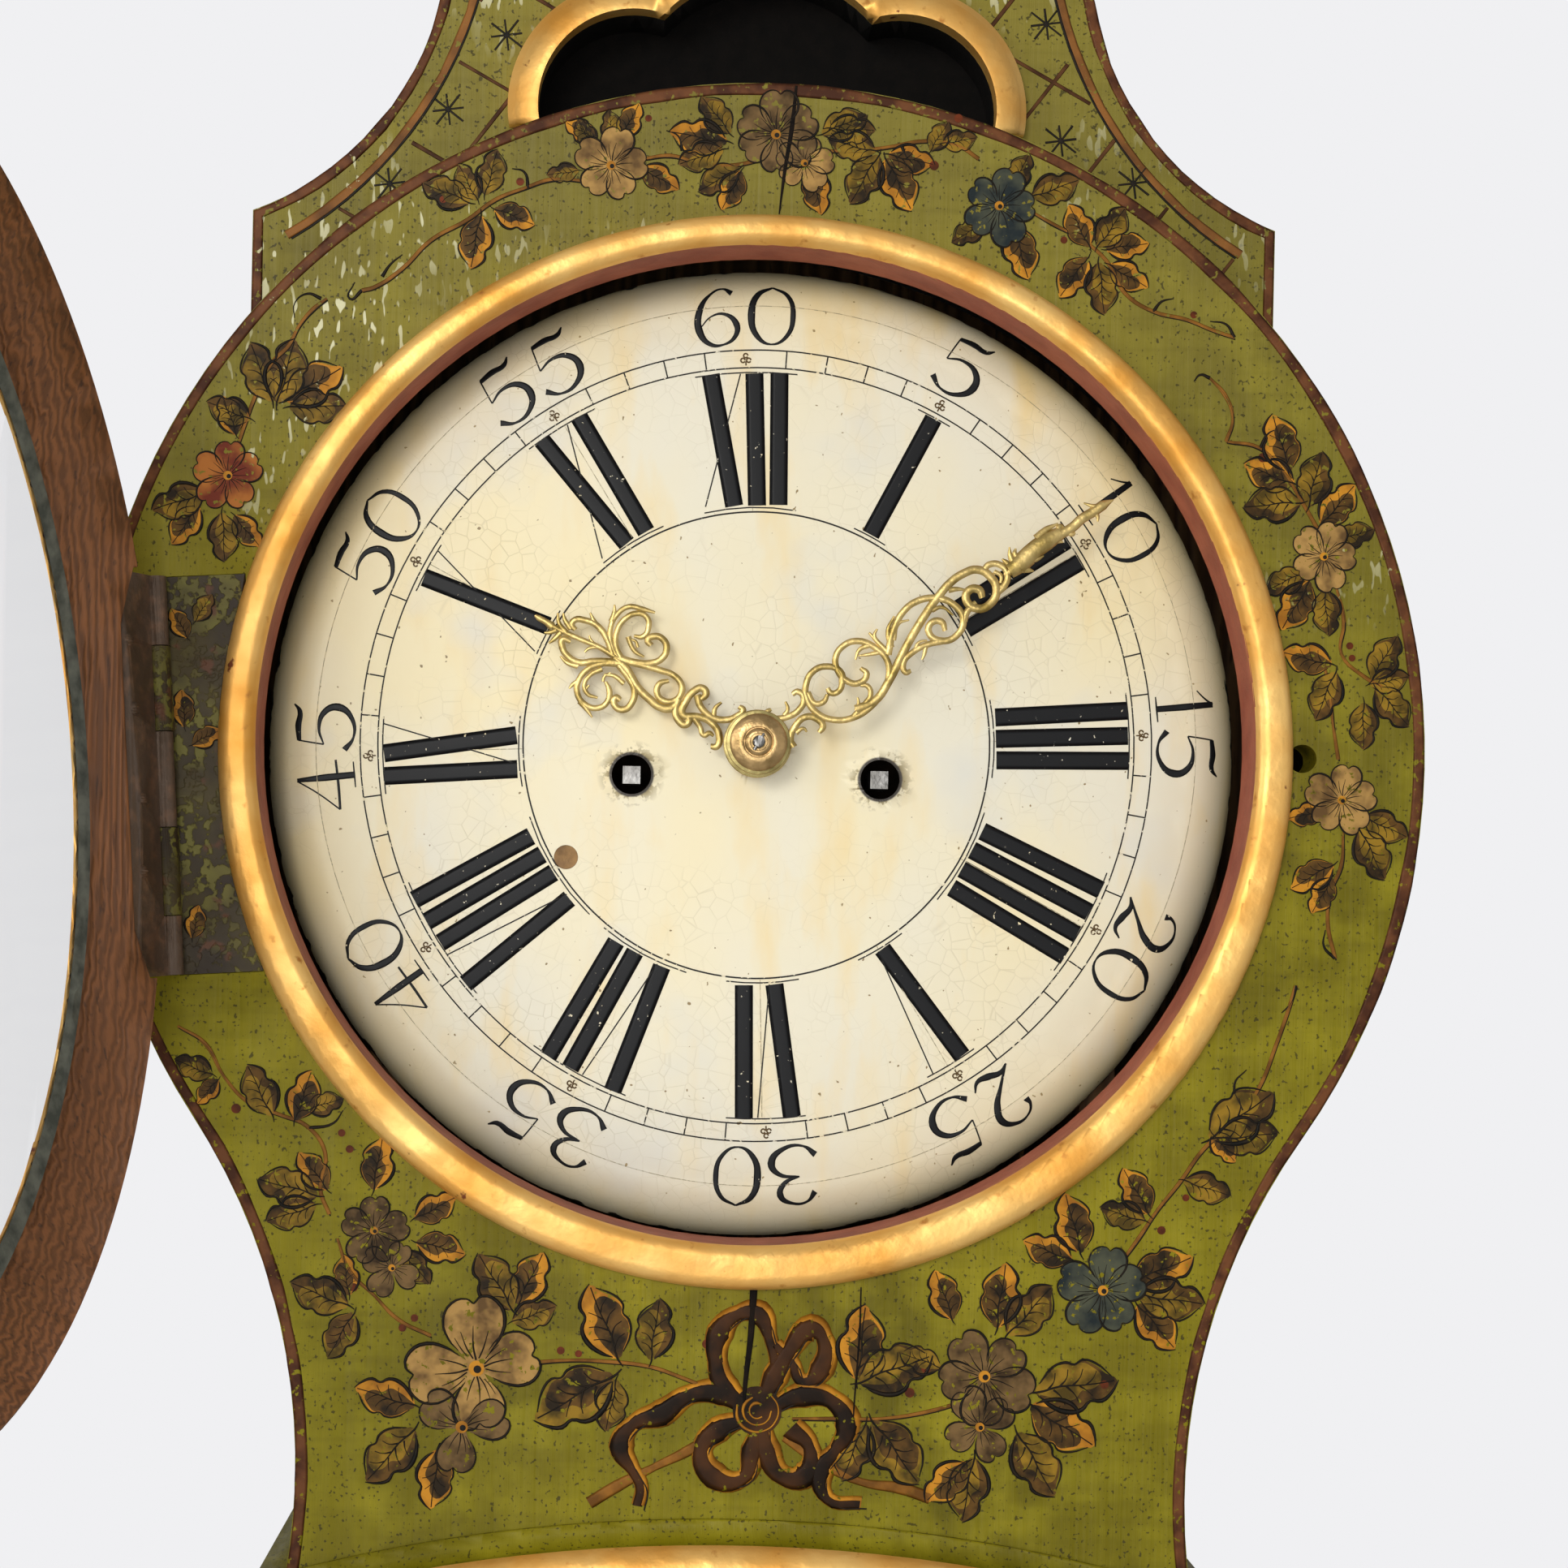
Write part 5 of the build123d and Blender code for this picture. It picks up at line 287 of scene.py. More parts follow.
def bare_wood(name, deep, light, pitch, along=(1, 1, 0.06)):
    """Unpainted wood: growth lines at that pitch per metre, along the board."""
    made, tree, place = start(name)
    laid = add(tree, "ShaderNodeMapping", {"Vector": place, "Scale": along}).outputs[0]
    wave = {"Vector": laid, "Scale": pitch, "Distortion": 9.0, "Detail": 3.0, "Detail Scale": 1.6}
    rings = add(tree, "ShaderNodeTexWave", wave).outputs["Fac"]
    pores = speckle(tree, place, 500, 0.6, 0.7, (1, 1, 0.1))
    tone = layered(
        tree, deep, (rings, light), (speckle(tree, place, 12, 0.4, 0.7), 0.6, deep), (pores, 0.6, "#2E1D13")
    )
    return end(made, tree, tone, 0.62, rings, 0.0003)


def dull(name, deep, light, roughness, grain=150):
    """A matt, slightly uneven surface."""
    made, tree, place = start(name)
    tone = layered(tree, deep, (speckle(tree, place, grain, 0.35, 0.65, detail=5), light))
    uneven = speckle(tree, place, grain, 0.3, 0.7, detail=5)
    return end(made, tree, tone, roughness, uneven, 0.0002, Specular_IOR_Level=0.15)


def old_glass():
    """Hand-blown pane: clear, with slow waves in it; a low IOR keeps it clear where it is seen edge on."""
    made, tree, place = start("old_crown_glass")
    waves = speckle(tree, place, 14, 0.2, 0.8, detail=1)
    return end(made, tree, "#FFFFFF", 0.02, waves, 0.00015, Transmission_Weight=1.0, IOR=1.12)


GREEN = oil_painted_green()
GILT = burnished_gilding()
BOLE = red_bole()
CREAM = dial_paint()
INK = dial_ink("numeral_black", "#131416", 0.69)
HAIR_INK = dial_ink("hairline_black", "#23211F", 0.62)
TREFOIL = dial_ink("trefoil_brown", "#5A4526", 0.66)
SCRIBED = dial_ink("scribed_lines", "#B0A587", 0.50)
BORDER = thin_paint("rubbed_brown_border", "#432414", "#6A4024", 110, 0.60)
LATTICE = thin_paint("brown_lattice_line", "#3A200E", "#5C3A1E", 120, 0.74)
BORDER_OCHRE = thin_paint("border_ochre", "#8A5A2A", "#64401F", 60, 0.64)
LEAF_OCHRE = thin_paint("leaf_ochre", "#94601A", "#C28424")
LEAF_UMBER = thin_paint("leaf_umber", "#241A0C", "#5E421A")
LEAF_OLIVE = thin_paint("leaf_olive", "#4A3A10", "#8E6E1E")
PETAL_TAN = thin_paint("petal_tan", "#5E4526", "#A9844A", 110, 0.61)
PETAL_BROWN = thin_paint("petal_brown", "#3A2A16", "#745A36", 110, 0.61)
PETAL_BLUE = thin_paint("petal_blue_black", "#1D2527", "#4A4C3C", 90, 0.61)
PETAL_RED = thin_paint("petal_red_ochre", "#6A2A18", "#A8662A", 80, 0.61)
OUTLINE = thin_paint("outline_black", "#14120E", "#241C14", 200, 0.72)
STEM = thin_paint("stem_brown", "#623E12", "#8C5C20", 120, 0.66)
BERRY = thin_paint("berry_red", "#46200C", "#6B2E12", 200, 0.7)
RIBBON = thin_paint("ribbon_umber", "#190E05", "#452810", 60, 0.66)
CRACK = dull("open_crack", "#0C0907", "#1D150F", 0.9)
HAND_GILT = brass("gilt_brass_hands", "#D3B97A", "#927C42", 0.38)
OLD_BRASS = brass("old_brass", "#C39A4C", "#8A6A32", 0.34)
GREEN_BRASS = brass("greenish_brass", "#AFA06A", "#82754A", 0.42)
RED_BRASS = brass("red_brass_washer", "#C2A271", "#8C734A", 0.32)
OLD_COPPER = brass("tarnished_rivet", "#8A6A42", "#5C4328", 0.5, 0.6)
STEEL = brass("bright_old_steel", "#8F8D8A", "#5E5B57", 0.36)
DARK_IRON = iron("dark_wrought_iron", "#453A31", "#5E4632", 0.5, 0.35)
CAST_IRON = iron("cast_iron", "#35322F", "#5A4232", 0.62, 0.55)
PAINTED_IRON = iron("knuckle_iron", "#5C4A3B", "#7A5C46", 0.55, 0.3)
LEAF_PAINT = painted_leaf()
PINE = bare_wood("bare_pine", "#6E4B2C", "#A67C4E", 38.0)
DOOR_WOOD = bare_wood("stained_birch", "#69401F", "#935C31", 110.0, (1, 1, 0.06))
# near black painted shade for the crest's opening
SHADE_BLACK = dull("painted_shade_black", "#040302", "#0A0705", 0.9)
PUTTY = dull("grey_putty", "#4C4F48", "#74766B", 0.8)
GUT = dull("twisted_gut", "#6E5130", "#A98452", 0.5, 700)
# near black painted shade for the hood's inside and the movement's front plate, deep in the case
SHADE_INSIDE = dull("painted_shade_inside", "#120D09", "#2A1D14", 0.85)
GLASS = old_glass()


# ---------------------------------------------------------------- ways of working
def only(piece):
    bpy.ops.object.select_all(action="DESELECT")
    piece.select_set(True)
    bpy.context.view_layer.objects.active = piece


def settle(piece, name, finish, body):
    """Names a finished piece, gives it its finish and puts it on its body."""
    only(piece)
    bpy.ops.object.transform_apply(location=True, rotation=True, scale=True)
    piece.name = name
    piece.data.materials.clear()
    piece.data.materials.append(finish)
    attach(piece, body)
    return piece


def body_of(node):
    for body, nodes in frame["record"]["behaviour"]["bodies"].items():
        if node in nodes:
            return body


def coat(node, finish):
    """Gives a frame node its finish as it stands."""
    node = frame["nodes"][node]
    node.data.materials.clear()
    node.data.materials.append(finish)


def smooth(node, finish, angle=32.0):
    """The same piece with its curves shaded smooth."""
    skin = frame["nodes"][node].copy()
    skin.data = frame["nodes"][node].data.copy()
    bpy.context.collection.objects.link(skin)
    skin.parent = None
    skin.matrix_world = Matrix.Identity(4)
    only(skin)
    bpy.ops.object.mode_set(mode="EDIT")
    bpy.ops.mesh.select_all(action="SELECT")
    bpy.ops.mesh.remove_doubles(threshold=2e-6)
    bpy.ops.object.mode_set(mode="OBJECT")
    bpy.ops.object.shade_smooth_by_angle(angle=math.radians(angle))
    settle(skin, node + "_surface", finish, body_of(node))
    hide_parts(node)
    return skin


def brushwork(lines, squash=0.2, rounds=1, steps=5):
    """Brush strokes: each line is its points, its half widths and whether it is drawn straight, in mm."""
    bpy.ops.object.select_all(action="DESELECT")
    bpy.ops.curve.primitive_bezier_curve_add()
    drawing = bpy.context.object
    curve = drawing.data
    curve.splines.clear()
    curve.bevel_depth = 1.0
    curve.bevel_resolution = rounds
    curve.resolution_u = steps
    curve.use_fill_caps = True
    for points, widths, straight in lines:
        spline = curve.splines.new("BEZIER")
        spline.bezier_points.add(len(points) - 1)
        for index, ((x, z), knot) in enumerate(zip(points, spline.bezier_points)):
            knot.co = (x, z, 0)
            knot.radius = widths[min(index, len(widths) - 1)]
            knot.handle_left_type = knot.handle_right_type = "VECTOR" if straight else "AUTO"
    bpy.ops.object.convert(target="MESH")
    drawing = bpy.context.object
    for corner in drawing.data.vertices:
        corner.co.z *= squash
    return drawing


def patch(outline):
    """One flat dab of paint with that outline, in mm."""
    bpy.ops.object.select_all(action="DESELECT")
    bpy.ops.curve.primitive_bezier_circle_add()
    drawing = bpy.context.object
    curve = drawing.data
    curve.dimensions = "2D"
    curve.fill_mode = "BOTH"
    curve.resolution_u = 3
    curve.splines.clear()
    spline = curve.splines.new("BEZIER")
    spline.bezier_points.add(len(outline) - 1)
    spline.use_cyclic_u = True
    for (x, z), knot in zip(outline, spline.bezier_points):
        knot.co = (x, z, 0)
        knot.handle_left_type = knot.handle_right_type = "AUTO"
    bpy.ops.object.convert(target="MESH")
    return bpy.context.object


def strew(pattern, places, lift):
    """Copies of a pattern joined as one: each place is x, z, size, turn in degrees and a mirror sign."""
    copies = []
    for order, (x, z, size, turn, flip) in enumerate(places):
        twin = pattern.copy()
        twin.data = pattern.data.copy()
        bpy.context.collection.objects.link(twin)
        spin = Matrix.Rotation(math.radians(turn), 4, "Z")
        # dabs that overlap lie one on the other, never in one plane
        laid = Matrix.Translation((x, z, lift + 0.004 * (order % 7)))
        twin.data.transform(laid @ spin @ Matrix.Diagonal((size, size * flip, 1, 1)))
        if flip < 0:
            twin.data.flip_normals()
        copies.append(twin)
    bpy.ops.object.select_all(action="DESELECT")
    for twin in copies:
        twin.select_set(True)
    bpy.context.view_layer.objects.active = copies[0]
    bpy.ops.object.join()
    return bpy.context.object


def eased(offset):
    """Rounds the edges of the piece that was added last."""
    bpy.ops.object.mode_set(mode="EDIT")
    bpy.ops.mesh.bevel(offset=offset, segments=2)
    bpy.ops.object.mode_set(mode="OBJECT")
    return bpy.context.object


def hang(drawing, front_y, origin=(0.0, HEAD_Z), proud=0.12):
    """Stands a drawing made in mm up on a face at front_y, its origin at that x and z."""
    drawing.data.transform(
        Matrix.Translation((origin[0] * MM, (front_y - proud) * MM, origin[1] * MM))
        @ FACING
        @ Matrix.Scale(MM, 4)
    )
    return drawing


def arc(centre, radius, first, last, steps):
    """Points on an arc, from one bearing to the other, in degrees."""
    turns = [math.radians(first + (last - first) * i / steps) for i in range(steps + 1)]
    return [(centre[0] + radius * math.cos(t), centre[1] + radius * math.sin(t)) for t in turns]


def circle(first, middle, last):
    """The centre and the radius of the circle through three points."""
    (ax, az), (bx, bz), (cx, cz) = first, middle, last
    d = 2 * (ax * (bz - cz) + bx * (cz - az) + cx * (az - bz))
    a, b, c = ax**2 + az**2, bx**2 + bz**2, cx**2 + cz**2
    ox = (a * (bz - cz) + b * (cz - az) + c * (az - bz)) / d
    oz = (a * (cx - bx) + b * (ax - cx) + c * (bx - ax)) / d
    return ox, oz, math.dist((ox, oz), first)


def through(first, middle, last, steps):
    """Points on the shorter arc that joins the outer two of three points."""
    ox, oz, radius = circle(first, middle, last)
    start_turn, end_turn = (math.degrees(math.atan2(z - oz, x - ox)) for x, z in (first, last))
    if abs(end_turn - start_turn) > 180:
        end_turn -= math.copysign(360, end_turn - start_turn)
    return arc((ox, oz), radius, start_turn, end_turn, steps)


def mirrored(points):
    """A right-hand line carried on into its mirror image."""
    return points + [(-x, z) for x, z in reversed(points)]


# ---------------------------------------------------------------- the case's own pieces
for node in ("trunk_front", "base_front_panel", "base_side_panels", "base_skirting"):
    coat(node, GREEN)
for node in ("bottom_board", "backboard", "top_ledge", "seatboard"):
    coat(node, PINE)
smooth("base_cap", GREEN)
for node in ("crest_moulding", "crest_finial", "lenticle_bezel"):
    smooth(node, GILT, 40)
# the backing behind the crest's opening is painted near black as shade
coat("crest_backing", SHADE_BLACK)
smooth("dial_disc", CREAM, 25)


def second_finish(piece, finish, chosen):
    """Gives the faces that chosen picks, by their middle in mm and their normal, another finish."""
    piece.data.materials.append(finish)
    slot = len(piece.data.materials) - 1
    for face in piece.data.polygons:
        if chosen(face.center / MM, face.normal):
            face.material_index = slot


def from_axis(spot, x=0.0, z=HEAD_Z):
    """How far a point in mm is from an axis that runs from front to back."""
    return math.hypot(spot.x - x, spot.z - z)


def opening_wall(middle, normal):
    return from_axis(middle, z=DIAL_Z) < 200 and abs(normal.y) < 0.3


def ring_bore(middle, normal):
    return from_axis(middle, z=HEAD_Z + RING_RISE) < 193.6 and abs(normal.y) < 0.2


def hood_inside(middle, normal):
    return normal.x * middle.x + normal.z * (middle.z - HEAD_Z) < 0 and abs(normal.y) < 0.3


def crest_opening_wall(middle, normal):
    return abs(middle.x) < 112 and middle.z < HEAD_Z + 340 and abs(normal.y) < 0.3


# the walls of the dial opening are bare red bole, the inside of the hood is painted near black as shade
second_finish(smooth("hood_front_board", GREEN), BOLE, opening_wall)
second_finish(smooth("ring_moulding", GILT, 40), BOLE, ring_bore)
second_finish(smooth("hood_side_band", GREEN), SHADE_INSIDE, hood_inside)
# the walls of the crest's opening are painted black as shade
second_finish(smooth("crest_board", GREEN), SHADE_BLACK, crest_opening_wall)
# the trunk and its door are bare pine inside
second_finish(smooth("trunk_sides", GREEN), PINE, lambda c, n: n.x * c.x < 0)
second_finish(smooth("trunk_door_panel", GREEN), PINE, lambda c, n: n.y > 0.9)

# the base moulding's cove is green like the board, the round below it is gilt
COVE_EDGE = -149.6
second_finish(smooth("hood_base_moulding", GREEN, 40), GILT, lambda c, n: c.y < COVE_EDGE)

# the door's back is stained wood; its front and the lip round the glass, seen with the door shut, are gilt
HINGE = Vector((-228.0, -144.6, HEAD_Z - 14))
HINGE_LEAN = math.radians(3.8)
OPENED = 99.3  # degrees, at rest
shut = Matrix.Rotation(math.radians(-OPENED), 3, Vector((math.sin(HINGE_LEAN), 0, -math.cos(HINGE_LEAN))))


def door_front(middle, normal):
    spot = HINGE + shut @ (middle - HINGE)
    facing = shut @ normal
    return facing.y < -0.25 or from_axis(spot) < 195


second_finish(smooth("dial_door_frame", DOOR_WOOD, 30), GILT, door_front)
smooth("glazing_putty", PUTTY)
for node in ("dial_door_glass", "lenticle_glass"):
    smooth(node, GLASS)
smooth("hinge_case_leaf", LEAF_PAINT)
smooth("hinge_door_leaf", PAINTED_IRON)
IRONWORK = "catch_pin trunk_hinge_case_leaves trunk_hinge_door_leaves lock_bolt trunk_key hammer lock_case"
for node in IRONWORK.split():
    smooth(node, DARK_IRON)
for node in ("going_weight", "strike_weight"):
    smooth(node, CAST_IRON)
# the front plate's front face, deep behind the dial, is painted near black as shade
second_finish(smooth("front_plate", OLD_BRASS), SHADE_INSIDE, lambda c, n: n.y < -0.9)
WHEELS = "third_wheel escape_wheel minute_wheel going_great_wheel strike_great_wheel hour_wheel"
for node in ("back_plate", "back_cock", *WHEELS.split()):
    coat(node, OLD_BRASS)
for node in ("bell", "pendulum_bob", "rating_nut", "going_pulley", "strike_pulley"):
    smooth(node, OLD_BRASS)
for node, x in zip(("strike_barrel", "going_barrel"), WINDING_X):

    def winding_square(middle, normal, x=x):
        return from_axis(middle, x, WINDING_Z) < 4.9 and middle.y < -80

    # the winding square is bright steel
    second_finish(smooth(node, OLD_BRASS), STEEL, winding_square)
for node in ("pallets", "pendulum_rod", "centre_wheel"):
    smooth(node, STEEL)
for node in ("going_line", "strike_line"):
    # 1200.4 mm long with its weight down and 100.4 mm wound up
    strand = smooth(node, GUT)
    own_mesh(strand)

# ---------------------------------------------------------------- places given in pixels
# The painting and the hands were set out in pixels; these values bring a pixel to its place in mm.
PIXEL = 0.31447  # mm to one pixel on the head board
TILT = math.radians(1.2)  # the pixel rows lean this far
SPOT_PIXEL, SPOT_X, SPOT_Z = (791, 1119), -45.5, 1790  # one spot of the board, in pixels and in mm
ARBOR_PIXEL = (939.2, 913.6)  # the middle of the hands' arbor
HOUR_TURN, MINUTE_TURN = 60.9, -53.8  # the hands' bearings, anticlockwise from twelve


def upright(across, down):
    """A step in pixels with the tilt taken out."""
    return (
        across * math.cos(TILT) + down * math.sin(TILT),
        -across * math.sin(TILT) + down * math.cos(TILT),
    )


def on_board(x, y):
    """The place of a pixel on the head board, in mm from the head's centre."""
    across, down = upright(x - SPOT_PIXEL[0], y - SPOT_PIXEL[1])
    return round(across * PIXEL + SPOT_X, 1), round(SPOT_Z - down * PIXEL - HEAD_Z, 1)


def board_lines(lines):
    return [[on_board(*spot) for spot in line] for line in lines]


def on_hand(x, y, corner, zoom, pixel, turn):
    """A point given in an enlarged view, in mm from the arbor, with the hand turned to twelve."""
    across, down = upright(corner[0] + x / zoom - ARBOR_PIXEL[0], corner[1] + y / zoom - ARBOR_PIXEL[1])
    right, up, back = across * pixel, -down * pixel, -math.radians(turn)
    return (
        round(right * math.cos(back) - up * math.sin(back), 1),
        round(right * math.sin(back) + up * math.cos(back), 1),
    )


def hand_scrolls(corner, zoom, pixel, turn, scrolls):
    """Each scroll's points on the hand and its half widths at its ends, given in an enlarged view.

    The view starts at corner and is enlarged by zoom; pixel is the mm to one pixel at the hand's depth.
    """
    return [([on_hand(x, y, corner, zoom, pixel, turn) for x, y in line], *ends) for line, *ends in scrolls]


# ---------------------------------------------------------------- the head's outline
HEAD_R = 259.5  # the round head of the board
NECK_R = 247.0  # the hollow curve of the neck
NECK_X, NECK_Z = 419.4, -283.98  # that curve's centre
NECK_SPAN = HEAD_R + NECK_R  # between the two centres, where the curves meet


def board_curves(inset):
    """The two radii, drawn inset, and the point where the curves meet."""
    head_r, neck_r = HEAD_R - inset, NECK_R + inset
    reach = head_r / NECK_SPAN
    return head_r, neck_r, (NECK_X * reach, NECK_Z * reach)


# ---------------------------------------------------------------- painted flowers
STEMS = board_lines((
    ((735, 228), (690, 225), (655, 236), (620, 250), (585, 275), (540, 300), (505, 335), (470, 358),
     (455, 362)),
    ((800, 200), (835, 196), (870, 205), (910, 208), (950, 200)),
    ((1020, 190), (1060, 190), (1100, 186), (1150, 178), (1190, 184), (1215, 200)),
    ((1275, 262), (1305, 280), (1340, 298), (1372, 325), (1395, 365), (1430, 388), (1470, 398), (1505, 412),
     (1530, 420)),
    ((412, 372), (395, 385), (378, 405), (365, 430), (345, 450), (325, 490), (310, 530), (300, 560)),
    ((228, 1268), (262, 1290), (285, 1330), (315, 1362), (355, 1378), (388, 1392), (410, 1425), (404, 1470),
     (415, 1500)),
    ((425, 1530), (440, 1570), (470, 1600), (500, 1630), (540, 1650)),
    ((620, 1690), (660, 1684), (710, 1680), (760, 1682), (810, 1688), (850, 1702), (890, 1718)),
    ((985, 1752), (1040, 1752), (1095, 1752), (1150, 1744), (1200, 1730)),
    ((1390, 1560), (1412, 1530), (1435, 1495), (1462, 1462), (1492, 1420), (1530, 1385), (1560, 1345),
     (1582, 1290), (1596, 1250), (1606, 1218)),
    ((1520, 548), (1560, 556), (1590, 585), (1612, 620), (1632, 655)),
    ((1500, 470), (1518, 490), (1528, 520), (1520, 548)),
    ((1655, 725), (1665, 770), (1662, 810), (1690, 838), (1712, 850)),
    ((1664, 1030), (1662, 1070), (1650, 1100), (1645, 1140), (1654, 1185)),
    ((1640, 820), (1648, 860), (1652, 900), (1658, 940)),
))
TENDRILS = board_lines((
    ((405, 372), (388, 366), (372, 378), (372, 396)), ((455, 362), (440, 372), (446, 352)),
    ((480, 345), (490, 330), (505, 318)), ((1606, 1218), (1600, 1240), (1588, 1252)),
    ((1540, 1372), (1530, 1340), (1545, 1322)), ((1530, 420), (1520, 404), (1500, 400)),
    ((1430, 388), (1440, 376), (1455, 372)), ((850, 190), (845, 172), (830, 165)),
    ((1120, 184), (1128, 200), (1142, 206)), ((660, 236), (655, 216), (640, 212)),
    ((1654, 1185), (1640, 1170), (1642, 1150)), ((1500, 470), (1488, 466), (1480, 474)),
    ((390, 1394), (420, 1388), (432, 1372)), ((1562, 556), (1572, 538), (1588, 532)),
))
BOW = board_lines((
    ((938, 1738), (905, 1715), (893, 1680), (897, 1645), (920, 1622), (945, 1622), (958, 1650), (965, 1690),
     (948, 1735)),
    ((948, 1735), (965, 1700), (985, 1665), (1010, 1640), (1024, 1650), (1022, 1690), (1000, 1705),
     (985, 1680), (965, 1660)),
    ((935, 1745), (900, 1720), (860, 1722), (825, 1745), (790, 1758), (775, 1785), (790, 1815), (800, 1835),
     (796, 1858)),
    ((955, 1740), (1000, 1722), (1035, 1728), (1055, 1760), (1040, 1790), (1022, 1815), (1030, 1850),
     (1070, 1856)),
    ((935, 1750), (895, 1765), (875, 1790), (890, 1822), (925, 1825), (938, 1790), (945, 1760)),
    ((950, 1752), (955, 1790), (975, 1822), (1003, 1820), (1008, 1785), (985, 1762)),
    ((905, 1760), (860, 1790), (815, 1812), (770, 1835), (735, 1856)),
    ((975, 1775), (1020, 1805), (1070, 1830), (1120, 1838), (1155, 1850)),
))
BOW_KNOT = on_board(942, 1742)
CRACK_TOP, CRACK_LOW, CRACK_SIDE = board_lines((
    ((985, 160), (976, 215), (969, 268)),
    ((938, 1588), (934, 1650), (927, 1710), (925, 1752)),
    ((1070, 1590), (1068, 1650), (1061, 1740), (1060, 1775)),
))
CRACK_TOP = [(10.5, 258.6)] + CRACK_TOP  # the top crack starts just inside the board's edge
BUDS = [on_board(*spot) for spot in (
    (620, 215), (650, 228), (808, 150), (1160, 208), (1190, 150), (555, 250), (430, 1400), (440, 1420),
    (700, 1668), (722, 1672), (880, 1660), (1130, 1720), (1360, 1700), (1370, 1710), (1320, 300),
    (1480, 392), (505, 1640), (520, 1628), (1565, 568), (1672, 800), (1675, 815), (300, 1370), (445, 1590),
    (1470, 1480), (1440, 1520), (335, 470), (1190, 1660), (1680, 655), (1150, 1690),
)]

# each leaf's foot and length in pixels, its bearing, and its kind: 0 ochre, 1 umber, 2 olive
LEAF_PIXELS = (
    (742, 172, 44, 150, 0), (738, 176, 46, 120, 1), (760, 168, 46, 95, 1), (775, 172, 44, 65, 0),
    (800, 210, 46, -30, 0), (722, 214, 34, 190, 1), (585, 250, 60, 158, 1), (596, 246, 48, 120, 1),
    (606, 244, 50, 75, 1), (618, 262, 46, -20, 0), (602, 270, 58, -100, 0), (905, 178, 62, 172, 0),
    (908, 168, 52, 128, 1), (900, 188, 50, 200, 1), (920, 212, 50, -150, 1), (922, 215, 46, -115, 0),
    (1010, 212, 50, -78, 0), (1022, 170, 52, 25, 1), (1030, 162, 50, -2, 1), (1088, 190, 52, 168, 1),
    (1092, 196, 60, -120, 1), (1100, 200, 62, -62, 0), (1104, 194, 50, -12, 0), (1160, 176, 50, 60, 1),
    (1170, 178, 40, 10, 1), (1258, 232, 50, 65, 1), (1280, 246, 54, 20, 1), (1256, 282, 60, -72, 0),
    (1222, 280, 40, -150, 1), (1352, 308, 50, 118, 0), (1362, 306, 54, 55, 1), (1372, 312, 46, 10, 0),
    (1350, 322, 52, -125, 0), (1362, 328, 56, -82, 1), (1376, 330, 48, -30, 0), (345, 498, 66, 112, 1),
    (350, 500, 70, 75, 1), (362, 498, 70, 32, 0), (366, 505, 60, 2, 1), (318, 520, 50, 160, 1),
    (300, 540, 44, 110, 0), (262, 610, 60, -160, 1), (255, 628, 50, -125, 0), (282, 636, 52, -85, 1),
    (300, 640, 46, -50, 0), (268, 1330, 46, 160, 1), (272, 1338, 40, -130, 0), (345, 1378, 60, 118, 1),
    (372, 1384, 56, 72, 0), (388, 1372, 40, 20, 1), (400, 1478, 66, 165, 1), (398, 1488, 56, -160, 1),
    (412, 1470, 50, 128, 0), (470, 1470, 58, 82, 0), (520, 1505, 50, 28, 0), (522, 1535, 54, -12, 0),
    (505, 1545, 46, -50, 1), (438, 1612, 66, 160, 1), (446, 1622, 56, -120, 2), (440, 1600, 44, 100, 0),
    (640, 1618, 70, 122, 1), (648, 1612, 62, 66, 0), (640, 1632, 50, 20, 1), (520, 1735, 66, 165, 0),
    (520, 1765, 76, -132, 1), (548, 1790, 64, -95, 0), (765, 1700, 96, -150, 2), (768, 1704, 56, -100, 1),
    (770, 1678, 84, 112, 0), (812, 1680, 66, 84, 1), (1064, 1704, 80, 84, 0), (1068, 1708, 82, 22, 1),
    (1076, 1758, 66, -112, 1), (1084, 1756, 82, -52, 2), (1182, 1630, 56, 110, 0), (1238, 1640, 70, 84, 0),
    (1250, 1648, 70, 48, 1), (1285, 1720, 88, 10, 1), (1280, 1735, 80, -32, 0), (1262, 1770, 78, -58, 1),
    (1210, 1800, 70, -100, 1), (1200, 1806, 60, -135, 0), (1168, 1690, 46, 160, 1), (1330, 1556, 56, 160, 0),
    (1340, 1548, 66, 105, 0), (1405, 1585, 70, 25, 0), (1412, 1600, 80, -8, 1), (1410, 1612, 62, -48, 0),
    (1424, 1500, 56, 120, 0), (1420, 1508, 50, 165, 1), (1468, 1458, 52, -18, 1), (1500, 1408, 84, 38, 1),
    (1508, 1406, 66, 5, 1), (1502, 1400, 40, -50, 0), (1596, 586, 64, 106, 0), (1604, 600, 58, 160, 0),
    (1612, 624, 62, 185, 1), (1622, 628, 60, 78, 1), (1636, 650, 56, 50, 0), (1660, 670, 50, 20, 1),
    (1612, 712, 52, -155, 1), (1622, 720, 60, -118, 0), (1642, 730, 50, -85, 1), (1650, 822, 54, 168, 0),
    (1655, 832, 56, -112, 1), (1700, 842, 54, 62, 1), (1706, 846, 52, 12, 1), (1704, 852, 54, -48, 1),
    (1690, 870, 50, -90, 1), (1640, 1002, 40, -165, 0), (1692, 1010, 54, -25, 1), (1684, 1026, 60, -62, 1),
    (1652, 1070, 52, -150, 0), (1650, 1085, 44, -118, 0), (236, 900, 40, 95, 0), (246, 922, 36, 30, 0),
    (240, 790, 36, 120, 0), (250, 770, 34, 60, 1), (246, 1160, 36, 80, 0),
)
LEAF_GROWTH = 1.15  # the leaves were listed a little short
LEAF_SIDES = (-0.29, 0, 0.31)  # a leaf's width to each side, as a share of its length
EDGE_INSET = 3.8  # leaves keep this far inside the board's edge
EDGE_REACH = HEAD_R - EDGE_INSET
RING_REACH = 206.0  # and this far from the middle of the gilt ring


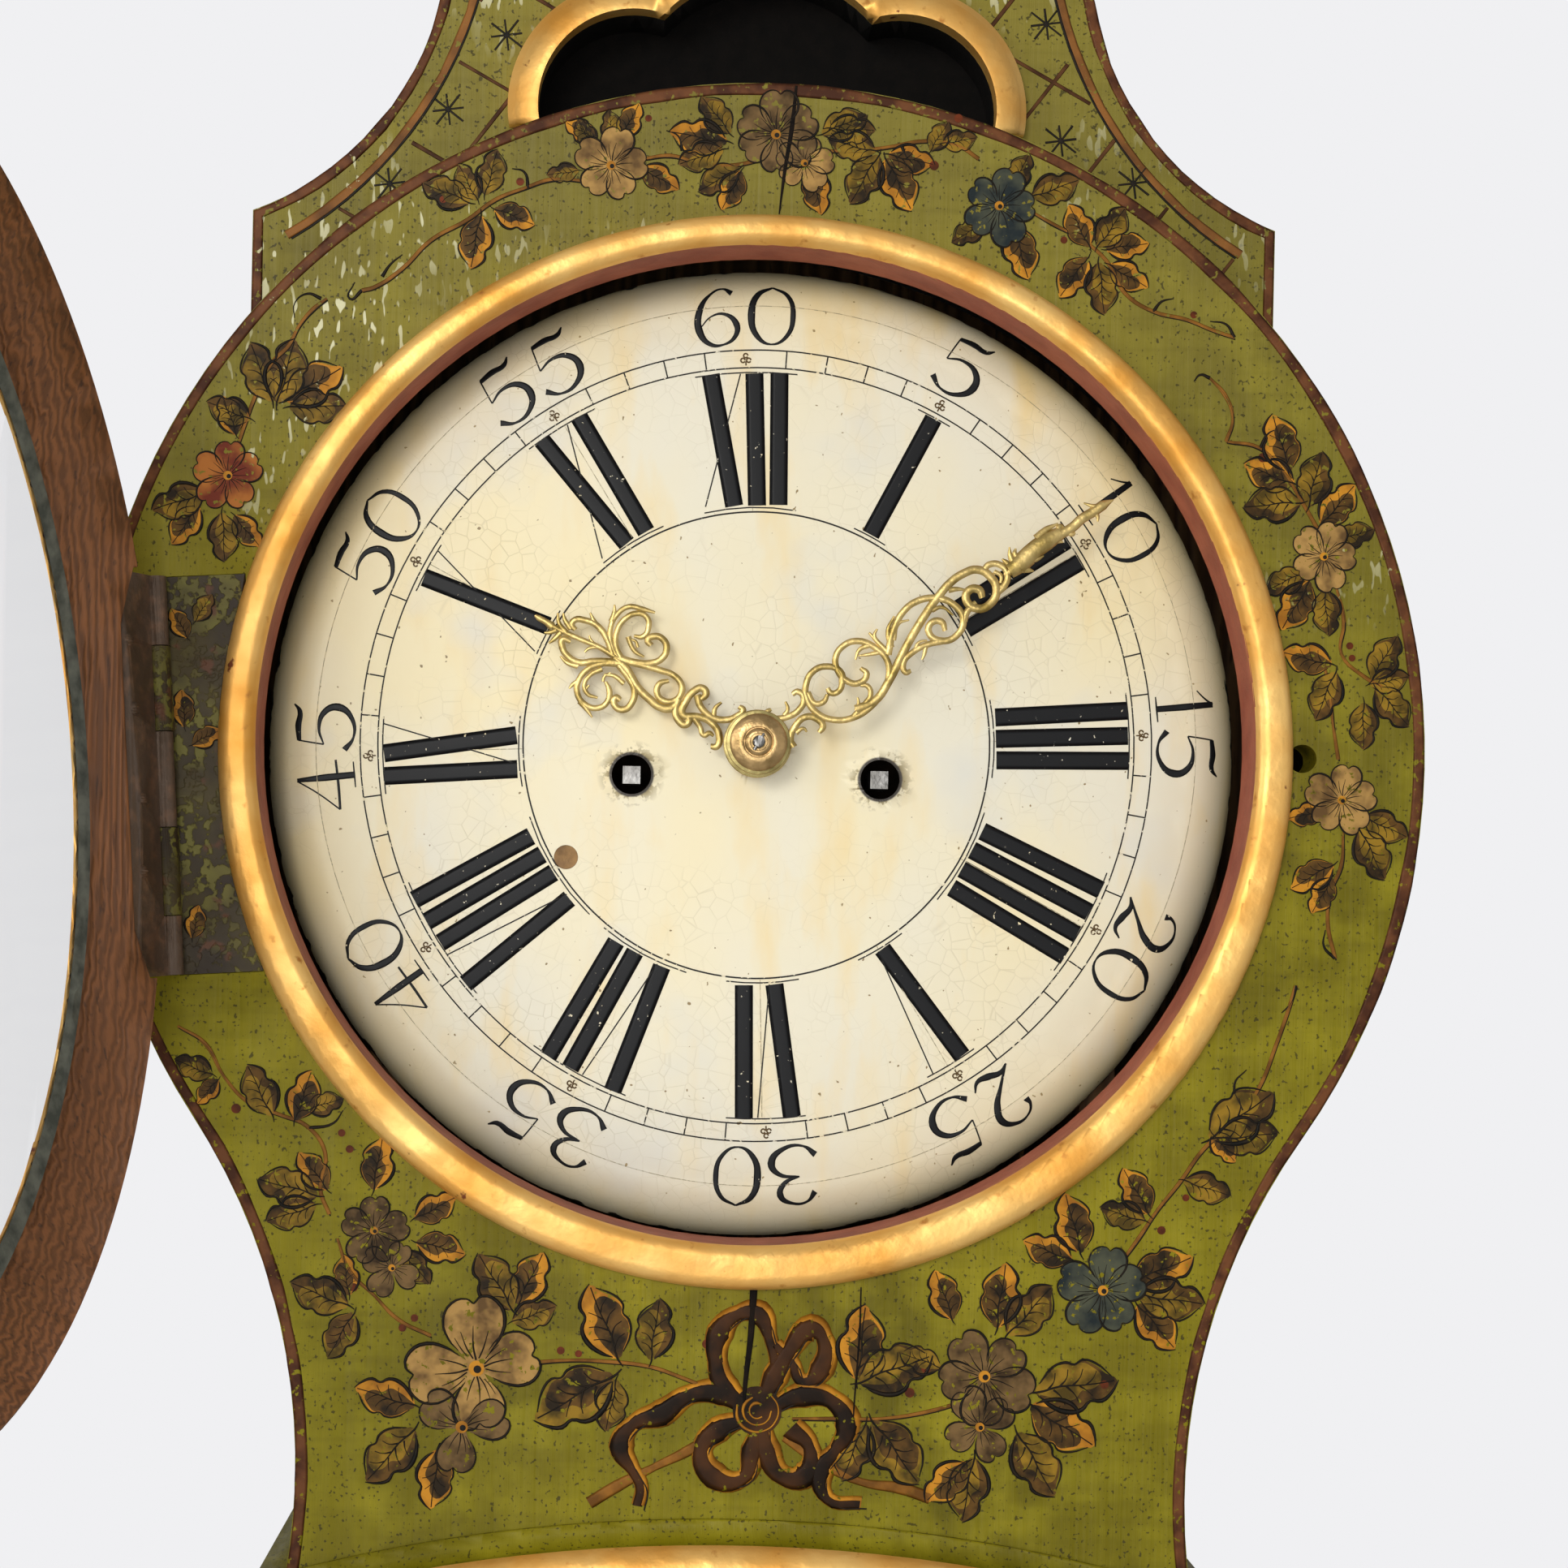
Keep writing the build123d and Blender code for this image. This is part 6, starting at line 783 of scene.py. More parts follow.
def half_board(z):
    """Half the width of the head board's field for leaves, at a height."""
    head_r, neck_r, join = board_curves(EDGE_INSET)
    if z > join[1]:
        return math.sqrt(max(head_r**2 - z * z, 0))
    return NECK_X - math.sqrt(max(neck_r**2 - (z - NECK_Z) ** 2, 0))


def crossing(x, z, length, turn):
    """How far a leaf crosses the border or the ring, and whether it goes inwards, 1, or outwards, -1."""
    worst, inwards = 0, 0
    turn = math.radians(turn)
    for share in (1.0, 0.75, 0.5, 0.25):
        for side in LEAF_SIDES if share < 1 else (0,):
            px = x + length * (share * math.cos(turn) - side * math.sin(turn))
            pz = z + length * (share * math.sin(turn) + side * math.cos(turn))
            past_edge = math.hypot(px, pz) - EDGE_REACH if pz > -100 else abs(px) - half_board(pz)
            past_ring = RING_REACH - math.hypot(px, pz - RING_RISE)
            for past, way in ((past_edge, 1), (past_ring, -1)):
                if past > worst:
                    worst, inwards = past, way
    return worst, inwards


def seated(x, z, length, turn, kind):
    """A leaf moved and shortened by turns, in small steps, until it clears the border and the ring."""
    for attempt in range(14):
        past, inwards = crossing(x, z, length, turn)
        if past <= 0:
            break
        if attempt % 2:
            length *= 0.95
        else:
            step, reach = min(past, 0.8) * inwards, math.hypot(x, z)
            x, z = x - x / reach * step, z - z / reach * step
    return round(x, 1), round(z, 1), round(length, 1), turn, kind


LEAVES = [
    seated(*on_board(x, y), round(length * PIXEL, 1) * LEAF_GROWTH, turn, kind)
    for x, y, length, turn, kind in LEAF_PIXELS
]
# each flower's middle and petal length in pixels, its bearing, its petals, and its kind: 0 tan, 1 brown,
# 2 blue-black, 3 red ochre
FLOWER_PIXELS = (
    (762, 208, 46, 10, 5, 0), (965, 170, 50, 30, 6, 1), (1000, 205, 36, 80, 5, 0), (1240, 258, 46, 0, 5, 2),
    (290, 590, 46, 20, 5, 3), (470, 1520, 40, 15, 5, 1), (492, 1566, 36, 60, 4, 1),
    (596, 1690, 80, 100, 4, 0), (578, 1762, 62, -100, 3, 1), (1222, 1700, 60, 45, 5, 1),
    (1216, 1762, 46, -60, 4, 1), (1368, 1594, 52, 15, 5, 2), (1640, 690, 42, 0, 5, 0),
    (1662, 990, 44, 10, 5, 0),
)
FLOWERS = [
    (*on_board(x, y), round(length * PIXEL, 1), turn, petals, kind)
    for x, y, length, turn, petals, kind in FLOWER_PIXELS
]

# ---------------------------------------------------------------- scrolls of the hands
HOUR_SCROLLS = hand_scrolls(
    corner=(650, 720), zoom=4.612, pixel=0.3192, turn=HOUR_TURN,
    scrolls=(
        (((520, 400), (600, 428), (700, 452), (790, 478), (850, 500), (898, 550), (902, 605), (865, 648),
         (805, 650), (765, 612), (775, 555), (830, 535)), 1.1, 0.6),
        (((520, 400), (590, 470), (650, 570), (720, 640), (780, 685), (840, 692), (885, 655)), 1.1, 1.1),
        (((550, 420), (505, 335), (497, 250), (530, 165), (600, 115), (680, 128), (752, 148)), 1, 0.4),
        (((560, 415), (528, 330), (540, 240), (585, 180), (645, 152), (702, 170), (716, 230), (682, 285),
         (632, 280)), 1, 0.5),
        (((545, 405), (640, 430), (720, 436), (790, 410), (817, 350), (797, 300), (747, 283), (710, 305),
         (730, 335)), 1, 0.8),
        (((690, 400), (640, 370), (612, 325), (600, 285)), 0.35, 0.9),
        (((520, 395), (430, 342), (350, 308), (280, 278), (200, 240), (140, 208), (72, 166)), 0.9, 0.5),
        (((170, 228), (130, 200), (90, 178), (68, 164)), 1.3, 0.25),
        (((245, 262), (205, 205), (200, 150)), 0.9, 0.3), (((275, 240), (240, 190), (230, 150)), 0.9, 0.3),
        (((445, 250), (405, 195), (383, 148)), 0.9, 0.3), (((505, 200), (520, 150), (522, 103)), 1, 0.25),
        (((190, 248), (150, 262), (122, 262)), 0.8, 0.3), (((215, 262), (175, 300), (148, 322)), 0.9, 0.3),
        (((510, 385), (472, 285), (420, 220), (350, 190), (300, 188), (278, 218), (300, 245)), 1, 0.7),
        (((570, 440), (480, 425), (400, 425), (325, 432), (262, 402), (225, 345), (228, 300), (272, 312)),
         1.1, 0.7),
        (((212, 395), (255, 435), (315, 452)), 0.3, 0.9),
        (((540, 435), (440, 440), (370, 470), (320, 530), (308, 600), (350, 668), (430, 690), (482, 652),
         (492, 590), (470, 540)), 1.1, 0.5),
        (((545, 445), (602, 520), (634, 590), (620, 660), (572, 700), (518, 668), (530, 630), (555, 645)), 1,
         0.8),
        (((312, 540), (280, 560), (263, 580)), 0.8, 0.25), (((325, 650), (365, 700), (395, 745)), 1, 0.25),
        (((450, 468), (385, 500), (350, 560), (368, 610), (425, 632)), 0.8, 0.4),
        (((462, 500), (520, 508), (575, 552)), 0.4, 0.8), (((455, 540), (465, 510), (500, 490)), 0.5, 0.3),
        (((885, 640), (868, 700), (885, 760), (925, 785), (945, 752), (905, 722), (925, 655), (975, 592),
         (1020, 578), (1042, 608), (1012, 642)), 1.2, 0.8),
        (((990, 615), (1010, 680), (1080, 745), (1160, 757), (1220, 735), (1252, 702), (1228, 682)), 1.1,
         0.7),
        (((1085, 740), (1095, 690), (1130, 658)), 0.8, 0.4),
        (((920, 738), (1010, 742), (1080, 782), (1117, 850), (1102, 908), (1068, 908)), 1.1, 0.8),
        (((975, 748), (1008, 800), (1028, 845), (1062, 832), (1085, 850)), 1, 0.4),
        (((410, 330), (385, 300), (378, 278)), 0.5, 0.25), (((430, 345), (380, 350), (352, 372)), 0.5, 0.35),
        (((600, 300), (640, 310), (655, 345)), 0.3, 0.5), (((375, 560), (360, 590), (378, 628)), 0.4, 0.3),
    ),
)
MINUTE_SCROLLS = hand_scrolls(
    corner=(930, 600), zoom=3.409, pixel=0.3168, turn=MINUTE_TURN,
    scrolls=(
        (((30, 950), (80, 968), (150, 962), (203, 930), (222, 882), (196, 855), (174, 868)), 1, 0.7),
        (((75, 960), (70, 940), (85, 930)), 0.9, 0.5), (((140, 955), (155, 930), (145, 898)), 0.7, 0.35),
        (((180, 1088), (166, 1060), (186, 1000), (232, 962), (280, 972), (302, 1002), (286, 1028)), 1.1, 0.7),
        (((190, 1030), (220, 1010), (235, 1025)), 0.7, 0.3),
        (((385, 822), (376, 772), (320, 750), (262, 770), (230, 830), (236, 890), (280, 948), (350, 975),
         (430, 965), (500, 922), (550, 860), (580, 785), (570, 720), (520, 670), (450, 643), (390, 662),
         (356, 712), (366, 770), (402, 810), (450, 820), (486, 782), (460, 756)), 1.1, 0.6),
        (((384, 800), (372, 850), (335, 862), (322, 840)), 0.9, 0.7),
        (((238, 860), (268, 905), (305, 898), (322, 868)), 0.9, 0.6),
        (((430, 962), (480, 905), (503, 868), (490, 832), (460, 830)), 0.9, 0.5),
        (((440, 935), (452, 900), (448, 880)), 0.6, 0.25),
        (((440, 930), (520, 895), (580, 810), (640, 690), (690, 600), (740, 520), (785, 458), (835, 400),
         (892, 360), (950, 343), (1003, 370), (1032, 430), (1003, 488), (952, 507), (905, 472), (915, 430),
         (958, 428), (972, 462)), 1.3, 0.9),
        (((575, 700), (598, 600), (640, 520), (700, 475), (780, 463), (852, 490), (892, 552), (862, 622),
         (800, 642), (748, 610), (757, 568), (800, 562), (815, 600)), 1.1, 0.7),
        (((585, 700), (530, 645), (495, 608)), 0.9, 0.35), (((545, 660), (518, 620), (530, 592)), 0.7, 0.3),
        (((590, 670), (575, 600), (602, 538)), 0.9, 0.3), (((600, 640), (620, 570), (665, 555)), 0.7, 0.25),
        (((500, 660), (455, 680), (438, 722)), 0.8, 0.3), (((540, 690), (490, 700), (450, 705)), 0.7, 0.25),
        (((812, 642), (742, 658), (680, 690), (640, 738), (650, 775), (672, 768)), 1, 0.6),
        (((735, 665), (728, 700), (718, 722)), 0.7, 0.3), (((690, 680), (705, 650), (740, 640)), 0.6, 0.3),
        (((830, 430), (865, 425), (900, 428)), 0.9, 0.3), (((760, 515), (800, 500), (850, 535)), 0.7, 0.3),
        (((978, 345), (1000, 322), (1050, 325), (1077, 362), (1066, 408), (1045, 420)), 0.9, 0.8),
        (((1020, 350), (1050, 370), (1048, 400)), 0.7, 0.4),
        (((895, 560), (905, 525), (925, 498), (945, 480)), 1, 0.7),
        (((1035, 440), (1060, 420), (1072, 405)), 0.9, 0.8),
        (((1085, 350), (1130, 320), (1170, 290)), 3.4, 3.6),
        (((1120, 330), (1180, 270), (1240, 225), (1300, 190)), 4.2, 3),
        (((1230, 230), (1300, 195), (1350, 165), (1390, 130), (1440, 100), (1480, 72), (1522, 50)), 3.6, 0.3),
        (((1090, 330), (1068, 310), (1055, 298)), 1.6, 0.4),
        (((1100, 310), (1088, 280), (1086, 248)), 1.7, 0.3),
        (((1125, 300), (1108, 275), (1112, 255)), 1.6, 0.4),
        (((1090, 350), (1075, 362), (1090, 382)), 1.8, 0.8),
        (((1140, 340), (1165, 345), (1188, 350)), 1.9, 0.3),
        (((1180, 300), (1200, 300), (1230, 285)), 1.7, 0.3),
        (((1255, 225), (1290, 225), (1312, 228)), 1.6, 0.3),
        (((1200, 215), (1240, 175), (1290, 150)), 2.2, 0.4),
        (((1290, 180), (1300, 160), (1316, 168)), 1.6, 0.4),
        (((1440, 100), (1455, 120), (1456, 142)), 0.9, 0.25),
        (((1465, 80), (1430, 75), (1398, 64)), 0.8, 0.25),
        (((1330, 180), (1350, 195), (1362, 188)), 1.1, 0.3),
    ),
)

# ---------------------------------------------------------------- leaves, petals and strokes
# one leaf, 1 long from its base at the origin: its dab, its shaded middle, its outline and its veins
LEAF_SHAPE = (
    (0, 0), (0.10, 0.13), (0.24, 0.25), (0.40, 0.30), (0.52, 0.26), (0.60, 0.30), (0.74, 0.24), (0.88, 0.10),
    (1.0, 0.0), (0.90, -0.12), (0.76, -0.20), (0.64, -0.18), (0.50, -0.27), (0.32, -0.27), (0.14, -0.15),
)
LEAF_SHADE = (
    (0.0, 0.02), (0.10, 0.12), (0.24, 0.24), (0.40, 0.29), (0.52, 0.25), (0.60, 0.28), (0.72, 0.21),
    (0.82, 0.07), (0.72, -0.05), (0.56, -0.06), (0.46, -0.15), (0.30, -0.13), (0.12, -0.06),
)
LEAF_LINES = (
    ([(-0.12, 0.03), (0.0, 0.0), (0.3, 0.03), (0.62, 0.0), (0.97, 0.0)], [0.008, 0.014, 0.012, 0.008]),
    ([(0.04, -0.05), (0.14, -0.17), (0.34, -0.29), (0.52, -0.29), (0.64, -0.20), (0.78, -0.22), (0.92, -0.13),
      (1.02, 0.0)], [0.006, 0.026, 0.034, 0.026, 0.016, 0.026, 0.018, 0.006]),
    ([(0.06, 0.10), (0.24, 0.27), (0.42, 0.31), (0.52, 0.27), (0.62, 0.31), (0.78, 0.24), (0.94, 0.06)],
     [0.006, 0.014, 0.016, 0.01, 0.014, 0.014, 0.006]),
    ([(0.16, 0.02), (0.24, 0.10), (0.27, 0.20)], [0.014, 0.006]),
    ([(0.30, 0.03), (0.40, 0.12), (0.43, 0.22)], [0.014, 0.006]),
    ([(0.46, 0.02), (0.56, 0.10), (0.61, 0.20)], [0.014, 0.006]),
    ([(0.62, 0.0), (0.72, 0.07), (0.77, 0.15)], [0.012, 0.005]),
    ([(0.22, 0.0), (0.30, -0.10), (0.33, -0.20)], [0.014, 0.006]),
    ([(0.38, 0.02), (0.47, -0.10), (0.50, -0.20)], [0.014, 0.006]),
    ([(0.54, 0.0), (0.62, -0.07), (0.68, -0.14)], [0.012, 0.005]),
)
PETAL_SHAPE = (
    (0, 0.03), (0.18, 0.17), (0.42, 0.36), (0.70, 0.43), (0.92, 0.30), (0.97, 0.10), (0.90, 0.0),
    (1.0, -0.12), (0.92, -0.32), (0.68, -0.42), (0.40, -0.33), (0.16, -0.15),
)
PETAL_LINES = (
    ([(0.26, 0.24), (0.42, 0.37), (0.70, 0.44), (0.93, 0.31), (0.98, 0.10), (0.91, 0.0)],
     [0.004, 0.014, 0.018, 0.018, 0.012, 0.008]),
    ([(0.91, 0.0), (1.01, -0.12), (0.93, -0.33), (0.68, -0.43), (0.40, -0.34), (0.22, -0.20)],
     [0.01, 0.018, 0.026, 0.028, 0.02, 0.004]),
    ([(0.12, 0.0), (0.30, 0.03), (0.60, 0.02)], [0.014, 0.012, 0.004]),
    ([(0.14, 0.04), (0.28, 0.12), (0.52, 0.20)], [0.010, 0.010, 0.004]),
    ([(0.14, -0.04), (0.28, -0.11), (0.52, -0.19)], [0.010, 0.010, 0.004]),
    ([(0.18, 0.12), (0.28, 0.20), (0.44, 0.29)], [0.006, 0.008, 0.004]),
)


def spray(label, leaves, flowers, stems, thin, buds, front_y, origin, body, slot):
    """Paints leaves, flowers, stems and buds on a face."""

    def lay(drawing, name, finish):
        settle(hang(drawing, front_y, origin), label + name, finish, body)

    leaf_dab, leaf_shade, petal_dab = patch(LEAF_SHAPE), patch(LEAF_SHADE), patch(PETAL_SHAPE)
    leaf_lines = brushwork([(p, w, False) for p, w in LEAF_LINES], 0.6, 0, 3)
    petal_lines = brushwork([(p, w, False) for p, w in PETAL_LINES], 0.6, 0, 3)
    dot = patch(arc((0, 0), 0.5, 0, 315, 7))
    sided = [(leaf, 1 if i % 2 else -1) for i, leaf in enumerate(leaves)]
    tones = ((LEAF_OCHRE, LEAF_UMBER), (LEAF_UMBER, LEAF_OLIVE), (LEAF_OLIVE, LEAF_UMBER))
    for kind, (dab, shade) in enumerate(tones):
        spots = [leaf[:4] + (side,) for leaf, side in sided if leaf[4] == kind]
        if spots:
            lay(strew(leaf_dab, spots, 0.01 * kind), f"_leaf_dabs_{kind}", dab)
            lay(strew(leaf_shade, spots, 0.05 + 0.01 * kind), f"_leaf_shades_{kind}", shade)
    lay(strew(leaf_lines, [leaf[:4] + (side,) for leaf, side in sided], 0.10), "_leaf_outlines", OUTLINE)
    rims = []
    for kind, tone in enumerate((PETAL_TAN, PETAL_BROWN, PETAL_BLUE, PETAL_RED)):
        spots = []
        for x, z, size, turn, petals, k in flowers:
            for i in range(petals):
                if k == kind:
                    grow = size * (0.9 + 0.2 * dice.random())
                    spots.append((x, z, grow, turn + 360 / petals * i + dice.uniform(-7, 7), 1))
        if spots:
            lay(strew(petal_dab, spots, 0.15 + 0.03 * kind), f"_petals_{kind}", tone)
            rims += spots
    if rims:
        lay(strew(petal_lines, rims, 0.28), "_petal_outlines", OUTLINE)
        eyes = [(x, z, size * 0.24, 0, 1) for x, z, size, turn, petals, k in flowers]
        lay(strew(dot, eyes, 0.32), "_eyes", LEAF_OCHRE)
        pupils = [(x + 0.4, z - 0.3, size / 2, 0, 1) for x, z, size, _, _ in eyes]
        lay(strew(dot, pupils, 0.36), "_eye_dots", OUTLINE)
    if buds:
        lay(strew(dot, [(x, z, 2.6 + 1.2 * dice.random(), 0, 1) for x, z in buds], 0.04), "_berries", BERRY)
    if stems:
        lay(brushwork([(p, [0.5, 0.85, 0.6, 0.8], False) for p in stems], 0.1, 1), "_stems", STEM)
        under = [([(x + 0.4, z - 0.7) for x, z in p], [0.25, 0.45, 0.3], False) for p in stems]
        lay(brushwork(under, 0.2, 0), "_stem_shadows", OUTLINE)
    if thin:
        lay(brushwork([(p, [0.75, 0.45, 0.2], False) for p in thin], 0.2, 0), "_tendrils", OUTLINE)
    for pattern in (leaf_dab, leaf_shade, petal_dab, leaf_lines, petal_lines, dot):
        bpy.data.objects.remove(pattern)


spray("head", LEAVES, FLOWERS, STEMS, TENDRILS, BUDS, BOARD_Y, (0, HEAD_Z), "head", "painted_wood")


def tied_bow(label, front_y, origin, body):
    """Paints the ribbon that ties two sprays, with the cut ends of their twigs."""
    layers = (
        ("ochre", BOW[:6], (0, 0), [2.4, 5.4, 4.0, 5.6, 3.4, 5.2, 2.8], 0.05, 0.1, LEAF_OCHRE),
        ("umber", BOW[:6], (-0.5, -0.5), [1.7, 4.5, 3.1, 4.7, 2.5, 4.3, 1.9], 0.08, 0.16, RIBBON),
        ("outline", BOW[:6], (2.2, -2.2), [0.3, 0.5, 0.3], 0.3, 0.2, OUTLINE),
        ("twigs", BOW[6:], (0, 0), [1.7, 2.2, 1.5, 2.4], 0.05, 0.08, STEM),
    )
    for name, lines, (dx, dz), widths, squash, proud, finish in layers:
        strokes = [([(x + dx, z + dz) for x, z in line], widths, False) for line in lines]
        drawing = hang(brushwork(strokes, squash, 1), front_y, origin, proud)
        settle(drawing, f"{label}_bow_{name}", finish, body)
    knot = hang(patch(arc(BOW_KNOT, 9.5, 0, 315, 7)), front_y, origin, 0.3)
    settle(knot, label + "_bow_knot", RIBBON, body)
    curls = [(arc(BOW_KNOT, r, 20 * r, 20 * r + 250, 6), [0.3, 0.7, 0.5, 0.3], False) for r in (3, 5.5, 8.2)]
    curls = hang(brushwork(curls, 0.3, 0), front_y, origin, 0.36)
    settle(curls, label + "_bow_knot_lines", LEAF_OCHRE, body)


def picked(low, high, flip=1):
    """The part of the head's sprays that lies in a box, mirrored where flip is -1."""

    def inside(spot):
        return low[0] < spot[0] < high[0] and low[1] < spot[1] < high[1]

    def lines(group):
        return [[(flip * x, z) for x, z in line] for line in group if inside(line[0]) and inside(line[-1])]

    def turned_over(turn):
        return turn if flip > 0 else 180 - turn

    def motifs(group):
        return [
            (flip * x, z, size, turned_over(turn), *kind)
            for x, z, size, turn, *kind in group
            if inside((x, z))
        ]

    buds = [(flip * x, z) for x, z in BUDS if inside((x, z))]
    return motifs(LEAVES), motifs(FLOWERS), lines(STEMS), lines(TENDRILS), buds


tied_bow("head", BOARD_Y, (0, HEAD_Z), "head")

# the trunk, its door and the base carry sprays of the same hand
RIGHT_SPRAY = ((165, -90), (260, 150))
LOW_SPRAY = ((-166, -310), (166, -205))
LEFT_SPRAY = ((-230, -240), (-110, -100))
spray("door_top", *picked(*RIGHT_SPRAY), TRUNK_Y, (-210, 1205), "trunk_door", "painted_wood")
spray("door_foot", *picked(*LEFT_SPRAY), TRUNK_Y, (165, 900), "trunk_door", "painted_wood")
spray("right_flank", *picked(*RIGHT_SPRAY), TRUNK_Y, (-50, 880), "case", "painted_wood")
spray("left_flank", *picked(*RIGHT_SPRAY, -1), TRUNK_Y, (50, 880), "case", "painted_wood")
spray("base", *picked(*LOW_SPRAY), BASE_Y, (0, 535), "case", "painted_wood")
tied_bow("base", BASE_Y, (0, 535), "case")

# ---------------------------------------------------------------- edges, lattice and cracks
def neck_side(inset, foot_z):
    """The right half of the head's outline, drawn inset, from its foot to its top."""
    head_r, neck_r, join = board_curves(inset)
    foot_rise = foot_z - NECK_Z
    first = math.degrees(math.atan2(foot_rise, -math.sqrt(neck_r**2 - foot_rise**2)))
    last = math.degrees(math.atan2(join[1] - NECK_Z, join[0] - NECK_X))
    side = arc((NECK_X, NECK_Z), neck_r, first % 360, last % 360, 14)
    start_turn = math.degrees(math.atan2(join[1], join[0]))
    return side[:-1] + arc((0, 0), head_r, start_turn, 90, 26)


def crest_side(inset):
    """The right half of the crest's outline, drawn inset, from its foot to its top."""
    low = through((202 - inset, 211.5 - inset * 0.72), (154.5 - inset, 245), (129 - inset, 300), 14)
    horn = through((129 - inset, 300), (127 - inset, 330), (150 - inset * 1.15, 360), 8)
    top = through((150 - inset * 1.15, 370 - inset * 0.9), (104, 377 - inset), (66, 396 - inset), 10)
    peak = through((66, 396 - inset), (35, 414 - inset), (0, 420 - inset), 8)
    return [(202 - inset, 150)] + low + horn[1:] + top + peak[1:]


def ragged(points, width):
    """A hand-drawn line: its width wavers by a sixth."""
    return [width * dice.uniform(0.84, 1.16) for _ in points]


def rule(lines, name, finish, front_y, body, proud=0.05, squash=0.03):
    """Hand-ruled lines on a face."""
    drawing = brushwork([(p, ragged(p, w), straight) for p, w, straight in lines], squash, 1, 3)
    return settle(hang(drawing, front_y, proud=proud), name, finish, body)


head_edge = mirrored(neck_side(2.4, -345))
rule([(head_edge, 2.3, False)], "head_edge_border", BORDER, BOARD_Y, "head")
crest_edge = mirrored(crest_side(2.2))
rule([(crest_edge, 2.1, True)], "crest_edge_border", BORDER, CREST_Y, "head")
inner_edge = mirrored(crest_side(13.5)[1:])
rule([(inner_edge, 1.9, True)], "crest_inner_border", BORDER_OCHRE, CREST_Y, "head")
inner_line = mirrored(crest_side(15.4)[1:])
rule([(inner_line, 0.5, True)], "crest_inner_line", OUTLINE, CREST_Y, "head", 0.12, 0.2)


def swell(low, high, steps=7):
    """An S curve of two equal arcs, upright at both ends."""
    across, rise = (high[0] - low[0]) / 2, (high[1] - low[1]) / 2
    radius = (across**2 + rise**2) / (2 * across)
    turns = [math.asin(rise / abs(radius)) * i / steps for i in range(steps + 1)]
    first = [(low[0] + radius * (1 - math.cos(t)), low[1] + abs(radius) * math.sin(t)) for t in turns]
    return first + [(low[0] + high[0] - x, low[1] + high[1] - z) for x, z in reversed(first[:-1])]


FLARE_R = 840.6  # the trunk flares out under the head by this radius


def trunk_side(inset):
    """The right-hand edge of the trunk's front, drawn inset, from the base to the head."""
    belly, waist = (226 - inset, 920), (156 - inset, 1400)
    side = swell((196 - inset, 476), belly) + swell(belly, waist)[1:]
    side += [(156 - inset + FLARE_R - math.sqrt(FLARE_R**2 - rise**2), 1400 + rise) for rise in (30, 60, 92)]
    return [(x, z - HEAD_Z) for x, z in side if z > 500]


def framed(half, low, high, rise=0.0):
    """A panel's outline, its top arched by rise."""
    top = [(half, high), (-half, high)]
    if rise:
        top = through((half, high), (0, high + rise), (-half, high), 12)
    return [(x, z - HEAD_Z) for x, z in [(-half, low), (half, low)] + top + [(-half, low)]]


for sign in (1, -1):
    name = "right" if sign > 0 else "left"
    for inset, width, finish, label in ((2.2, 2.0, BORDER, "edge"), (13.0, 1.5, BORDER_OCHRE, "inner")):
        line = [(sign * x, z) for x, z in trunk_side(inset)]
        rule([(line, width, False)], f"trunk_{name}_{label}_border", finish, TRUNK_Y, "case")
for label, front_y, body, outlines in (
    ("door", TRUNK_Y, "trunk_door", (framed(102, 562, 1371, 45.5), framed(91, 573, 1367, 41))),
    ("base", BASE_Y, "case", (framed(219.8, 94, 453.6), framed(203, 112, 437))),
):
    for outline, width, finish, part in zip(outlines, (1.9, 1.5), (BORDER, BORDER_OCHRE), ("edge", "inner")):
        rule([(outline, width, True)], f"{label}_{part}_border", finish, front_y, body)


def inside_crest(x, z):
    """Whether a point of the lattice lies on the field of the crest that shows."""
    side = crest_side(15)
    width = 0
    for (ax, az), (bx, bz) in zip(side, side[1:]):
        if min(az, bz) <= z <= max(az, bz) and az != bz:
            width = max(width, ax + (bx - ax) * (z - az) / (bz - az))
    opened = math.hypot(abs(x) - 52.5, z - 254) < 47 or (abs(x) < 60 and z < 320)
    return abs(x) < width and math.hypot(x, z) > 260 and not opened and z < 404


bars, stars = [], []
LATTICE_MIDDLE = Vector((0, 310))
FIRST_PITCH, SECOND_PITCH = 37.0, 33.0
first, second = (Vector((math.cos(math.radians(lean)), math.sin(math.radians(lean)))) for lean in (-29, 53))
for run, pitch in ((first, FIRST_PITCH), (second, SECOND_PITCH)):
    across = Vector((-run.y, run.x))
    for row in range(-14, 15):
        bar = []
        for step in range(-110, 111):
            spot = LATTICE_MIDDLE + across * (row + 0.5) * pitch + run * step * 4
            if inside_crest(spot.x, spot.y):
                bar.append((spot.x, spot.y))
            else:
                if len(bar) > 2:
                    bars.append(([bar[0], bar[len(bar) // 2], bar[-1]], 0.75, False))
                bar = []
rule(bars, "crest_lattice", LATTICE, CREST_Y, "head", 0.08, 0.06)
slant = abs(first.x * second.y - first.y * second.x)
for i in range(-14, 15):
    for j in range(-14, 15):
        spot = LATTICE_MIDDLE + second * (i * FIRST_PITCH / slant) + first * (j * SECOND_PITCH / slant)
        if inside_crest(spot.x, spot.y):
            for ray in range(8):
                turn = math.radians(45 * ray + 8)
                reach = 7.6 if ray % 2 else 6.2
                tip = (spot.x + reach * math.cos(turn), spot.y + reach * math.sin(turn))
                stars.append(([(spot.x, spot.y), tip], 0.42, True))
rule(stars, "crest_stars", OUTLINE, CREST_Y, "head", 0.06, 0.2)

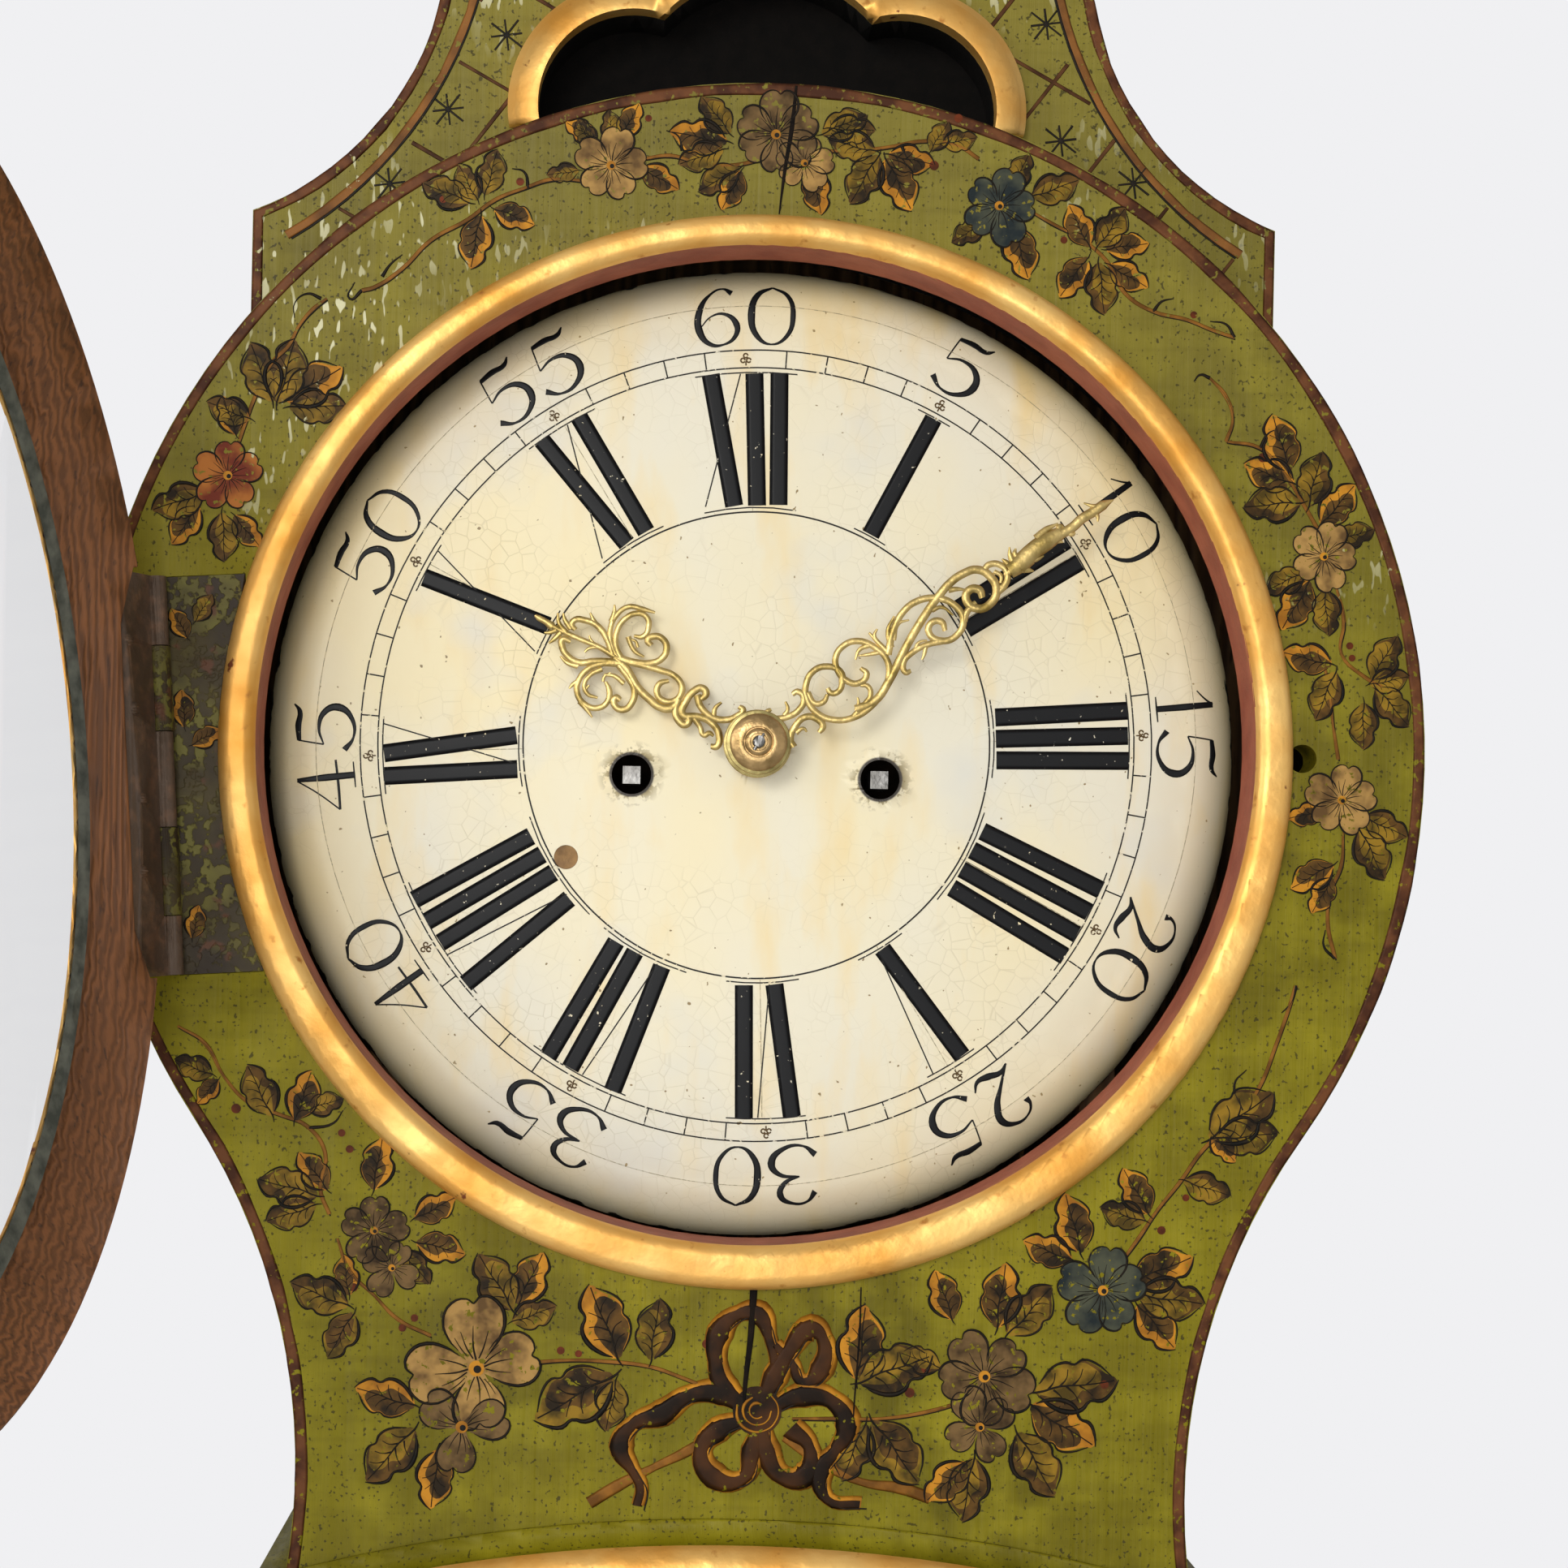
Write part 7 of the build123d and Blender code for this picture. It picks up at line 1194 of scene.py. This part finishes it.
cracks = (
    (CRACK_TOP, [0.5, 0.9, 0.7, 0.25]),
    (CRACK_LOW, [1.5, 1.2, 0.9, 0.3]),
    (CRACK_SIDE, [0.25, 0.4, 0.3, 0.15]),
)
drawing = brushwork([(p, w, False) for p, w in cracks], 0.15, 1, 3)
settle(hang(drawing, BOARD_Y, proud=0.32), "board_cracks", CRACK, "head")

# ---------------------------------------------------------------- dial
# the dial's profile, as distance out and depth back: a flat crown, and a shoulder that falls to the rim
DIAL_R, SHOULDER_R = 194.5, 172.0
SHOULDER_DROP, RIM_DROP = 6.0, 20.0
CROWN = circle((0, 0), (0.58 * SHOULDER_R, 1.7), (SHOULDER_R, SHOULDER_DROP))
SHOULDER = circle((SHOULDER_R, SHOULDER_DROP), (DIAL_R - RIM_DROP / 2.6, RIM_DROP / 2), (DIAL_R, RIM_DROP))


def dial_depth(x, z):
    """How far the painted face lies behind the dial's crown, at a place from the arbor, in mm."""
    reach = math.hypot(x, z + ARBOR_Z - DIAL_Z)
    out, back, radius = CROWN if reach < SHOULDER_R else SHOULDER
    return back - math.sqrt(max(radius**2 - (reach - out) ** 2, 0))


def write(drawing, name, finish, proud=0.10):
    """Lays a drawing on the domed dial, turned as the dial was painted."""
    drawing.data.transform(Matrix.Rotation(math.radians(DIAL_TURN), 4, "Z"))
    for corner in drawing.data.vertices:
        corner.co.z -= dial_depth(corner.co.x + ARBOR[0], corner.co.y)
    origin = (ARBOR[0], HEAD_Z + ARBOR[1])
    return settle(hang(drawing, DIAL_Y, origin, proud), name, finish, "case")


def polar(reach, turn, aside=0.0):
    """A point that far out at that bearing, clockwise from twelve."""
    t = math.radians(turn)
    return (reach * math.sin(t) + aside * math.cos(t), reach * math.cos(t) - aside * math.sin(t))


TRACK = (150.5, 157.6)  # the radii of the minute track's two rings
rings = [(arc((0, 0), r, 0, 360, 72), [w], False) for r, w in zip((*TRACK, 92.6), (0.28, 0.28, 0.32))]
ticks = [([polar(reach, 6 * i) for reach in TRACK], [0.28], True) for i in range(60) if i % 5]
write(brushwork(rings + ticks, 0.08, 1, 3), "minute_track", HAIR_INK)
# faint lines left from setting the dial out
scribed = [(arc((0, 0), 175.4, 0, 360, 72), [0.12], False)]
for i in range(12):
    scribed.append(([polar(reach, 30 * i + 0.6) for reach in (93, 120, 149)], [0.13], False))
write(brushwork(scribed, 0.08, 0, 2), "setting_out_lines", SCRIBED)

trefoils = []
for i in range(12):
    for reach, aside in ((155.4, 0), (153.5, 1.15), (153.5, -1.15)):
        trefoils.append((arc(polar(reach, 30 * i, aside), 0.85, 0, 330, 8), [0.3], False))
    trefoils.append(([polar(153.2, 30 * i), polar(151.4, 30 * i)], [0.28], True))
write(brushwork(trefoils, 0.08, 1, 3), "five_minute_marks", TREFOIL)

INNER, OUTER = 94.6, 148.6
STROKE, HAIR = 3.6, 0.26


def laid_down(start_at, end_at):
    """A straight stroke with points close enough to follow the dome."""
    steps = max(1, math.ceil(math.dist(start_at, end_at) / 7))
    return [tuple(a + (b - a) * i / steps for a, b in zip(start_at, end_at)) for i in range(steps + 1)]


def roman(numeral, turn):
    """The thick and the thin strokes of one numeral, its feet towards the arbor; its serifs are thin."""
    widths = {"I": 10.0, "V": 17.5, "X": 16.5}
    # how far the thick and thin strokes start and end to the side of the letter's middle
    strokes = {"I": ((0, 0), None), "V": ((-0.4, -5.4), (1.6, 8.2)), "X": ((2.2, -4.2), (-9.2, 7.7))}
    thick, thin = [], []
    at = -sum(widths[c] for c in numeral) / 2
    for c in numeral:
        mid = at + widths[c] / 2
        at += widths[c]
        # letters draw together towards the arbor
        for lines, ends in zip((thick, thin), strokes[c]):
            if ends:
                foot = polar(INNER + 0.5, turn, mid * 0.85 + ends[0])
                lines.append(laid_down(foot, polar(OUTER - 0.5, turn, mid + ends[1])))
    for reach, edge in ((INNER - 0.2, 0.85 * at + 2.8), (OUTER, at + 2.2)):
        leans = [math.degrees(edge * share / reach) for share in (-1, -0.5, 0, 0.5, 1)]
        thin.append([polar(reach, turn + lean) for lean in leans])
    return thick, thin


heavy, fine = [], []
for hour, numeral in enumerate(("XII", "I", "II", "III", "IIII", "V", "VI", "VII", "VIII", "IX", "X", "XI")):
    thick, thin = roman(numeral, 30 * hour)
    heavy += [(p, [STROKE], True) for p in thick]
    fine += [(p, [HAIR], True) for p in thin]
write(brushwork(heavy, 0.03, 1, 2), "hour_numerals", INK, 0.08)
write(brushwork(fine, 0.1, 1, 2), "hour_hairlines", HAIR_INK)

# each figure in a box 24 high: its strokes with their half widths
FIGURES = {
    "0": (16.5, (
        ([(8.2, 24), (3.2, 20.5), (1.2, 12), (3.2, 3.5), (8.2, 0), (13.4, 3.5), (15.4, 12), (13.4, 20.5),
          (8.2, 24)],
         [0.4, 1.15, 1.5, 1.1, 0.35, 0.8, 1.1, 0.85, 0.4]),
    )),
    "1": (10.5, (
        ([(0.5, 17.5), (3.4, 20.6), (5.6, 24)], [0.25, 0.35, 0.5]),
        ([(5.6, 24), (5.7, 12), (5.6, 0.5)], [1.15, 1.35, 1.2]),
        ([(1.4, 0.3), (5.6, 0.3), (10, 0.3)], [0.25, 0.4, 0.25]),
    )),
    "2": (16.5, (
        ([(2.6, 17.2), (2.4, 20.2), (5.6, 23.6), (10.4, 23.4), (13.8, 19.4), (12.4, 13.6), (7.6, 7.6),
          (1.4, 0.8)],
         [1.3, 0.6, 0.4, 0.8, 1.5, 1.4, 0.7, 0.3]),
        ([(1.4, 0.8), (4.6, 2.6), (9.2, 1.0), (13.2, 0.4), (15.8, 3.6)], [0.4, 1.0, 1.4, 0.8, 0.3]),
    )),
    "3": (18.4, (
        ([(2.8, 19.4), (5.5, 23.2), (10.6, 23.6), (14.7, 19.8), (12.6, 14.8), (7.6, 12.8)],
         [1.2, 0.5, 0.6, 1.35, 0.9, 0.3]),
        ([(7.6, 12.8), (14.5, 11.2), (16.8, 6.4), (12.2, 0.9), (5.5, 0.5), (1.6, 4.4)],
         [0.3, 0.9, 1.55, 0.9, 0.45, 1.3]),
    )),
    "4": (18.0, (
        ([(11.6, 24), (7.0, 16.2), (0.6, 7.4)], [0.3, 0.3, 0.3]),
        ([(0.6, 7.4), (8, 7.2), (17.6, 7.4)], [0.5, 0.55, 0.45]),
        ([(11.8, 24), (11.9, 12), (11.9, 0.6)], [0.8, 1.4, 1.3]),
        ([(7.6, 0.3), (11.9, 0.3), (16.4, 0.3)], [0.25, 0.35, 0.25]),
    )),
    "5": (17.4, (
        ([(4.0, 22.6), (9.0, 23.2), (13.9, 22.8), (16.4, 25.2)], [0.9, 1.3, 1.0, 0.3]),
        ([(4.0, 23.0), (3.4, 17.6), (2.9, 12.4)], [0.3, 0.3, 0.3]),
        ([(2.9, 12.4), (8.3, 14.6), (14.1, 12.4), (15.7, 6.8), (11.9, 1.2), (5.6, 0.3), (1.3, 3.8)],
         [0.3, 0.6, 1.2, 1.55, 0.9, 0.45, 1.2]),
    )),
    "6": (16.5, (
        ([(14.0, 21.4), (11.2, 23.8), (6.8, 21.8), (2.4, 14.6), (1.8, 6.8), (5.0, 1.0), (9.6, 0.3),
          (14.0, 3.6), (14.6, 8.4), (10.8, 12.8), (6.2, 12.2), (2.6, 8.4)],
         [1.2, 0.4, 0.5, 1.3, 1.5, 0.9, 0.4, 0.9, 1.3, 0.6, 0.3, 0.25]),
    )),
}
FIGURE_FOOT, FIGURE_MIDDLE = 160.0, 171.0  # how far out the figures stand
FIGURE_TALL, FIGURE_WIDE, FIGURE_GAP = 0.98, 1.17, 2.6
figures = []
for i in range(12):
    text = str(5 * i or 60)
    at = -(sum(FIGURE_WIDE * FIGURES[c][0] for c in text) + FIGURE_GAP * (len(text) - 1)) / 2
    for c in text:
        wide, strokes = FIGURES[c]
        wide *= FIGURE_WIDE
        lean = 30 * i + math.degrees((at + wide / 2) / FIGURE_MIDDLE)
        for points, widths in strokes:
            line = [polar(FIGURE_FOOT + z * FIGURE_TALL, lean, FIGURE_WIDE * x - wide / 2) for x, z in points]
            figures.append((line, widths, False))
        at += wide + FIGURE_GAP
write(brushwork(figures, 0.05, 1, 5), "minute_figures", INK, 0.08)

# an old dial foot's rivet shows through the paint
bpy.ops.object.select_all(action="DESELECT")
bpy.ops.mesh.primitive_cylinder_add(vertices=40, radius=4.8 * MM, depth=1.2 * MM)
rivet = eased(0.0002)
rivet.rotation_euler.x = math.radians(90)
rivet.location = ((ARBOR[0] - 74.6) * MM, (DIAL_Y + 1.5) * MM, (ARBOR_Z - 46.0) * MM)
settle(rivet, "dial_foot_rivet", OLD_COPPER, "case")

# ---------------------------------------------------------------- hands
def make_hand(name, node, scrolls, turn, back_y, hub):
    """A cast and chased hand: half-round scrolls on a flat hub."""
    bpy.ops.object.select_all(action="DESELECT")
    lines = []
    for points, first, last in scrolls:
        # the thin scrolls swell in their middle, the broad leaf near the tip does not
        grow = 1.5 if first < 1.5 else 1.0
        widths = [grow * (first + last) / 2] * len(points)
        widths[0], widths[-1] = 0.9 * grow * first, 0.9 * grow * last
        lines.append((points, widths, False))
    hand = brushwork(lines, 0.5, 2, 5)
    bpy.ops.mesh.primitive_cylinder_add(vertices=72, radius=hub, depth=1.5)
    eased(0.35)
    hand.select_set(True)
    bpy.context.view_layer.objects.active = hand
    bpy.ops.object.join()
    hand.data.transform(Matrix.Rotation(math.radians(turn), 4, "Z"))
    hang(hand, back_y - 0.9, (ARBOR[0], ARBOR_Z), 0)
    only(hand)
    bpy.ops.object.shade_smooth_by_angle(angle=math.radians(50))
    settle(hand, name, HAND_GILT, body_of(node))
    second_finish(hand, GREEN_BRASS, lambda c, n: from_axis(c, ARBOR[0], ARBOR_Z) < hub - 0.2)
    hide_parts(node)


make_hand("hour_hand_chased", "hour_hand", HOUR_SCROLLS, HOUR_TURN, -124.0, 13.4)
make_hand("minute_hand_chased", "minute_hand", MINUTE_SCROLLS, MINUTE_TURN, -131.8, 12.6)


def turned(profile, name, finish, body):
    """A round piece on the hands' arbor: its profile is radius and y, in mm."""
    bpy.ops.object.select_all(action="DESELECT")
    bpy.ops.mesh.primitive_plane_add()
    piece = bpy.context.object
    bpy.ops.object.mode_set(mode="EDIT")
    bpy.ops.mesh.select_all(action="SELECT")
    bpy.ops.mesh.delete(type="VERT")
    bpy.ops.object.mode_set(mode="OBJECT")
    corners = [(r * MM, y * MM, 0) for r, y in profile]
    piece.data.from_pydata(corners, [(i, i + 1) for i in range(len(corners) - 1)], [])
    bpy.ops.object.mode_set(mode="EDIT")
    bpy.ops.mesh.select_all(action="SELECT")
    bpy.ops.mesh.spin(steps=96, angle=2 * math.pi, center=(0, 0, 0), axis=(0, 1, 0))
    bpy.ops.mesh.select_all(action="SELECT")
    bpy.ops.mesh.remove_doubles(threshold=1e-6)
    bpy.ops.mesh.normals_make_consistent(inside=False)
    bpy.ops.object.mode_set(mode="OBJECT")
    bpy.ops.object.shade_smooth_by_angle(angle=math.radians(35))
    piece.location = (ARBOR[0] * MM, 0, ARBOR_Z * MM)
    return settle(piece, name, finish, body)


WASHER_PROFILE = (
    (2.5, -133.7), (10.6, -133.7), (11.2, -134.0), (11.2, -134.5), (10.9, -134.9), (9.4, -135.7),
    (7.6, -136.3), (6.4, -136.5), (6.0, -136.4), (5.8, -136.1), (5.5, -136.1), (5.1, -136.5),
    (4.4, -137.0), (4.0, -137.1), (3.5, -137.1), (3.3, -136.7), (2.5, -136.7), (2.5, -133.7),
)
washer = turned(WASHER_PROFILE, "stepped_hub_washer", RED_BRASS, "hands_arbor")
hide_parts("hand_washer")

# a taper pin through the arbor's end holds the washer on
bpy.ops.object.select_all(action="DESELECT")
bpy.ops.mesh.primitive_cone_add(vertices=24, radius1=0.75 * MM, radius2=0.45 * MM, depth=7.6 * MM)
pin = eased(0.0002)
bpy.ops.object.shade_smooth_by_angle(angle=math.radians(40))
pin.rotation_euler.y = math.radians(30)
pin.location = (ARBOR[0] * MM, -138.4 * MM, ARBOR_Z * MM)
settle(pin, "taper_pin", STEEL, "hands_arbor")

# ---------------------------------------------------------------- light, floor and camera
def lamp(name, place, target, size, power, tint):
    bpy.ops.object.light_add(type="AREA", location=place)
    light = bpy.context.object
    light.name = name
    light.data.shape = "DISK"
    light.data.size = size
    light.data.energy = power
    light.data.color = colour(tint)[:3]
    light.rotation_euler = (Vector(target) - Vector(place)).to_track_quat("-Z", "Y").to_euler()


lamp("window_light", (-1.15, -3.2, 2.75), (0, 0, 1.6), 1.2, 44, "#FFFDF8")
lamp("side_light", (-3.0, -1.9, 2.4), (0, 0, 1.6), 1.8, 24, "#FFFDF8")
lamp("fill_light", (2.6, -2.4, 2.2), (0, 0, 1.5), 2.0, 4, "#FFFBF2")
lamp("front_light", (-0.4, -3.6, 1.6), (0, 0, 1.3), 1.6, 28, "#FFFFFF")

bpy.ops.mesh.primitive_plane_add(size=9)
floor = bpy.context.object
floor.name = "floor"
made, tree, place = start("pale_floor")
tone = layered(tree, "#E2E2E1", (speckle(tree, place, 3, 0.3, 0.7), "#DCDCDB"))
floor.data.materials.append(end(made, tree, tone, 0.7))

world = bpy.data.worlds.new("pale_studio")
bpy.context.scene.world = world
world.use_nodes = True
tree = world.node_tree
tree.nodes.clear()
rays = add(tree, "ShaderNodeLightPath").outputs
direct = {0: rays["Is Camera Ray"], 1: rays["Is Transmission Ray"]}
direct = add(tree, "ShaderNodeMath", direct, operation="MAXIMUM").outputs[0]
soft = add(tree, "ShaderNodeBackground", {"Color": "#FFFFFF", "Strength": 0.40}).outputs[0]
mirrored_sky = add(tree, "ShaderNodeBackground", {"Color": "#EDEDED", "Strength": 0.60}).outputs[0]
backdrop = add(tree, "ShaderNodeBackground", {"Color": "#F0F0F2", "Strength": 1.0}).outputs[0]
sky = add(tree, "ShaderNodeMixShader", {0: rays["Is Glossy Ray"], 1: soft, 2: mirrored_sky}).outputs[0]
shown = add(tree, "ShaderNodeMixShader", {0: direct, 1: sky, 2: backdrop}).outputs[0]
add(tree, "ShaderNodeOutputWorld", {"Surface": shown})

SENSOR = 36.0
FOCAL_PIXELS, VIEW_PIXELS = 3180, 1932  # the lens's focal length and the view's width, both in pixels
bpy.ops.object.camera_add(location=(SPOT_X * MM, -1.140, SPOT_Z * MM), rotation=(math.radians(90), -TILT, 0))
camera = bpy.context.object
camera.data.sensor_width = SENSOR
camera.data.lens = SENSOR * FOCAL_PIXELS / VIEW_PIXELS
camera.data.shift_x = 0.0953
camera.data.shift_y = 0.0771
bpy.context.scene.camera = camera
bpy.context.scene.view_settings.view_transform = "Standard"
